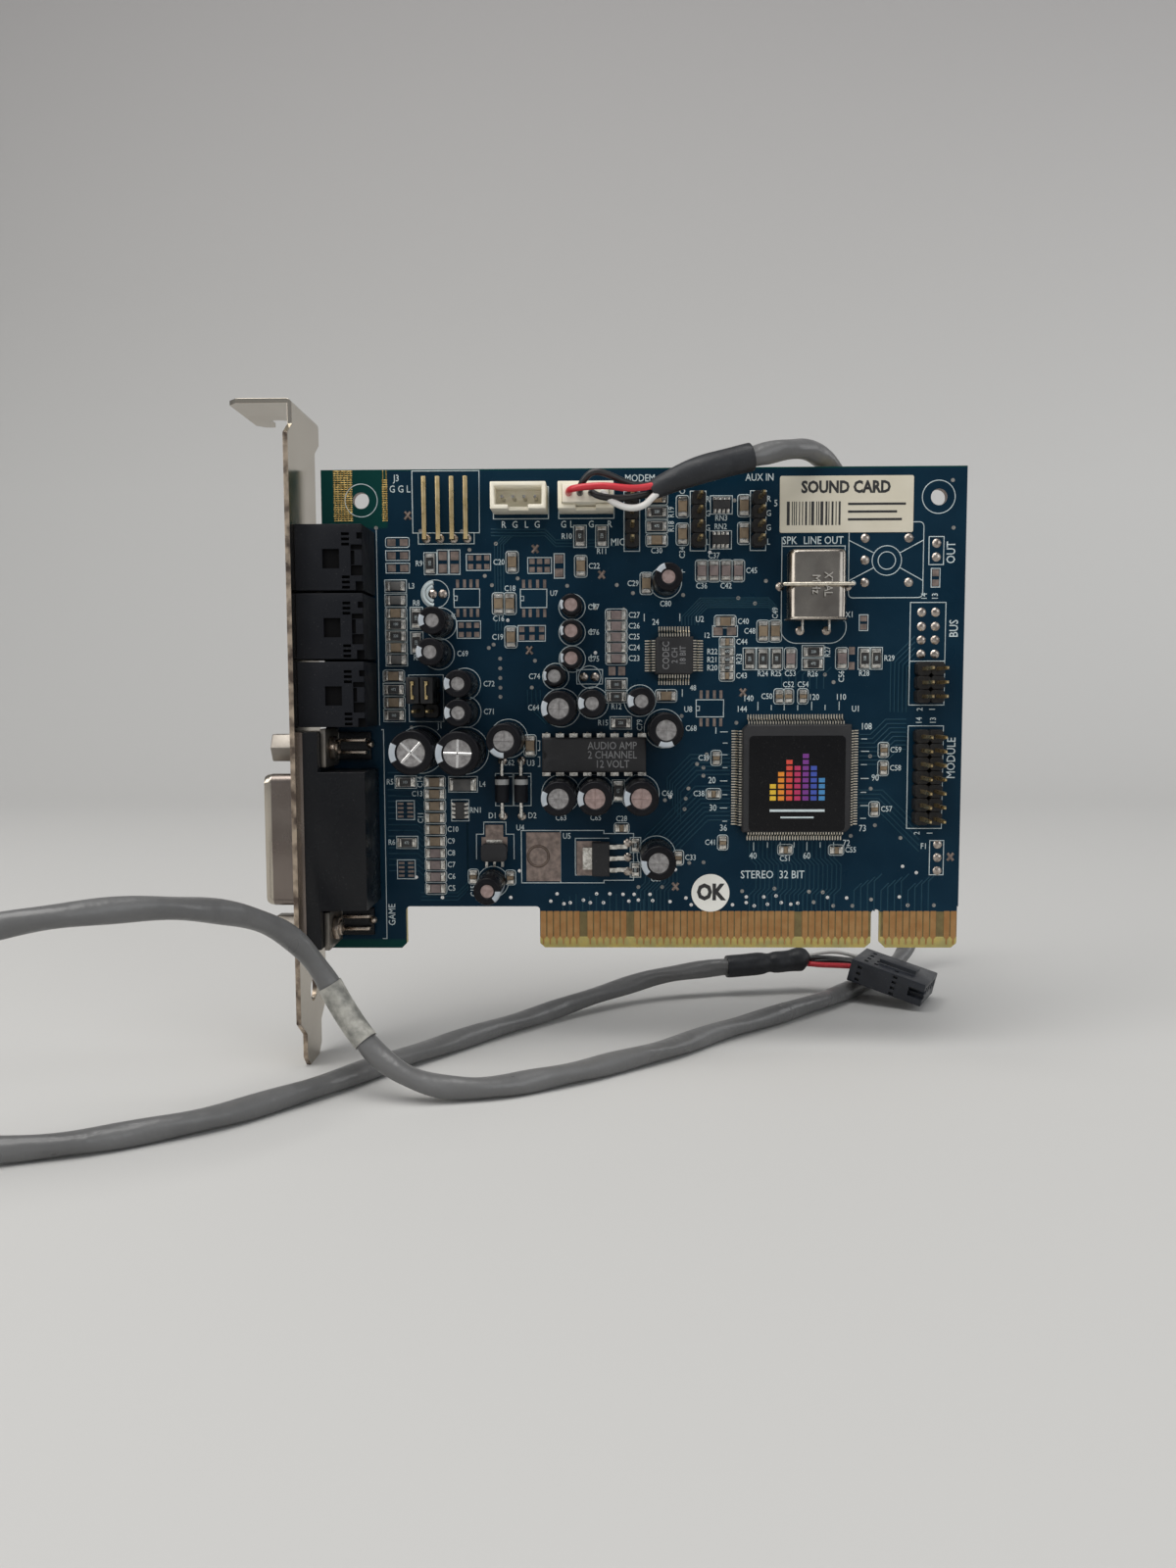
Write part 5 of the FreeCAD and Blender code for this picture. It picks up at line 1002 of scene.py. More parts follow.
JACK_LEFT, JACK_RIGHT, JACK_NOSE, JACK_BORE_END = -81.5, -69.6, -83.66, -72.7
JACK_FRONT, JACK_HALF, JACK_BORE, JACK_BUSH = -11.6, 5.8, 1.8, 4.1
JACK_HIGHEST, JACK_STEP = 72.32, 12.05
# Hollows in a jack's front: left and right from its right edge, top and foot from its top, and depth
JACK_HOLLOWS = [
    (-7.0, -4.0, -4.35, -7.75, 0.55), (-0.9, 0.4, -1.5, -2.6, 0.6), (-2.0, 0.4, -3.6, -4.5, 0.45),
    (-2.0, -1.3, -4.6, -7.1, 0.45), (-2.0, 0.4, -7.2, -9.0, 0.45), (-1.2, 0.4, -10.0, -12.0, 0.7),
] + [(-3.6, -2.2, -down, -down - 0.5, 0.8) for down in (1.5, 2.4, 3.3, 9.0, 9.9, 10.8)]
# The port's shell drawn in towards its rim: the depth of each ring and what is left of its height and width
SHELL_RINGS = ((1.3, 1, 1), (0.45, 0.987, 0.972), (0, 0.966, 0.925))
# The middle of the locks' screws, in front of the board
LOCK_FRONT = -6.4
# The bracket's bent tab starts above this, and its cut edges keep the bright nickel as a painted highlight
TAB_FOOT = 95


def bent_bracket():
    piece = smooth(eased(skin_of("mounting_bracket"), 0.12, 2, 40), 12)
    # Cut edges below the tab take the coppery edge with its painted glints; the tab's edges stay bright
    # nickel, a painted highlight
    paint(piece, lambda at, way: at.z < TAB_FOOT and (abs(way.y) > 0.6 or (way.z < -0.6 and at.z < 0)), 1)
    return kept(piece, "bent_bracket", [NICKEL, CUT_EDGE_AND_GLINTS], ["mounting_bracket"])


def jack_body(z):
    """A jack: a block with pressed slots and a stepped rear edge, and a bored nose through the bracket."""
    top = z + JACK_HALF
    body = eased(cuboid((JACK_LEFT, JACK_FRONT, z - JACK_HALF), (JACK_RIGHT, 0, top)), 0.16)
    for left, right, upper, lower, deep in JACK_HOLLOWS:
        body = hollowed(body, cuboid((JACK_RIGHT + left, JACK_FRONT - 0.8, top + lower),
                                     (JACK_RIGHT + right, JACK_FRONT + deep, top + upper)))
    body = hollowed(body, bar_along(JACK_LEFT - 1, JACK_BORE_END, -JACK_HALF, z, JACK_BORE, 28))
    nose = bar_along(JACK_NOSE, JACK_LEFT, -JACK_HALF, z, JACK_BUSH, 40)
    nose = hollowed(nose, bar_along(JACK_NOSE - 1, JACK_LEFT + 1, -JACK_HALF, z, JACK_BORE, 28))
    body = smooth(joined([body, eased(nose, 0.25)]))
    dress(body, [JACK_BLACK, RECESS_SHADE])
    # The floors of the pressed hollows get painted shade
    paint(body, lambda at, way: faces_out(at, way) and JACK_FRONT + 0.15 < at.y < JACK_FRONT + 1.1, 1)
    return body


def jack_set():
    upper = jack_body(JACK_HIGHEST)
    bodies = (("upper", upper), ("middle", copied(upper, (0, 0, -JACK_STEP))),
              ("lower", copied(upper, (0, 0, -2 * JACK_STEP))))
    for level, body in bodies:
        kept(body, "jack_body_" + level, [JACK_BLACK, RECESS_SHADE], ["audio_jack_" + level])


def game_port():
    housing = eased(skin_of("game_port_housing"), 0.7, 4)
    kept(housing, "port_housing", [PORT_BLACK], ["game_port_housing"])
    shell = skin_of("game_port_shell")
    low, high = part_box("game_port_shell")
    rim = low.x / MM
    for depth, tall, wide in SHELL_RINGS:
        edit(shell, "SELECT")
        if depth:
            slice_through((rim + depth, 0, 0), ALONG_X)
        pick_edges(shell, level_at("x", rim + depth))
        bpy.ops.transform.resize(value=(1, wide, tall), center_override=(low + high) / 2)
        leave()
    shell = smooth(shell, 40)
    dress(shell, [SHELL_DARK_REFLECTION, NICKEL])
    # The shell's front rim keeps the bright nickel as a painted highlight, and the rest is painted darker as
    # a painted reflection
    paint(shell, lambda at, way: at.x < rim + 1.4, 1)
    kept(shell, "port_shell", [SHELL_DARK_REFLECTION, NICKEL], ["game_port_shell"])


def screw_tip(x0, x1, y, z, radius):
    """A threaded end: a short bar along x with alternate rings drawn in."""
    bar = bar_along(x0, x1, y, z, radius, 24)
    rings = [x0 + (x1 - x0) * step / 8 for step in range(1, 8)]
    for x in rings:
        edit(bar)
        slice_through((x, y, z), ALONG_X)
        leave()
    for x in rings[::2] + [x1]:
        edit(bar)
        pick_edges(bar, level_at("x", x))
        bpy.ops.transform.resize(value=(1, 0.88, 0.88), center_override=spot(x, y, z))
        leave()
    return bar


def lock_rail(z):
    """One sprung rail along the board, its end bent down to it."""
    rail = cuboid((-76.4, -2.3, z - 0.3), (-71.6, -0.9, z + 0.3))
    edit(rail)
    pick_faces(rail, lambda at, way: way.x > FACING)
    bpy.ops.mesh.extrude_region_move(TRANSFORM_OT_translate={"value": spot(0.5, 0.9, 0)})
    leave()
    return eased(rail, 0.12)


def lock_and_post(level, z):
    """One board lock with its two sprung rails, and the hexagonal post screwed into it."""
    finishes = [LOCK_BRASS, PORT_BLACK, POST_NICKEL]
    lock = eased(skin_of("board_lock_" + level), 0.18)
    parts = [lock, eased(bar_along(-76.95, -75.9, LOCK_FRONT, z, 2.3, 6), 0.15)]
    parts.append(screw_tip(-76.0, -75.5, LOCK_FRONT, z, 1.44))
    parts += [lock_rail(z + rise) for rise in (-1.15, 1.15)]
    parts.append(eased(round_bar(-70.9, z + 0.3, -1.75, -0.9, 0.85, 16, 0.35), 0.2))
    for part in parts:
        dress(part, finishes)
    paint(lock, anywhere, 2)
    paint(lock, lambda at, way: at.x > -76.8 and -1.3 < at.y < 0, 1)
    kept(joined(parts), "lock_" + level, finishes, ["board_lock_" + level])
    post = eased(skin_of("standoff_" + level), 0.2, 3)
    kept(post, "jack_post_" + level, [POST_NICKEL], ["standoff_" + level])


bent_bracket()
jack_set()
game_port()
lock_and_post("upper", 38.61)
lock_and_post("lower", 5.29)


# Chips, regulators and the crystal

# Each moulded case: its name, how far its edges are eased and its first pin's mark, as x, z, top and radius
CASES = (
    ("sound_chip", 0.07, None), ("codec", 0.06, (-16.4, 57.5, -1.9, 0.4)),
    ("amplifier", 0.1, (-36.9, 35.2, -3.9, 0.55)), ("regulator", 0.12, None), ("small_regulator", 0.2, None),
)
CRYSTAL_FAR_END = 74.1


def dimpled(piece, x, z, top, radius):
    """A shallow round mark pressed into a chip's top for its first pin."""
    dish = round_bar(x, z, top - 0.3, top + 0.12, radius, 24)
    return smooth(hollowed(piece, dish))


def chip_bodies():
    for name, ease, mark in CASES:
        piece = eased(skin_of(name + "_body"), ease)
        if mark:
            piece = dimpled(piece, *mark)
        kept(piece, name + "_case", [CHIP_EPOXY], [name + "_body"])


def crystal():
    """The can, its far corners rounded where it was drawn."""
    piece = skin_of("crystal_can")
    edit(piece)
    pick_edges(piece, lambda a, b: min(a.z, b.z) > CRYSTAL_FAR_END)
    bpy.ops.mesh.bevel(offset=0.9 * MM, segments=4)
    leave()
    kept(eased(piece, 0.3, 3), "crystal_case", [CRYSTAL_NICKEL], ["crystal_can"])


chip_bodies()
crystal()


# Electrolytic capacitors

CAPACITOR_SIZES = ("large", "medium", "small")
# The sleeve's opening over its radius, from each least radius up
LIP_SHARES = ((3.9, 0.63), (3.0, 0.58), (2.4, 0.47), (0, 0.58))
# The neck above the seal: its middle, its two sides and what is left of its width
NECK, NECK_SIDES, NECK_SHARE = -2.1, (-2.7, -1.5), 0.94
STRIPE_FOOT = -2.8
ROSY_TOPS = [(-33.02, 64.24), (-33.02, 59.58), (-33.02, 54.66), (-15.65, 68.72), (-28.74, 29.46),
             (-20.41, 29.46), (-48.25, 12.72)]
# Which way a stripe lies, in degrees, where it isn't to the left
STRIPE_TURNS = {(-45.04, 39.87): 245, (-16.0, 41.66): 268, (-48.25, 12.72): -25, (-15.65, 68.72): 130,
                (-17.31, 17.83): 200}


def near_to(at, x, z, reach=2.0):
    return abs(at.x - x) < reach and abs(at.z - z) < reach


def runs_inward(edge):
    """Whether an edge of a round piece at the origin leads towards its middle."""
    first, second = (math.hypot(*(vert.co.xz / MM)) for vert in edge.verts)
    return abs(first - second) > 0.05


def sleeve_shell(radius, height):
    """A shrink sleeve at the origin, rolled over the can's rim and drawn in above the seal."""
    shell = round_bar(0, 0, -height, 0, radius, 40)
    for y in (NECK_SIDES[0], NECK, NECK_SIDES[1]):
        edit(shell)
        slice_through((0, y, 0), ALONG_Y)
        leave()
    edit(shell)
    pick_edges(shell, level_at("y", NECK))
    bpy.ops.transform.resize(value=(NECK_SHARE, 1, NECK_SHARE), center_override=spot(0, NECK, 0))
    pick_faces(shell, faces_out)
    lip = next(share for least, share in LIP_SHARES if radius >= least)
    bpy.ops.mesh.inset(thickness=radius * (1 - lip) * MM)
    bpy.ops.mesh.extrude_region_move(TRANSFORM_OT_translate={"value": spot(0, 0.3, 0)})
    pick_edges(shell, lambda a, b: max(a.y, b.y) < TOUCH - height)
    rim = bmesh.from_edit_mesh(shell.data)
    for edge in rim.edges:
        if edge.select and runs_inward(edge):
            edge.select_set(False)
    bmesh.update_edit_mesh(shell.data)
    bpy.ops.mesh.bevel(offset=0.32 * MM, segments=3)
    leave()
    return smooth(shell, 50)


def add_stripe(sleeve, at, radius):
    """The pale stripe down one side of a sleeve and over its rim."""
    turn = next((turn for (x, z), turn in STRIPE_TURNS.items() if near_to(at, x, z)), 180)
    side = Vector((math.cos(math.radians(turn)), math.sin(math.radians(turn))))

    def striped(centre, way):
        spoke = Vector((centre.x - at.x, centre.z - at.z))
        return spoke.length > radius * 0.72 and spoke.normalized().dot(side) > 0.9 and centre.y < STRIPE_FOOT
    paint(sleeve, striped, 1)


def capacitor_sleeves(size):
    """Every sleeve of one size, each with its pale stripe turned as it stands on the board."""
    finishes = [SLEEVE_BLACK, SLEEVE_STRIPE]
    patterns = {}
    sleeves = []
    for low, high in solids("capacitor_sleeves_" + size):
        at = (low + high) / 2
        radius, height = round((high.x - low.x) / 2, 2), round(high.y - low.y, 2)
        if (radius, height) not in patterns:
            patterns[radius, height] = sleeve_shell(radius, height)
        sleeve = copied(patterns[radius, height], (at.x, 0, at.z))
        dress(sleeve, finishes)
        add_stripe(sleeve, at, radius)
        sleeves.append(sleeve)
    for pattern in patterns.values():
        bpy.data.objects.remove(pattern)
    kept(joined(sleeves), "sleeves_" + size, finishes, ["capacitor_sleeves_" + size])


def can_top(radius, top, far):
    """The aluminium can inside a sleeve, its rim rounded and its top a little dished."""
    can = round_bar(0, 0, top, far, radius, 40)
    edit(can)
    pick_faces(can, faces_out)
    bpy.ops.mesh.inset(thickness=0.3 * MM)
    bpy.ops.mesh.inset(thickness=0.9 * MM)
    bpy.ops.transform.translate(value=spot(0, 0.04, 0))
    leave()
    return smooth(can, 50)


def vent_score(width, reach, y, turn):
    """Two creases crossing, where the top is pressed to give way."""
    bars = []
    for angle in (turn, turn + 90):
        bar = cuboid((-reach, y - 0.04, -width / 2), (reach, y + 0.06, width / 2))
        edit(bar)
        pick_faces(bar, faces_out)
        bpy.ops.transform.resize(value=(0.97, 1, 0.45), center_override=spot(0, y - 0.04, 0))
        leave()
        bar.data.transform(Matrix.Rotation(math.radians(angle), 4, "Y"))
        bars.append(bar)
    return joined(bars)


def capacitor_tops():
    """The cans, silver or rosy on top, the wide ones with creased vents, the widest with a painted highlight
    along their creases.
    """
    finishes = [CAN_ALUMINIUM, CAN_ROSY, SCORE_HIGHLIGHT_AND_BARE_TIN]
    patterns = {}
    cans = []
    for low, high in solids("capacitor_cans"):
        at = (low + high) / 2
        radius = round((high.x - low.x) / 2, 2)
        if (radius, low.y) not in patterns:
            patterns[radius, low.y] = can_top(radius, low.y, high.y)
        can = copied(patterns[radius, low.y], (at.x, 0, at.z))
        tone = 1 if any(near_to(at, x, z) for x, z in ROSY_TOPS) else 0
        pieces = [(can, tone)]
        if radius > 2.6:
            wide = radius > 3.5
            score = vent_score(0.5 if wide else 0.22, radius * 0.7, low.y, 43 if at.x < -60 else 2)
            score.data.transform(Matrix.Translation(spot(at.x, 0, at.z)))
            # The widest cans' creases get a painted highlight; the others keep the can's own tone
            pieces.append((score, 2 if wide else tone))
        for piece, number in pieces:
            dress(piece, finishes)
            paint(piece, anywhere, number)
            cans.append(piece)
    for pattern in patterns.values():
        bpy.data.objects.remove(pattern)
    kept(joined(cans), "capacitor_tops", finishes, ["capacitor_cans"])


for size in CAPACITOR_SIZES:
    capacitor_sleeves(size)
capacitor_tops()


# Small parts that lie flat on the board

# A chip part's end cap beyond its body, and how far its plating laps over it
CAP_END, CAP_LAP = 0.5, 0.28
# How far solder and pads reach into the board, so that no gap shows
SUNK = 0.01
DIODE_BAND_EDGES = (31.35, 32.35)
# Where the ceramic is mauve: left, right, lowest, highest
MAUVE_CHIPS = ((-62, -56, 9, 19.4), (6, 18, 52, 57), (-11, 1, 68, 73), (-25.5, -22, 52, 64))


def in_any(at, areas):
    return any(x0 < at.x < x1 and z0 < at.z < z1 for x0, x1, z0, z1 in areas)


def chip_parts():
    capacitors = eased(skin_of("chip_capacitors"), 0.07, 1)
    paint(capacitors, lambda at, way: in_any(at, MAUVE_CHIPS), 1)
    kept(capacitors, "ceramic_capacitors", [CERAMIC_TAN, CERAMIC_GREY],
         ["chip_capacitors"])
    resistors = eased(skin_of("chip_resistors"), 0.05, 1)
    paint(resistors, lambda at, way: way.y > -FACING, 1)
    kept(resistors, "thick_film_resistors", [RESISTOR_BLACK, CERAMIC_WHITE],
         ["chip_resistors"])
    arrays = eased(skin_of("resistor_arrays"), 0.05, 1)
    kept(arrays, "resistor_networks", [RESISTOR_BLACK], ["resistor_arrays"])
    beads = eased(skin_of("ferrite_inductors"), 0.12)
    kept(beads, "ferrite_beads", [FERRITE_GREY], ["ferrite_inductors"])


def one_metre_block():
    """A plain block for stretched, round the origin."""
    return cuboid((-500, -500, -500), (500, 500, 500))


def plated_ends():
    """Every chip part's plated end, drawn a little way over its body."""
    nodes = ("chip_capacitors", "chip_resistors", "ferrite_inductors", "resistor_arrays")
    bodies = [(low, high, node == "resistor_arrays") for node in nodes for low, high in solids(node)]
    block = eased(one_metre_block(), 130, 2)
    ends = []
    for low, high in solids("chip_end_caps"):
        at = (low + high) / 2
        body_low, body_high, is_array = min(bodies, key=lambda body: ((body[0] + body[1]) / 2 - at).length)
        step, size = (body_low + body_high) / 2 - at, body_high - body_low
        across = size.x < size.z if is_array else abs(step.x) > abs(step.z)
        side = 0 if across else 2
        near = high if step[side] > 0 else low
        near[side] += math.copysign(CAP_LAP, step[side])
        ends.append(stretched(block, low, high))
    bpy.data.objects.remove(block)
    kept(smooth(joined(ends), 50), "plated_end_caps", [BRIGHT_TIN], ["chip_end_caps"])


def sloped_block(share):
    """A one metre block whose near face is drawn in, as solder climbs a side."""
    block = one_metre_block()
    edit(block)
    pick_faces(block, faces_out)
    bpy.ops.mesh.inset(thickness=0.12)
    bpy.ops.transform.resize(value=(share, 1, share), center_override=(0, -0.5, 0))
    leave()
    return block


def solder_fillets():
    """A small fillet of solder round the foot of every chip part's end cap."""
    block = sloped_block(0.8)
    fillets = []
    for low, high in solids("chip_end_caps"):
        wide, tall = high.x - low.x, high.z - low.z
        spread_x, spread_z = (0.2, 0.05) if wide < tall else (0.05, 0.2)
        fillets.append(stretched(block, (low.x - spread_x, -0.34, low.z - spread_z),
                                 (high.x + spread_x, SUNK, high.z + spread_z)))
    bpy.data.objects.remove(block)
    kept(smooth(joined(fillets), 50), "solder_fillets", [BRIGHT_TIN])


# Bare pads that no part was ever put on: middle, width and height
BARE_PADS = (
    [(x, z, 1.5, 1.25) for z in (76.3, 73.9, 71.6) for x in (-66.5, -64.2)]
    + [(x, z, 1.5, 1.6) for x in (-57.0, -54.8) for z in (73.8, 71.5)]
    + [(x, z, 0.95, 0.95) for x in (-51.8, -50.3, -48.8) for z in (73.4, 71.8)]
    + [(x, z, 0.95, 0.95) for x in (-40.4, -39.0, -37.6) for z in (72.7, 71.2)]
    + [(-35.4, z, 1.5, 1.5) for z in (73.1, 70.6)]
    + [(x, z, 0.95, 0.95) for x in (-42.4, -40.5, -38.7) for z in (60.2, 58.7)]
    + [(x, z, 0.95, 0.95) for x in (-53.7, -52.3, -50.8) for z in (61.0, 59.3)]
    + [(x, z, 0.55, 1.5) for x in (-54.3, -53.0, -51.8, -50.6) for z in (68.7, 63.3)]
    + [(x, z, 0.55, 1.5) for x in (-42.0, -40.8, -39.4, -38.1) for z in (68.6, 63.2)]
    + [(x, z, 0.55, 1.5) for x in (-9.0, -7.8, -6.5, -5.3) for z in (48.0, 42.8)]
    + [(-25.6, 52.4, 1.3, 1.6), (-23.8, 52.4, 1.3, 1.6), (-5.9, 59.7, 1.7, 1.5), (-3.4, 59.7, 1.7, 1.5)]
    + [(21.0, 61.9, 1.2, 1.0), (21.0, 60.4, 1.2, 1.0), (34.1, 70.2, 1.2, 1.2), (34.1, 68.4, 1.2, 1.2)]
    + [(x, z, 1.1, 0.4) for x in (-65.6, -63.8) for z in (27.6, 26.8, 26.0, 25.2)]
    + [(x, z, 1.1, 0.4) for x in (-65.6, -63.8) for z in (16.3, 15.5, 14.7, 13.9)]
    + [(18.9, 56.0, 1.1, 1.4), (18.9, 53.2, 1.1, 1.4)]
)


def bare_pads():
    block = sloped_block(0.9)
    pads = [stretched(block, (x - wide / 2, -0.05, z - tall / 2), (x + wide / 2, SUNK, z + tall / 2))
            for x, z, wide, tall in BARE_PADS]
    bpy.data.objects.remove(block)
    kept(joined(pads), "bare_pads", [PAD_TIN])


def banded_diodes():
    """Two black glass-filled bodies with a silver band near the upper end."""
    piece = skin_of("diodes")
    for z in DIODE_BAND_EDGES[::-1]:
        edit(piece)
        slice_through((0, 0, z), ALONG_Z)
        leave()
    piece = eased(piece, 0.22, 3, 60)
    foot, top = DIODE_BAND_EDGES
    paint(piece, lambda at, way: foot < at.z < top and abs(way.z) < 0.5, 1)
    kept(piece, "banded_diodes", [JACK_BLACK, DIODE_BAND], ["diodes"])


chip_parts()
plated_ends()
solder_fillets()
bare_pads()
banded_diodes()


# Pins and their holders

CELL_HALF, CELL_HIGH, CELL_CORNER = 1.25, 2.5, 0.42
# How long a square pin's two points are, and what is left of its width there
PIN_POINT_NEAR, PIN_POINT_FAR, PIN_TIP = 0.5, 0.35, 0.55
# The jumper clips' square ends, the short slope beside them and how far the strip between is drawn in
CLIP_END, CLIP_SLOPE, CLIP_STRIP = 0.6, 0.15, 0.28


def pin_block():
    """One cell of a pin header: a block with its corners cut, as they are moulded to snap apart."""
    block = cuboid((-CELL_HALF, -CELL_HIGH, -CELL_HALF), (CELL_HALF, 0, CELL_HALF))
    edit(block)
    pick_edges(block, stands_out)
    bpy.ops.mesh.bevel(offset=CELL_CORNER * MM, segments=1)
    leave()
    return eased(block, 0.08, 1)


def square_pin(side, near, far):
    """A square pin with both ends drawn to a blunt point."""
    half = side / 2
    pin = cuboid((-half, near + PIN_POINT_NEAR, -half), (half, far - PIN_POINT_FAR, half))
    edit(pin)
    for way, reach, end in ((-1, PIN_POINT_NEAR, near), (1, PIN_POINT_FAR, far)):
        pick_faces(pin, lambda at, normal: normal.y * way > FACING)
        bpy.ops.mesh.extrude_region_move(TRANSFORM_OT_translate={"value": spot(0, way * reach, 0)})
        bpy.ops.transform.resize(value=(PIN_TIP, 1, PIN_TIP), center_override=spot(0, end, 0))
    leave()
    return pin


def pin_headers():
    boxes = solids("pin_header_pins")
    places = [seat(low, high) for low, high in boxes]
    low, high = boxes[0]
    cells = repeated(pin_block(), places)
    kept(cells, "header_cells", [HEADER_BLACK], ["pin_header_bases"])
    pins = repeated(square_pin(high.x - low.x, low.y, high.y), places)
    kept(pins, "header_pins", [PIN_GOLD], ["pin_header_pins"])


def jumper_clips():
    """The clips, with two square ends and a thin strip of spring on the left between them."""
    clips = skin_of("shunt_clips")
    low, high = box_of("shunt_clips")
    edit(clips)
    strip = CLIP_END + CLIP_SLOPE
    for level in (low.z + CLIP_END, low.z + strip, high.z - strip, high.z - CLIP_END):
        slice_through((0, 0, level), ALONG_Z)

    def on_strip(end, x):
        return low.z + 0.7 < end.z < high.z - 0.7 and abs(end.x - x) < 0.03

    for _, corner in solids("shunt_clips"):
        pick_edges(clips, lambda a, b: on_strip(a, corner.x) and on_strip(b, corner.x))
        bpy.ops.transform.translate(value=spot(-CLIP_STRIP, 0, 0))
    leave()
    return eased(clips, 0.04)


def white_headers():
    finishes = [CREAM_NYLON, NYLON_PAINTED_LIGHT]
    for node, name in (("audio_header_open", "open_header"), ("audio_header_used", "used_header"),
                       ("white_plug", "lead_plug")):
        piece = eased(skin_of(node), 0.14)
        dress(piece, finishes)
        low, high = box_of(node)
        well = [(low.x + 0.5, high.x - 0.5, low.z + 0.5, high.z - 0.5)]
        if node == "audio_header_open":
            # The well of the open header is painted paler, as painted light
            paint(piece, lambda at, way: in_any(at, well) and at.y > low.y + 0.2 and way.y < 0.5, 1)
        kept(piece, name, finishes, [node])


def angle_pins_and_jumpers():
    kept(eased(skin_of("angle_pins"), 0.1), "bare_angle_pins", [PIN_GOLD], ["angle_pins"])
    caps = eased(skin_of("jumper_shunts"), 0.2)
    kept(caps, "jumper_caps", [HEADER_BLACK], ["jumper_shunts"])
    kept(jumper_clips(), "jumper_clips", [PIN_GOLD], ["shunt_clips"])


pin_headers()
white_headers()
angle_pins_and_jumpers()

# The pieces that stay as the solids show them
CAD_FINISHES = {
    "jack_contacts": BRIGHT_TIN, "game_port_insulator": PORT_BLACK, "game_port_contacts": PIN_GOLD,
    "sound_chip_leads": LEAD_TIN, "codec_leads": LEAD_TIN, "amplifier_leads": BRIGHT_TIN,
    "regulator_leads": BRIGHT_TIN, "small_regulator_leads": BRIGHT_TIN, "crystal_leads": BRIGHT_TIN,
    "crystal_strap": LEAD_TIN, "capacitor_seals": SEAL_RUBBER, "diode_leads": BRIGHT_TIN,
    "audio_header_pins": BRIGHT_TIN, "copper_pads": PAD_TIN,
}
for node, finish in CAD_FINISHES.items():
    dress(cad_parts[node], [finish])


# Print, labels and copper lines

# Letters are drawn in a font whose capitals are lower than its size, and a little narrow
FONT_SIZE_OF_HEIGHT, LETTER_NARROWING, LETTER_DEPTH = 1.42, 0.84, 0.012
# Where the print lies, its line's width and the height of the letters beside the parts
PRINT_FRONT, PRINT_LINE, MARK_HEIGHT = -0.02, 0.17, 1.05
# The part of the board that may hold letters beside the parts: left, lowest, right, highest
LETTER_FIELD = (-68.4, 8.4, 38.8, 88.8)


def flat_lines(name, lines, width, y, thickness=0.03):
    """Flat lines on the board, each a list of (x, z) places; one that ends where it starts is closed."""
    curve = bpy.data.curves.new(name, "CURVE")
    curve.dimensions = "2D"
    curve.fill_mode = "NONE"
    curve.bevel_depth = width / 2 * MM
    curve.bevel_resolution = 0
    for line in lines:
        closed = line[0] == line[-1]
        line = line[:-1] if closed else line
        spline = curve.splines.new("POLY")
        spline.points.add(len(line) - 1)
        spline.use_cyclic_u = closed
        for point, (x, z) in zip(spline.points, line):
            point.co = (x * MM, z * MM, 0, 1)
    piece = as_mesh(shown(name, curve))
    piece.scale = (1, 1, thickness / width)
    piece.rotation_euler = (math.pi / 2, 0, 0)
    piece.location = spot(0, y, 0)
    return settle(piece)


def ring(x, z, radius, start=0, sweep=360, steps=32):
    """Places round a circle or along an arc."""
    count = max(4, round(steps * sweep / 360))
    turns = [math.radians(start + sweep * step / count) for step in range(count + 1)]
    places = [(x + radius * math.cos(turn), z + radius * math.sin(turn)) for turn in turns]
    if sweep == 360:
        places[-1] = places[0]
    return places


def frame_line(x0, z0, x1, z1, cut=0.0):
    """A closed outline, its corners rounded or square."""
    if not cut:
        return [(x0, z0), (x1, z0), (x1, z1), (x0, z1), (x0, z0)]
    left, right, low, high = x0 + cut, x1 - cut, z0 + cut, z1 - cut
    corners = ((right, low, 270), (right, high, 0), (left, high, 90), (left, low, 180))
    places = [place for x, z, start in corners for place in ring(x, z, cut, start, 90, 16)]
    return places + places[:1]


def lettering(name, words, y, weight=0.01):
    """Printed words, each with its place, letter height and turn, made into one thin mesh."""
    texts = []
    for text, x, z, height, turn in words:
        curve = bpy.data.curves.new(name, "FONT")
        curve.body = text
        curve.size = height * FONT_SIZE_OF_HEIGHT * MM
        curve.align_x = "CENTER"
        curve.align_y = "CENTER"
        curve.resolution_u = 2
        curve.extrude = LETTER_DEPTH * MM
        curve.offset = weight * MM
        piece = as_mesh(shown(name, curve))
        piece.rotation_euler = (math.pi / 2, -math.radians(turn), 0)
        piece.scale = (LETTER_NARROWING, 1, 1)
        piece.location = spot(x, y, z)
        texts.append(settle(piece))
    return joined(texts)


CHIP_NODES = (("C", "chip_capacitors"), ("R", "chip_resistors"), ("L", "ferrite_inductors"),
              ("RN", "resistor_arrays"))
# Nodes that letters keep clear of
COVERED_NODES = (
    "sound_chip_leads", "codec_leads", "amplifier_leads", "regulator_leads", "crystal_can", "board_label",
    "round_label", "audio_header_open", "audio_header_used", "angle_pins", "game_port_housing",
    "audio_jack_upper", "audio_jack_middle", "audio_jack_lower", "copper_pads", "diodes", "jumper_shunts",
)


def chip_outlines():
    """The body of every chip part grown to its outline on the board, with its letter."""
    found = []
    for letter, node in CHIP_NODES:
        for low, high in solids(node):
            wide, tall = high.x - low.x, high.z - low.z
            if letter == "RN":
                grow_x, grow_z = (0.75, 0.4) if wide < tall else (0.4, 0.75)
            else:
                flat = (wide > tall) if max(wide, tall) > 2 else (wide < tall)
                grow_x, grow_z = (CAP_END + 0.42, 0.36) if flat else (0.36, CAP_END + 0.42)
            found.append((letter, (low.x - grow_x, low.z - grow_z, high.x + grow_x, high.z + grow_z)))
    return found


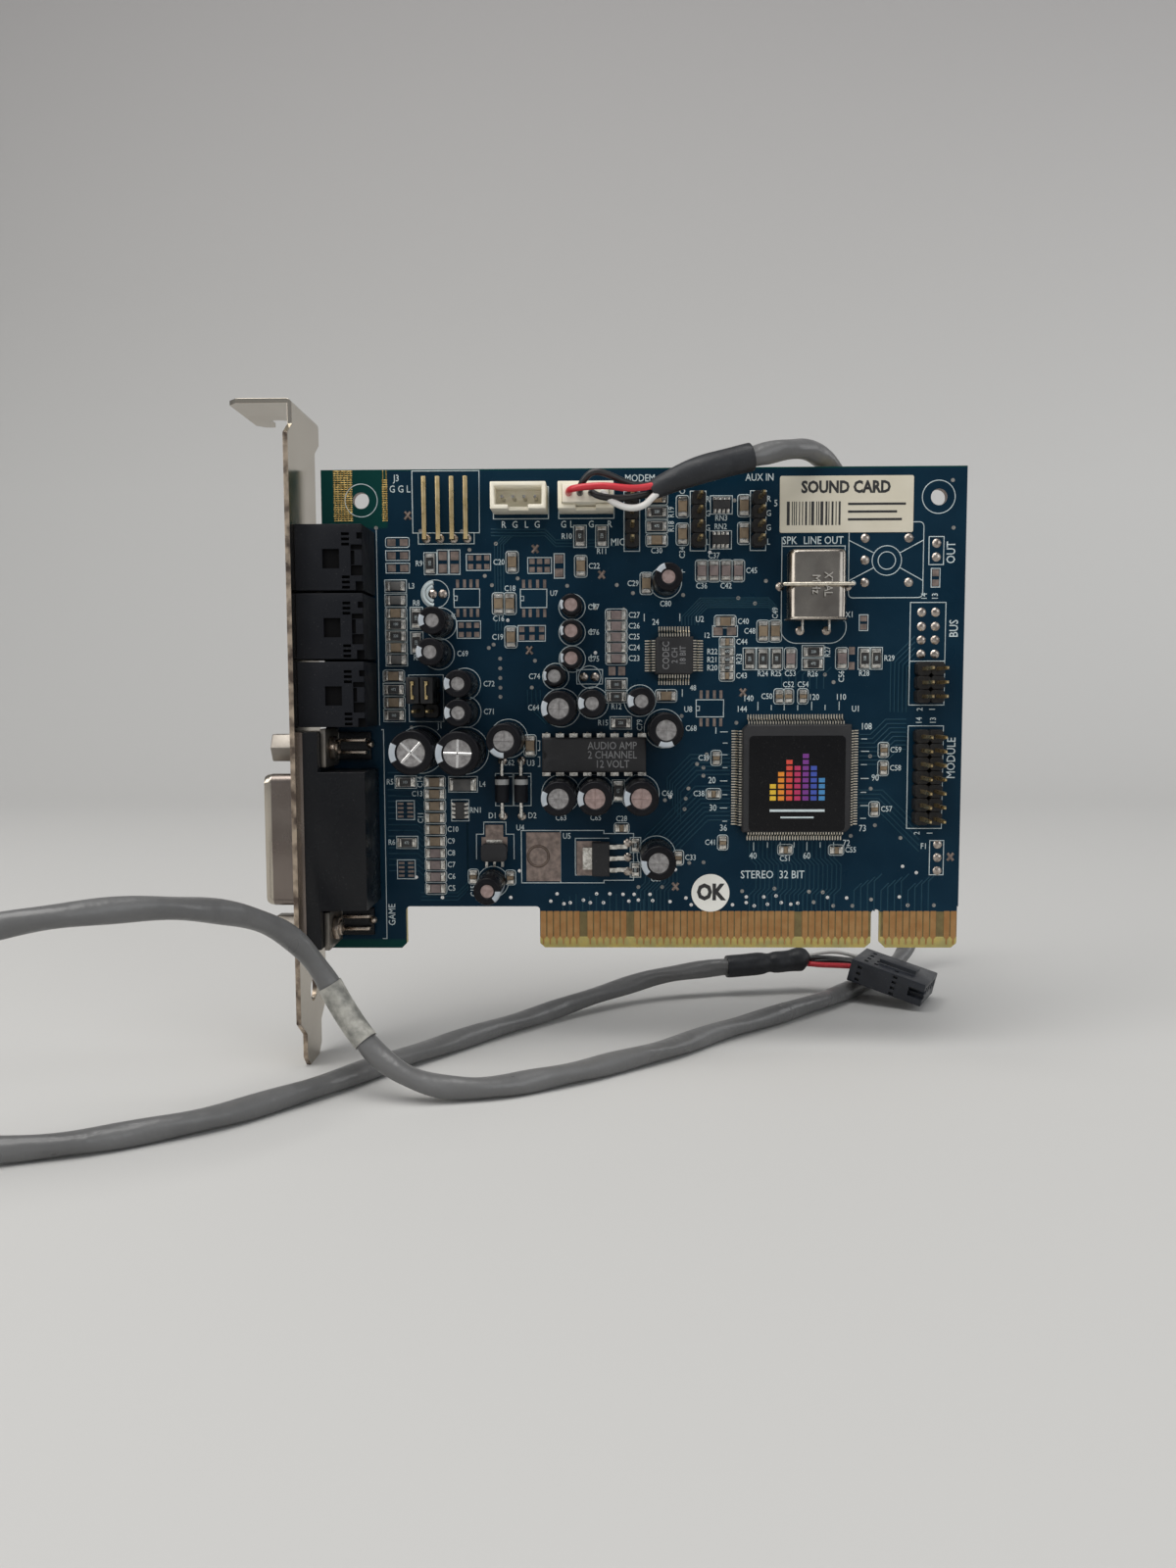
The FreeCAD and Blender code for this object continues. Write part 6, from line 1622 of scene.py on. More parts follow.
def can_circles():
    """Every upright capacitor's middle and radius."""
    circles = []
    for size in CAPACITOR_SIZES:
        for low, high in solids("capacitor_sleeves_" + size):
            circles.append(((low.x + high.x) / 2, (low.z + high.z) / 2, (high.x - low.x) / 2))
    return circles


def grown(room, by):
    """A piece of board, as its left, lowest, right and highest, grown on every side."""
    x0, z0, x1, z1 = room
    return (x0 - by, z0 - by, x1 + by, z1 + by)


def shares_room(first, second):
    return first[0] < second[2] and second[0] < first[2] and first[1] < second[3] and second[1] < first[3]


def word_room(text, x, z, height, turn):
    """The piece of board a printed word takes."""
    half_long, half_tall = 0.36 * height * len(text), 0.56 * height
    if turn:
        half_long, half_tall = half_tall, half_long
    return (x - half_long, z - half_tall, x + half_long, z + half_tall)


def taken_rooms(outlines, circles, words, marks):
    """The pieces of board that parts, pads, words and printed lines take."""
    taken = [room for _, room in outlines]
    taken += [grown((x - r, z - r, x + r, z + r), 0.6) for x, z, r in circles]
    for low, high in map(box_of, COVERED_NODES):
        taken.append(grown((low.x, low.z, high.x, high.z), 0.3))
    for low, high in solids("pin_header_bases"):
        taken.append((low.x - 1, low.z - 0.6, high.x + 1.4, high.z + 0.6))
    for x, z, wide, tall in BARE_PADS:
        taken.append(grown((x - wide / 2, z - tall / 2, x + wide / 2, z + tall / 2), 0.4))
    taken += [word_room(*word) for word in words]
    for mark in marks:
        xs, zs = zip(*mark)
        taken.append(grown((min(xs), min(zs), max(xs), max(zs)), 0.1))
    return taken


def spots_beside(text, room):
    """Where a part's letters may stand, best first: place and turn."""
    x0, z0, x1, z1 = room
    long, tall = 0.74 * len(text), 1.1
    x, z = (x0 + x1) / 2, (z0 + z1) / 2
    return (
        (x1 + long / 2 + 0.2, z, 0), (x0 - long / 2 - 0.2, z, 0), (x, z0 - tall / 2 - 0.2, 0),
        (x, z1 + tall / 2 + 0.2, 0), (x, z0 - long / 2 - 0.2, 90), (x, z1 + long / 2 + 0.2, 90),
        (x1 + tall / 2 + 0.15, z, 90), (x0 - tall / 2 - 0.15, z, 90))


def designators(outlines, circles, words, marks):
    """A letter and a number beside each part, wherever there is free board for it."""
    taken = taken_rooms(outlines, circles, words, marks)
    parts = outlines + [("C", grown((x - r, z - r, x + r, z + r), 0.7)) for x, z, r in circles]
    left, lowest, right, highest = LETTER_FIELD
    counts = {}
    found = []
    for letter, part_room in parts:
        counts[letter] = counts.get(letter, 0) + 1
        text = letter + str(counts[letter])
        for x, z, turn in spots_beside(text, part_room):
            room = word_room(text, x, z, MARK_HEIGHT, turn)
            on_field = left < room[0] and room[2] < right and lowest < room[1] and room[3] < highest
            if on_field and not any(shares_room(room, other) for other in taken):
                taken.append(room)
                found.append((text, x, z, MARK_HEIGHT, turn))
                break
    return found


# Square outlines on the board: left, lowest, right and highest
PRINTED_BOXES = [
    (-62.5, 78.0, -50.1, 89.3), (-47.5, 80.5, -37.3, 86.3), (-35.4, 80.5, -25.2, 86.3),
    (-63.7, 43.1, -57.2, 51.8), (29.6, 22.8, 36.1, 42.0), (29.6, 45.9, 36.1, 64.8),
    (32.8, 71.7, 35.5, 76.8), (34.0, 14.0, 36.6, 20.5), (-47.6, 27.2, -44.3, 33.3),
    (-44.1, 27.2, -40.9, 33.3), (-42.8, 12.5, -35.4, 22.5), (-66.4, 24.6, -63.0, 28.2),
    (-66.4, 13.3, -63.0, 16.9), (-55.0, 64.3, -50.2, 67.7), (-42.6, 64.2, -37.7, 67.6),
    (-9.9, 43.8, -4.8, 47.0), (-32.2, 50.0, -27.4, 52.7), (-67.6, 73.0, -63.2, 74.8),
    (-67.6, 70.7, -63.2, 72.5), (-58.0, 70.4, -56.0, 74.9), (-55.8, 70.4, -53.8, 74.9),
    (-52.6, 71.1, -48.1, 74.1), (-41.2, 70.5, -36.8, 73.4), (-36.3, 69.6, -34.4, 74.1),
    (-43.1, 58.0, -38.0, 60.9), (-54.5, 58.6, -50.1, 61.8), (-6.9, 58.7, -2.3, 60.7),
    (20.2, 59.7, 21.8, 62.6), (33.3, 67.6, 34.9, 71.0),
]
# All outlines on the board, as runs of x and z
PRINTED_FRAMES = [
    *(frame_line(*box) for box in PRINTED_BOXES),
    [(-61.5, 78.0), (-61.5, 76.0), (-51.1, 76.0), (-51.1, 78.0)],
    [(-69.0, 41.6), (-68.6, 41.6), (-68.6, 1.8), (-69.4, 1.8)], [(-69.3, 78.6), (-69.3, 42.4)],
    [(29.6, 54.0), (36.1, 54.0)], frame_line(18.1, 65.7, 31.8, 79.5, 0.8), [(18.1, 76.2), (22.7, 73.9)],
    [(18.1, 68.8), (22.7, 71.2)], [(31.8, 76.2), (27.5, 73.9)], [(31.8, 68.8), (27.5, 71.2)],
    ring(25.1, 72.5, 1.6), ring(25.1, 72.5, 2.7), ring(19.0, 68.4, 0.4, steps=16),
    [(5.8, 76.9), (5.8, 75.2), (17.4, 75.2), (17.4, 61.4)], [(5.8, 75.2), (5.8, 61.4)],
    ring(8.6, 60.4, 3.0, 160, 110) + ring(14.8, 60.4, 3.0, 270, 110), [(-47.6, 32.7), (-44.3, 32.7)],
    [(-44.1, 32.7), (-40.9, 32.7)],
    [(-35.4, 22.5), (-27.2, 22.5), (-27.2, 21.9), (-21.6, 21.9), (-21.6, 13.0), (-27.2, 13.0),
     (-27.2, 12.5), (-35.4, 12.5)],
    [(-26.2, 21.0), (-32.6, 21.0), (-32.6, 14.0), (-26.2, 14.0)],
    [(-51.3, 17.0), (-51.3, 21.8), (-49.9, 21.8), (-49.9, 24.1), (-45.7, 24.1), (-45.7, 21.8),
     (-44.2, 21.8), (-44.2, 17.0)],
    ring(-58.5, 66.8, 2.6), ring(-29.8, 51.3, 2.1), frame_line(-67.6, 75.4, -63.2, 77.2, 0.4),
    [(-39.6, 39.4), (-39.2, 39.4), (-39.2, 37.6), (-39.6, 37.6)],
    [(-39.6, 36.4), (-39.2, 36.4), (-39.2, 34.6), (-39.6, 34.6)], [(-19.6, 61.6), (-19.6, 63.0)],
    [(-13.0, 61.6), (-13.0, 63.0)], [(-12.5, 49.0), (-12.5, 47.6)], [(-15.4, 49.0), (-15.4, 47.6)],
]
PIN_TICKS = (
    [[(-5.4 + 0.5 * (i % 2), z), (-4.0, z)]
     for i, z in enumerate((41.0, 38.9, 36.7, 34.3, 31.8, 29.2, 26.7, 24.2))]
    + [[(20.9, z), (22.0 + 0.4 * (i % 2), z)]
       for i, z in enumerate((39.6, 37.3, 34.8, 32.2, 29.6, 27.1, 24.7))]
    + [[(x, 45.0), (x, 46.6 - 0.6 * (i % 2))] for i, x in enumerate((1.6, 4.1, 6.5, 9.0, 11.6, 14.1, 16.7))]
    + [[(x, 18.6 + 0.6 * (i % 2)), (x, 20.2)] for i, x in enumerate((1.0, 3.6, 6.0, 8.6, 11.0, 13.5, 16.0))]
)
PLUS_MARKS = [(-29.0, 64.5), (-29.5, 59.8), (-29.5, 55.0), (-12.6, 70.6), (-53.0, 50.1), (-53.0, 44.9)]
# Words on the board: text, place, letter height and turn
HEADER_LETTERS = [
    (letter, x, 79.4, 1.25, 0)
    for letter, x in zip("RGLGGLGR", (-45.6, -43.5, -41.4, -39.4, -34.5, -33.0, -29.4, -26.0))]
PIN_LETTERS = [
    (letter, x, z, 1.1, 0) for x in (-7.9, 3.3) for letter, z in zip("RGGL", (83.8, 81.2, 78.6, 76.0))]
PRINTED_WORDS = [
    ("GAME", -67.5, 6.4, 1.3, 90), ("J3", -65.4, 88.0, 1.2, 0), ("G G L", -64.8, 86.0, 1.3, 0),
    *HEADER_LETTERS, ("MODEM", -20.4, 87.7, 1.3, 0), ("MIC", -24.5, 76.1, 1.3, 0),
    ("TV IN", -8.3, 87.7, 1.2, 0), ("AUX IN", 1.6, 87.7, 1.3, 0), *PIN_LETTERS,
    ("SPK", 7.2, 76.2, 1.4, 0), ("LINE OUT", 13.4, 76.2, 1.4, 0), ("OUT", 36.9, 73.9, 1.6, 90),
    ("BUS", 37.7, 60.0, 1.6, 90), ("MODULE", 37.7, 36.0, 1.6, 90), ("14", 32.1, 65.9, 1.1, 90),
    ("13", 34.1, 65.9, 1.1, 90), ("2", 31.7, 45.1, 1.1, 90), ("1", 34.0, 45.1, 1.1, 90),
    ("14", 31.6, 43.0, 1.1, 90), ("13", 34.2, 43.0, 1.1, 90), ("2", 31.6, 21.9, 1.1, 90),
    ("1", 34.0, 21.9, 1.1, 90), ("1", -6.2, 41.2, 1.2, 0), ("20", -6.9, 31.9, 1.2, 0),
    ("30", -6.7, 26.7, 1.2, 0), ("36", -4.7, 22.9, 1.2, 0), ("108", 21.8, 41.9, 1.2, 0),
    ("90", 23.6, 32.3, 1.2, 0), ("73", 21.4, 22.8, 1.2, 0), ("144", -1.4, 45.2, 1.1, 0),
    ("140", -0.2, 47.2, 1.1, 0), ("120", 12.0, 47.4, 1.1, 0), ("110", 17.0, 47.4, 1.1, 0),
    ("40", 0.9, 17.6, 1.2, 0), ("60", 11.0, 17.6, 1.2, 0), ("72", 18.4, 20.0, 1.2, 0),
    ("24", -17.5, 61.4, 1.1, 0), ("12", -8.0, 58.9, 1.0, 0), ("48", -10.5, 49.2, 1.0, 0),
    ("U1", 19.8, 45.2, 1.1, 0), ("U2", -9.3, 61.9, 1.1, 0), ("U3", -40.9, 35.2, 1.1, 0),
    ("U4", -43.0, 23.0, 1.1, 0), ("U5", -34.2, 21.4, 1.1, 0), ("U6", -55.4, 62.6, 1.0, 0),
    ("U7", -36.4, 66.8, 1.0, 0), ("U8", -11.4, 45.2, 1.1, 0), ("D1", -48.2, 25.3, 1.1, 0),
    ("D2", -40.7, 25.3, 1.1, 0), ("X1", 18.4, 62.6, 1.1, 0), ("F1", 32.9, 19.4, 1.1, 0),
    ("J1", -57.9, 42.3, 1.1, 0), ("5", 4.6, 83.0, 1.2, 0), ("STEREO  32 BIT", 4.6, 14.0, 1.5, 0),
]


def board_print():
    """White print: outlines, ticks, polarity marks and the letters beside the parts."""
    outlines, circles = chip_outlines(), can_circles()
    lines = [frame_line(*room, 0.5 if letter == "C" else 0) for letter, room in outlines]
    lines += [ring(x, z, r + 0.45, steps=40) for x, z, r in circles]
    frames = PRINTED_FRAMES + [frame_line(low.x - 0.2, low.z - 0.45, high.x + 0.2, high.z + 0.3)
                               for low, high in solids("pin_header_bases") if high.x - low.x < 4]
    lines += frames + PIN_TICKS
    for x, z in PLUS_MARKS:
        lines += [[(x - 0.5, z), (x + 0.5, z)], [(x, z - 0.5), (x, z + 0.5)]]
    lines += [ring(x, 84.0, 3.0, steps=48) for x in (-72.0, 34.4)]
    lines += [[(x, z - 0.4), (x + 0.6, z - 0.4), (x + 0.6, z + 0.4), (x, z + 0.4)]
              for x, z in ((-55.0, 66.0), (-42.6, 65.9), (-9.9, 45.4))]
    crescent = [ring(-58.5, 66.8, 2.15, 98, 164), ring(-58.5, 66.8, 1.45, 105, 150)]
    words = PRINTED_WORDS + designators(outlines, circles, PRINTED_WORDS, PIN_TICKS + frames)
    piece = joined([flat_lines("board_print", lines, PRINT_LINE, PRINT_FRONT),
                    flat_lines("board_print", crescent, 0.9, PRINT_FRONT),
                    lettering("board_print", words, PRINT_FRONT)])
    kept(piece, "board_print", [SILK_WHITE])


def paper(node, name, corner, finish):
    """A label with rounded corners and a soft edge."""
    piece = cuboid(*box_of(node))
    edit(piece)
    pick_edges(piece, stands_out)
    bpy.ops.mesh.bevel(offset=corner * MM, segments=5)
    leave()
    return kept(eased(piece, 0.03, 1), name, [finish], [node])


def inked_bars(name, bars, y, finishes):
    """Small printed blocks, each with its corners and the number of its ink."""
    block = sloped_block(0.97)
    pieces = []
    for x0, z0, x1, z1, number in bars:
        bar = stretched(block, (x0, y - 0.02, z0), (x1, y + 0.02, z1))
        dress(bar, finishes)
        paint(bar, anywhere, number)
        pieces.append(bar)
    bpy.data.objects.remove(block)
    return kept(joined(pieces), name, finishes)


def printed_words(name, words, y, weight, finish):
    """Words on a label or a part, as a piece of their own."""
    kept(lettering(name, words, y, weight), name, [finish])


# The bars at the label's left, and the rules beside them: the foot and right end of each
BARS_LEFT, BARS_RIGHT, BARS_FOOT, BARS_TOP = 6.6, 16.2, 79.0, 83.3
BAR_WIDTHS, BAR_GAPS = (0.18, 0.18, 0.36, 0.54), (0.2, 0.2, 0.38)
RULE_LEFT, RULE_HIGH, RULES = 17.8, 0.42, ((82.6, 28.4), (81.2, 26.8), (79.8, 27.7))


def labels():
    """A cream label with made-up bars and rules, and a round one."""
    paper("board_label", "board_label_paper", 0.35, LABEL_PAPER)
    bars, x = [], BARS_LEFT
    while x < BARS_RIGHT:
        wide = dice.choice(BAR_WIDTHS)
        bars.append((x, BARS_FOOT, x + wide, BARS_TOP, 0))
        x += wide + dice.choice(BAR_GAPS)
    bars += [(RULE_LEFT, z, right, z + RULE_HIGH, 0) for z, right in RULES]
    inked_bars("board_label_bars", bars, -0.12, [LABEL_INK])
    printed_words("board_label_words", [("SOUND CARD", 17.4, 85.8, 2.1, 0)], -0.125, 0.12, LABEL_INK)
    disc = eased(skin_of("round_label"), 0.04, 1)
    kept(disc, "round_label_paper", [ROUND_PAPER], ["round_label"])
    printed_words("round_label_words", [("OK", -7.08, 10.6, 2.9, 0)], -0.125, 0.2, LABEL_INK)


METER_HEIGHTS = (3, 5, 7, 6, 8, 6, 4)
METER_LEFT, METER_FOOT, METER_STEP_X, METER_STEP_Z = 3.5, 28.4, 1.5, 1.12


def chip_label():
    """A glossy black label with a level meter in bright inks and two white rules below it."""
    paper("sound_chip_label", "chip_label_film", 0.8, LABEL_FILM)
    bars = []
    for column, height in enumerate(METER_HEIGHTS):
        for step in range(height):
            x, z = METER_LEFT + column * METER_STEP_X, METER_FOOT + step * METER_STEP_Z
            bars.append((x, z, x + 1.12, z + 0.8, column))
    white = len(METER_INKS)
    bars += [(3.5, 26.3, 13.62, 26.75, white), (5.5, 25.1, 11.62, 25.4, white)]
    inked_bars("chip_label_print", bars, -3.3, METER_INKS + [SILK_WHITE])


def chip_marking():
    """Plain words on the amplifier, the codec and the crystal."""
    lines = (("AUDIO AMP", 38.6), ("2 CHANNEL", 36.9), ("12 VOLT", 35.2))
    amplifier = lettering("chip_marking", [(line, -25.6, z, 1.4, 0) for line, z in lines], -3.905)
    front = box_of("codec_body")[0].y
    codec = lettering("chip_marking", [("CODEC", -15.6, 55.2, 1.25, 90), ("2 CH", -14.0, 55.2, 1.1, 90),
                                       ("18 BIT", -12.5, 55.2, 1.1, 90)], front - 0.005)
    kept(joined([amplifier, codec]), "chip_marking", [CHIP_PRINT])
    printed_words("crystal_marking", [("XTAL", 13.4, 67.8, 1.5, -90), ("MHz", 11.2, 67.8, 1.5, -90)],
                  -5.305, 0.01, CRYSTAL_PRINT)


def resistor_values():
    """A value on every resistor, along its length."""
    values = []
    for number, (low, high) in enumerate(solids("chip_resistors")):
        wide, tall = high.x - low.x, high.z - low.z
        x, _, z = seat(low, high)
        turn = 0 if (wide > tall) == (max(wide, tall) > 2) or max(wide, tall) < 0.9 else 90
        value = ("103", "472", "220", "100")[number % 4]
        values.append(lettering("resistor_values", [(value, x, z, 0.5, turn)], low.y - 0.005, 0))
    kept(joined(values), "resistor_values", [SILK_WHITE])


board_print()
labels()
chip_label()
chip_marking()
resistor_values()


# Copper: lines under the mask, plated holes, bare test marks and solder

# Copper lines under the mask, in runs side by side: each line's corners as x and z
FRONT_LINES = (
    [[(0.2 + 0.84 * i, 20.5), (0.2 + 0.84 * i, 17.2), (1.5 + 0.84 * i, 15.9), (1.5 + 0.84 * i, 11.4),
      (0.3 + 0.84 * i, 10.2), (0.3 + 0.84 * i, 7.1)] for i in range(20)]
    + [[(-3.5, 24.4 + 0.8 * i), (-7.6 - 0.3 * i, 24.4 + 0.8 * i), (-13.4 - 0.75 * i, 18.6 + 0.35 * i),
        (-13.4 - 0.75 * i, 12.6), (-15.0 - 0.75 * i, 11.0), (-15.0 - 0.75 * i, 7.1)] for i in range(9)]
    + [[(-3.5, 33.0 + 0.75 * i), (-9.5 - 0.3 * i, 33.0 + 0.75 * i), (-12.8 - 0.5 * i, 29.7 + 0.55 * i),
        (-12.8 - 0.5 * i, 24.0 + i)] for i in range(6)]
    + [[(20.5, 40.4 - 0.8 * i), (22.6 + 0.35 * i, 40.4 - 0.8 * i), (25.4 + 0.35 * i, 43.2 - 0.8 * i),
        (29.2, 43.2 - 0.8 * i)] for i in range(8)]
    + [[(20.5, 30.0 - 0.8 * i), (25.0 - 0.35 * i, 30.0 - 0.8 * i), (29.0, 26.0 - 1.15 * i),
        (32.0, 23.0 - 1.15 * i)] for i in range(5)]
    + [[(-12.6 + 0.6 * i, 60.8), (-12.6 + 0.6 * i, 62.4), (-9.2 + 0.25 * i, 65.8 - 0.35 * i),
        (3.4, 65.8 - 0.35 * i), (5.0, 64.2 - 0.35 * i)] for i in range(6)]
    + [[(-47.3 + 0.55 * i, 60.0), (-47.3 + 0.55 * i, 75.8), (-45.6 + 0.55 * i, 77.5)] for i in range(4)]
    + [[(26.2 + 0.75 * i, 44.6), (26.2 + 0.75 * i, 54.2 - 0.3 * i), (30.6, 58.6 - 1.05 * i)]
       for i in range(5)]
    + [[(-48.0, 77.4 + 0.6 * i), (-38.0, 77.4 + 0.6 * i), (-36.0, 75.4 + 0.6 * i), (-25.0, 75.4 + 0.6 * i)]
       for i in range(3)]
    + [[(-62.0, 9.2 + 0.7 * i), (-55.0, 9.2 + 0.7 * i), (-53.0, 11.2 + 0.7 * i), (-53.0, 24.0)]
       for i in range(3)]
    + [[(-68.0, 33.5 - 1.1 * i), (-62.4, 33.5 - 1.1 * i), (-61.6, 32.7 - 1.1 * i), (-57.0, 32.7 - 1.1 * i)]
       for i in range(18)]
    + [[(-41.4 + 0.8 * i, 49.0), (-41.4 + 0.8 * i, 46.0 + 0.4 * i), (-38.0 + 0.4 * i, 42.6)]
       for i in range(4)]
    + [[(-22.0 + 0.7 * i, 50.0), (-22.0 + 0.7 * i, 46.4), (-19.5 + 0.7 * i, 43.9), (-19.5 + 0.7 * i, 42.0)]
       for i in range(4)]
    + [[(6.0 + 1.3 * i, 49.0), (6.0 + 1.3 * i, 51.6), (7.4 + 1.3 * i, 53.0)] for i in range(7)]
    + [[(-35.0 + 1.27 * i, 7.1), (-35.0 + 1.27 * i, 9.4 + 0.5 * (i % 3))] for i in range(15)]
    + [[(20.0 + 1.27 * i, 7.1), (20.0 + 1.27 * i, 11.0 + 0.6 * (i % 4)),
        (21.4 + 1.27 * i, 12.4 + 0.6 * (i % 4))] for i in range(12)]
)
BACK_LINES = (
    [[(-30.0 + 1.27 * i, 7.1), (-30.0 + 1.27 * i, 14.0 + 0.7 * i), (-34.0 + 1.27 * i, 18.0 + 0.7 * i),
      (-34.0 + 1.27 * i, 60.0 - 0.9 * i)] for i in range(18)]
    + [[(1.27 * i, 7.1), (1.27 * i, 20.0 + 0.6 * i), (6.0 + i, 26.0 + 0.6 * i), (34.0, 26.0 + 0.6 * i)]
       for i in range(14)]
    + [[(-68.0, 70.0 - i), (-40.0, 70.0 - i), (-34.0, 76.0 - i), (10.0, 76.0 - i)] for i in range(10)]
    + [[(-64.0 + 1.1 * i, 12.0), (-64.0 + 1.1 * i, 34.0 + 0.8 * i), (-58.0 + 1.1 * i, 40.0 + 0.8 * i),
        (-58.0 + 1.1 * i, 56.0)] for i in range(9)]
    + [[(12.0 + i, 46.0), (12.0 + i, 58.0 + 0.5 * i), (20.0 + i, 66.0 + 0.5 * i), (36.0, 66.0 + 0.5 * i)]
       for i in range(8)]
)
BRIGHT_HOLES = [
    (-37.3, 9.0), (-36.1, 10.4), (-34.8, 8.5), (-33.6, 8.7), (-31.1, 9.2), (-29.8, 8.7), (-28.6, 10.4),
    (-27.3, 8.7), (-26.1, 10.4), (-23.6, 10.3), (-22.5, 9.0), (-21.5, 10.3), (-20.7, 9.2), (-18.5, 10.3),
    (-18.0, 9.1), (-14.7, 8.9), (-11.7, 9.6), (-10.7, 8.3), (-2.9, 8.3), (-0.3, 9.8), (-0.3, 8.7),
    (1.2, 8.1), (3.0, 9.8), (3.7, 8.4), (5.3, 10.0), (6.3, 8.7), (8.1, 8.4), (9.4, 8.6), (15.0, 9.7),
    (18.6, 9.6), (28.5, 9.8), (-14.7, 28.8), (-43.2, 14.8), (-44.9, 9.7), (-62.8, 13.6), (-57.9, 9.7),
    (-13.7, 15.0), (-45.0, 61.9), (-28.7, 55.8), (29.0, 15.6), (31.6, 14.4), (-7.5, 74.2),
]
DULL_HOLES = [
    (-46.5, 54.8), (-46.5, 53.0), (-46.5, 51.2), (-46.5, 49.4), (-46.5, 47.7), (-47.1, 76.0), (-49.2, 70.1),
    (-47.9, 68.4), (-43.1, 69.6), (-33.9, 68.2), (-24.7, 68.3), (-21.7, 66.8), (-28.7, 64.1), (-23.4, 63.8),
    (-40.0, 54.4), (-40.6, 49.4), (-48.6, 56.8), (-47.7, 57.4), (-63.3, 42.0), (-69.3, 79.0), (-53.4, 78.3),
    (-61.1, 78.4), (-7.9, 36.8), (-7.9, 35.9), (-9.7, 35.0), (-8.5, 34.3), (-8.5, 32.8), (-11.3, 30.4),
    (-11.8, 28.5), (-12.0, 26.5), (-15.7, 28.2), (22.6, 36.4), (22.8, 30.3), (23.7, 23.4), (28.5, 21.0),
    (19.2, 21.4), (-2.4, 42.7), (-12.6, 44.0), (15.6, 50.2), (14.0, 51.6), (-12.4, 66.4), (-2.2, 65.8),
    (0.9, 64.8), (2.9, 68.9), (11.5, 10.8), (14.1, 10.7), (12.4, 8.8), (16.1, 8.1), (19.7, 8.1),
    (23.2, 9.3), (30.1, 8.2), (35.0, 8.2), (-1.1, 10.9), (5.0, 11.4), (-16.2, 11.7), (-20.7, 11.7),
    (-11.1, 16.3), (-8.4, 16.4), (36.9, 87.0), (-5.9, 75.2), (-4.5, 75.2), (-3.0, 83.6), (37.2, 78.4),
    (-52.0, 74.9),
]
SOLDERED_HOLES = (
    [(x, z) for x in (31.7, 34.25) for z in (63.0, 60.4, 57.9, 55.3)]
    + [(21.1, 76.6), (29.1, 76.6), (21.1, 72.6), (21.1, 68.5), (29.2, 68.5), (34.2, 75.6), (34.2, 73.1)]
    + [(35.5, 19.75), (35.5, 17.25), (35.5, 14.75), (-59.0, 66.8), (-57.1, 66.8)]
    + [(-30.9, 51.3), (-28.8, 51.3), (-22.7, 20.1), (-22.7, 17.4), (-22.7, 14.7)]
)
TEST_MARKS = [(-63.4, 81.2), (-39.8, 75.0), (-27.5, 70.2), (-41.0, 56.3), (-1.2, 48.3), (37.9, 17.4),
              (-13.7, 11.8)]
# The gilt mesh beside the upper left hole: its upright lines, and the two stretches its level lines span
MESH_UPRIGHTS = (-76.9, -76.3, -75.7, -75.1, -74.5, -73.9, -67.9, -67.3)
MESH_LEFT, MESH_RIGHT = (-77.1, -73.6), (-68.1, -67.1)
MESH_FOOT, MESH_STEP, MESH_LEVELS = 80.3, 0.41, 23
# Half the distance between a capacitor's leads, from each least radius up
LEAD_HALVES = ((3.5, 1.75), (2.7, 1.25), (2.2, 1.0), (0, 0.75))
# Nodes whose leads come through the board
THROUGH_NODES = (
    "pin_header_pins", "angle_pins", "audio_header_pins", "amplifier_leads", "game_port_contacts",
    "jack_contacts", "crystal_leads", "crystal_strap", "diode_leads", "board_lock_upper", "board_lock_lower",
)


def hole_rim(radius, y, way):
    """A plated hole's rim: a low ring with a dished middle, on the front or the back."""
    rim = round_bar(0, 0, y - 0.03, y + 0.03, radius, 14)
    edit(rim)
    pick_faces(rim, lambda at, normal: normal.y * way > FACING)
    bpy.ops.mesh.inset(thickness=radius * 0.5 * MM)
    bpy.ops.transform.translate(value=spot(0, -0.018 * way, 0))
    leave()
    return rim


def solder_dome(base, tip, y, height, way):
    """A hole filled with solder, standing a little proud in a rounded dome."""
    near, far = (y - height, y + 0.02) if way < 0 else (y - 0.02, y + height)
    dome = round_bar(0, 0, near, far, base if way < 0 else tip, 14, tip if way < 0 else base)
    edit(dome)
    pick_faces(dome, lambda at, normal: normal.y * way > FACING)
    bpy.ops.mesh.bevel(offset=tip * 0.55 * MM, segments=2)
    leave()
    return smooth(dome, 60)


def on_board(places):
    return [(x, 0, z) for x, z in places]


def copper_lines(name, lines, width, y, finish, thickness=0.03):
    """Copper lines as a piece of their own."""
    kept(flat_lines(name, lines, width, y, thickness), name, [finish])


def mesh_lines():
    lines = [[(x, 80.2), (x, 89.5)] for x in MESH_UPRIGHTS]
    for step in range(MESH_LEVELS):
        z = MESH_FOOT + step * MESH_STEP
        lines.append([(x, z) for x in MESH_LEFT])
        if z < 88:
            lines.append([(x, z) for x in MESH_RIGHT])
    return lines


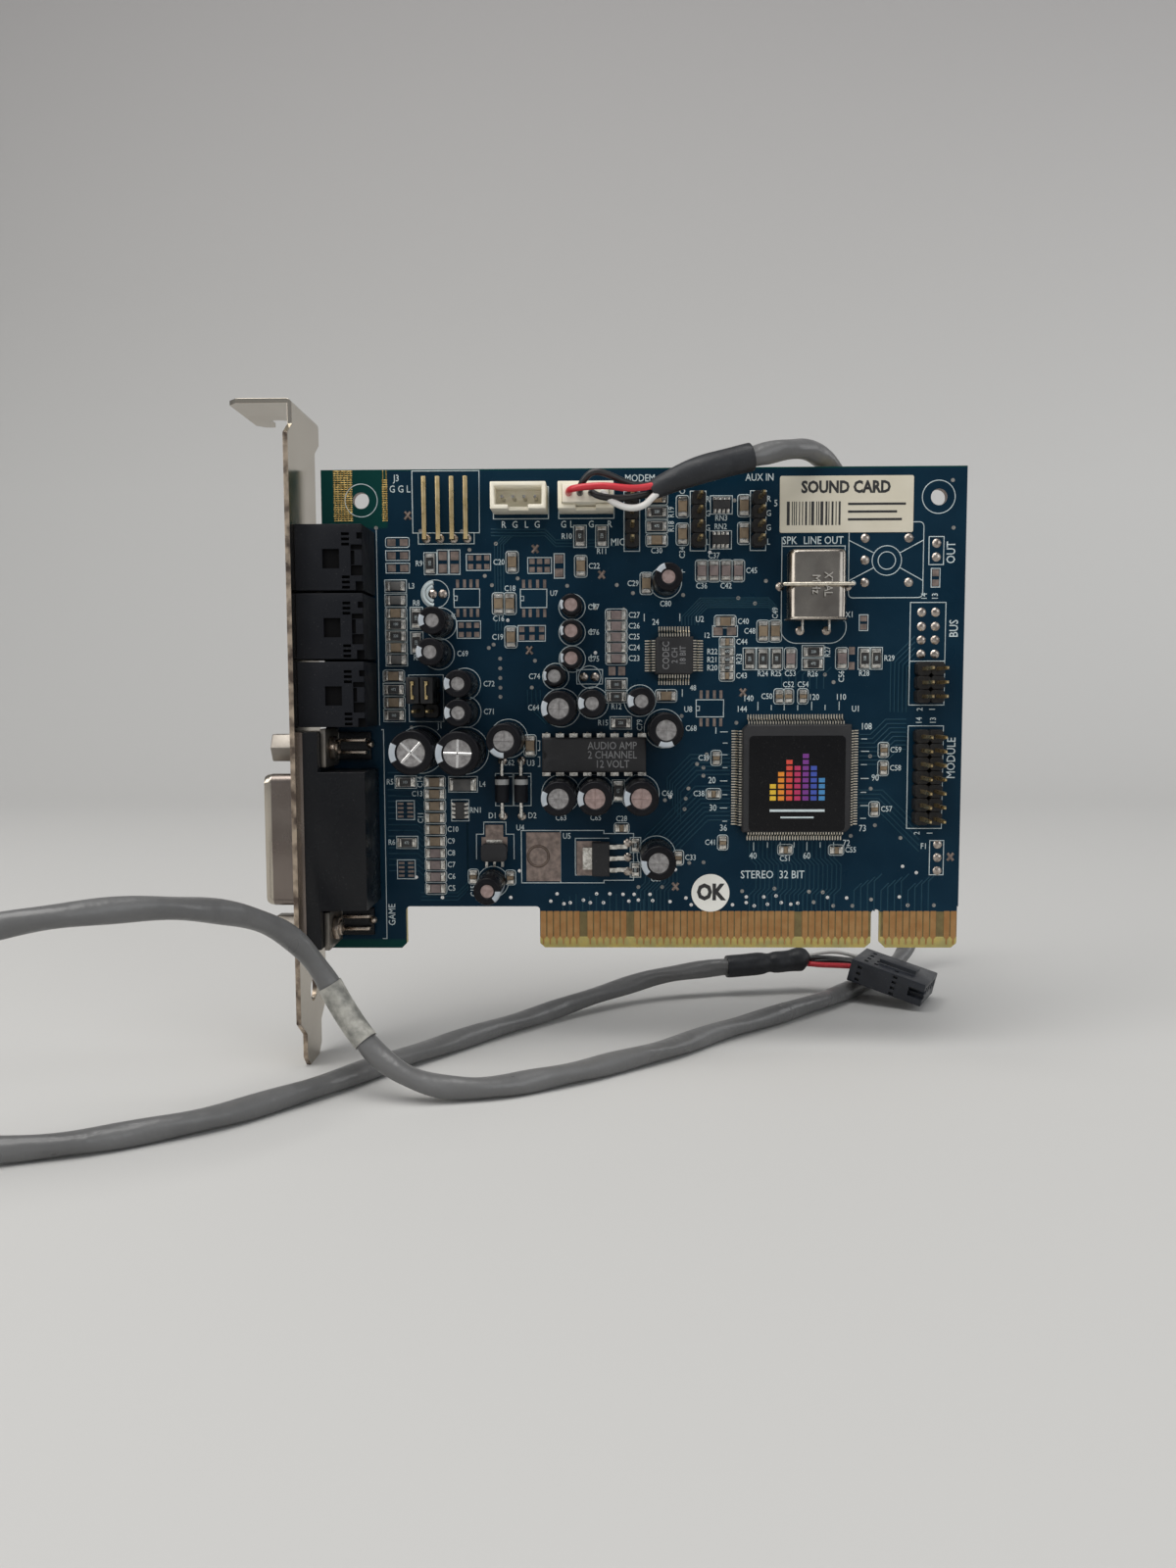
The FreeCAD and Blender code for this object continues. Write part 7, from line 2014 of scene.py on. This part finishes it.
def copper_and_holes():
    copper_lines("masked_lines_front", FRONT_LINES, 0.3, -0.005, TRACE_MASK)
    copper_lines("masked_lines_back", BACK_LINES, 0.34, BOARD_BACK + 0.005, TRACE_MASK)
    bright, dull = on_board(BRIGHT_HOLES), on_board(DULL_HOLES)
    kept(repeated(hole_rim(0.33, 0, -1), bright), "open_holes", [SCORE_HIGHLIGHT_AND_BARE_TIN])
    kept(repeated(hole_rim(0.36, 0, -1), dull), "masked_holes", [HOLE_MASK])
    kept(repeated(hole_rim(0.34, BOARD_BACK, 1), bright + dull), "holes_behind", [HOLE_MASK])
    feet = [((low.x + high.x) / 2, 0, low.z + 0.4) for low, high in solids("angle_pins")]
    feet += tails("crystal_leads") + tails("crystal_strap") + tails("diode_leads")
    domes = repeated(solder_dome(0.85, 0.5, 0, 0.3, -1), on_board(SOLDERED_HOLES) + feet)
    kept(domes, "solder_filled_holes", [OLD_SOLDER])
    stars = [[(x - 0.55, z - slope), (x + 0.55, z + slope)] for slope in (0.7, -0.7) for x, z in TEST_MARKS]
    copper_lines("test_marks", stars, 0.55, PRINT_FRONT, PAD_TIN)
    copper_lines("gilt_mesh", mesh_lines(), 0.21, -0.015, MESH_GILT)
    copper_lines("heat_pad_ring", [ring(-39.6, 17.6, 1.95)], 0.5, -0.085, RING_BROWN, 0.05)


def back_solder():
    """The joint round every lead that comes through, and the capacitors' cropped leads."""
    joints = [place for node in THROUGH_NODES for place in tails(node)]
    stubs = []
    for x, z, radius in can_circles():
        half = next(half for least, half in LEAD_HALVES if radius > least)
        stubs += [(x - half, 0, z), (x + half, 0, z)]
    lead = round_bar(0, 0, BOARD_BACK - 0.3, BOARD_BACK + 1.05, 0.27, 10)
    leads = repeated(eased(lead, 0.1, 1), stubs)
    cones = repeated(solder_dome(0.88, 0.42, BOARD_BACK, 0.72, 1), joints + stubs)
    domes = repeated(solder_dome(0.85, 0.5, BOARD_BACK, 0.3, 1), on_board(SOLDERED_HOLES))
    kept(joined([cones, domes, leads]), "back_solder", [BRIGHT_TIN])


copper_and_holes()
back_solder()
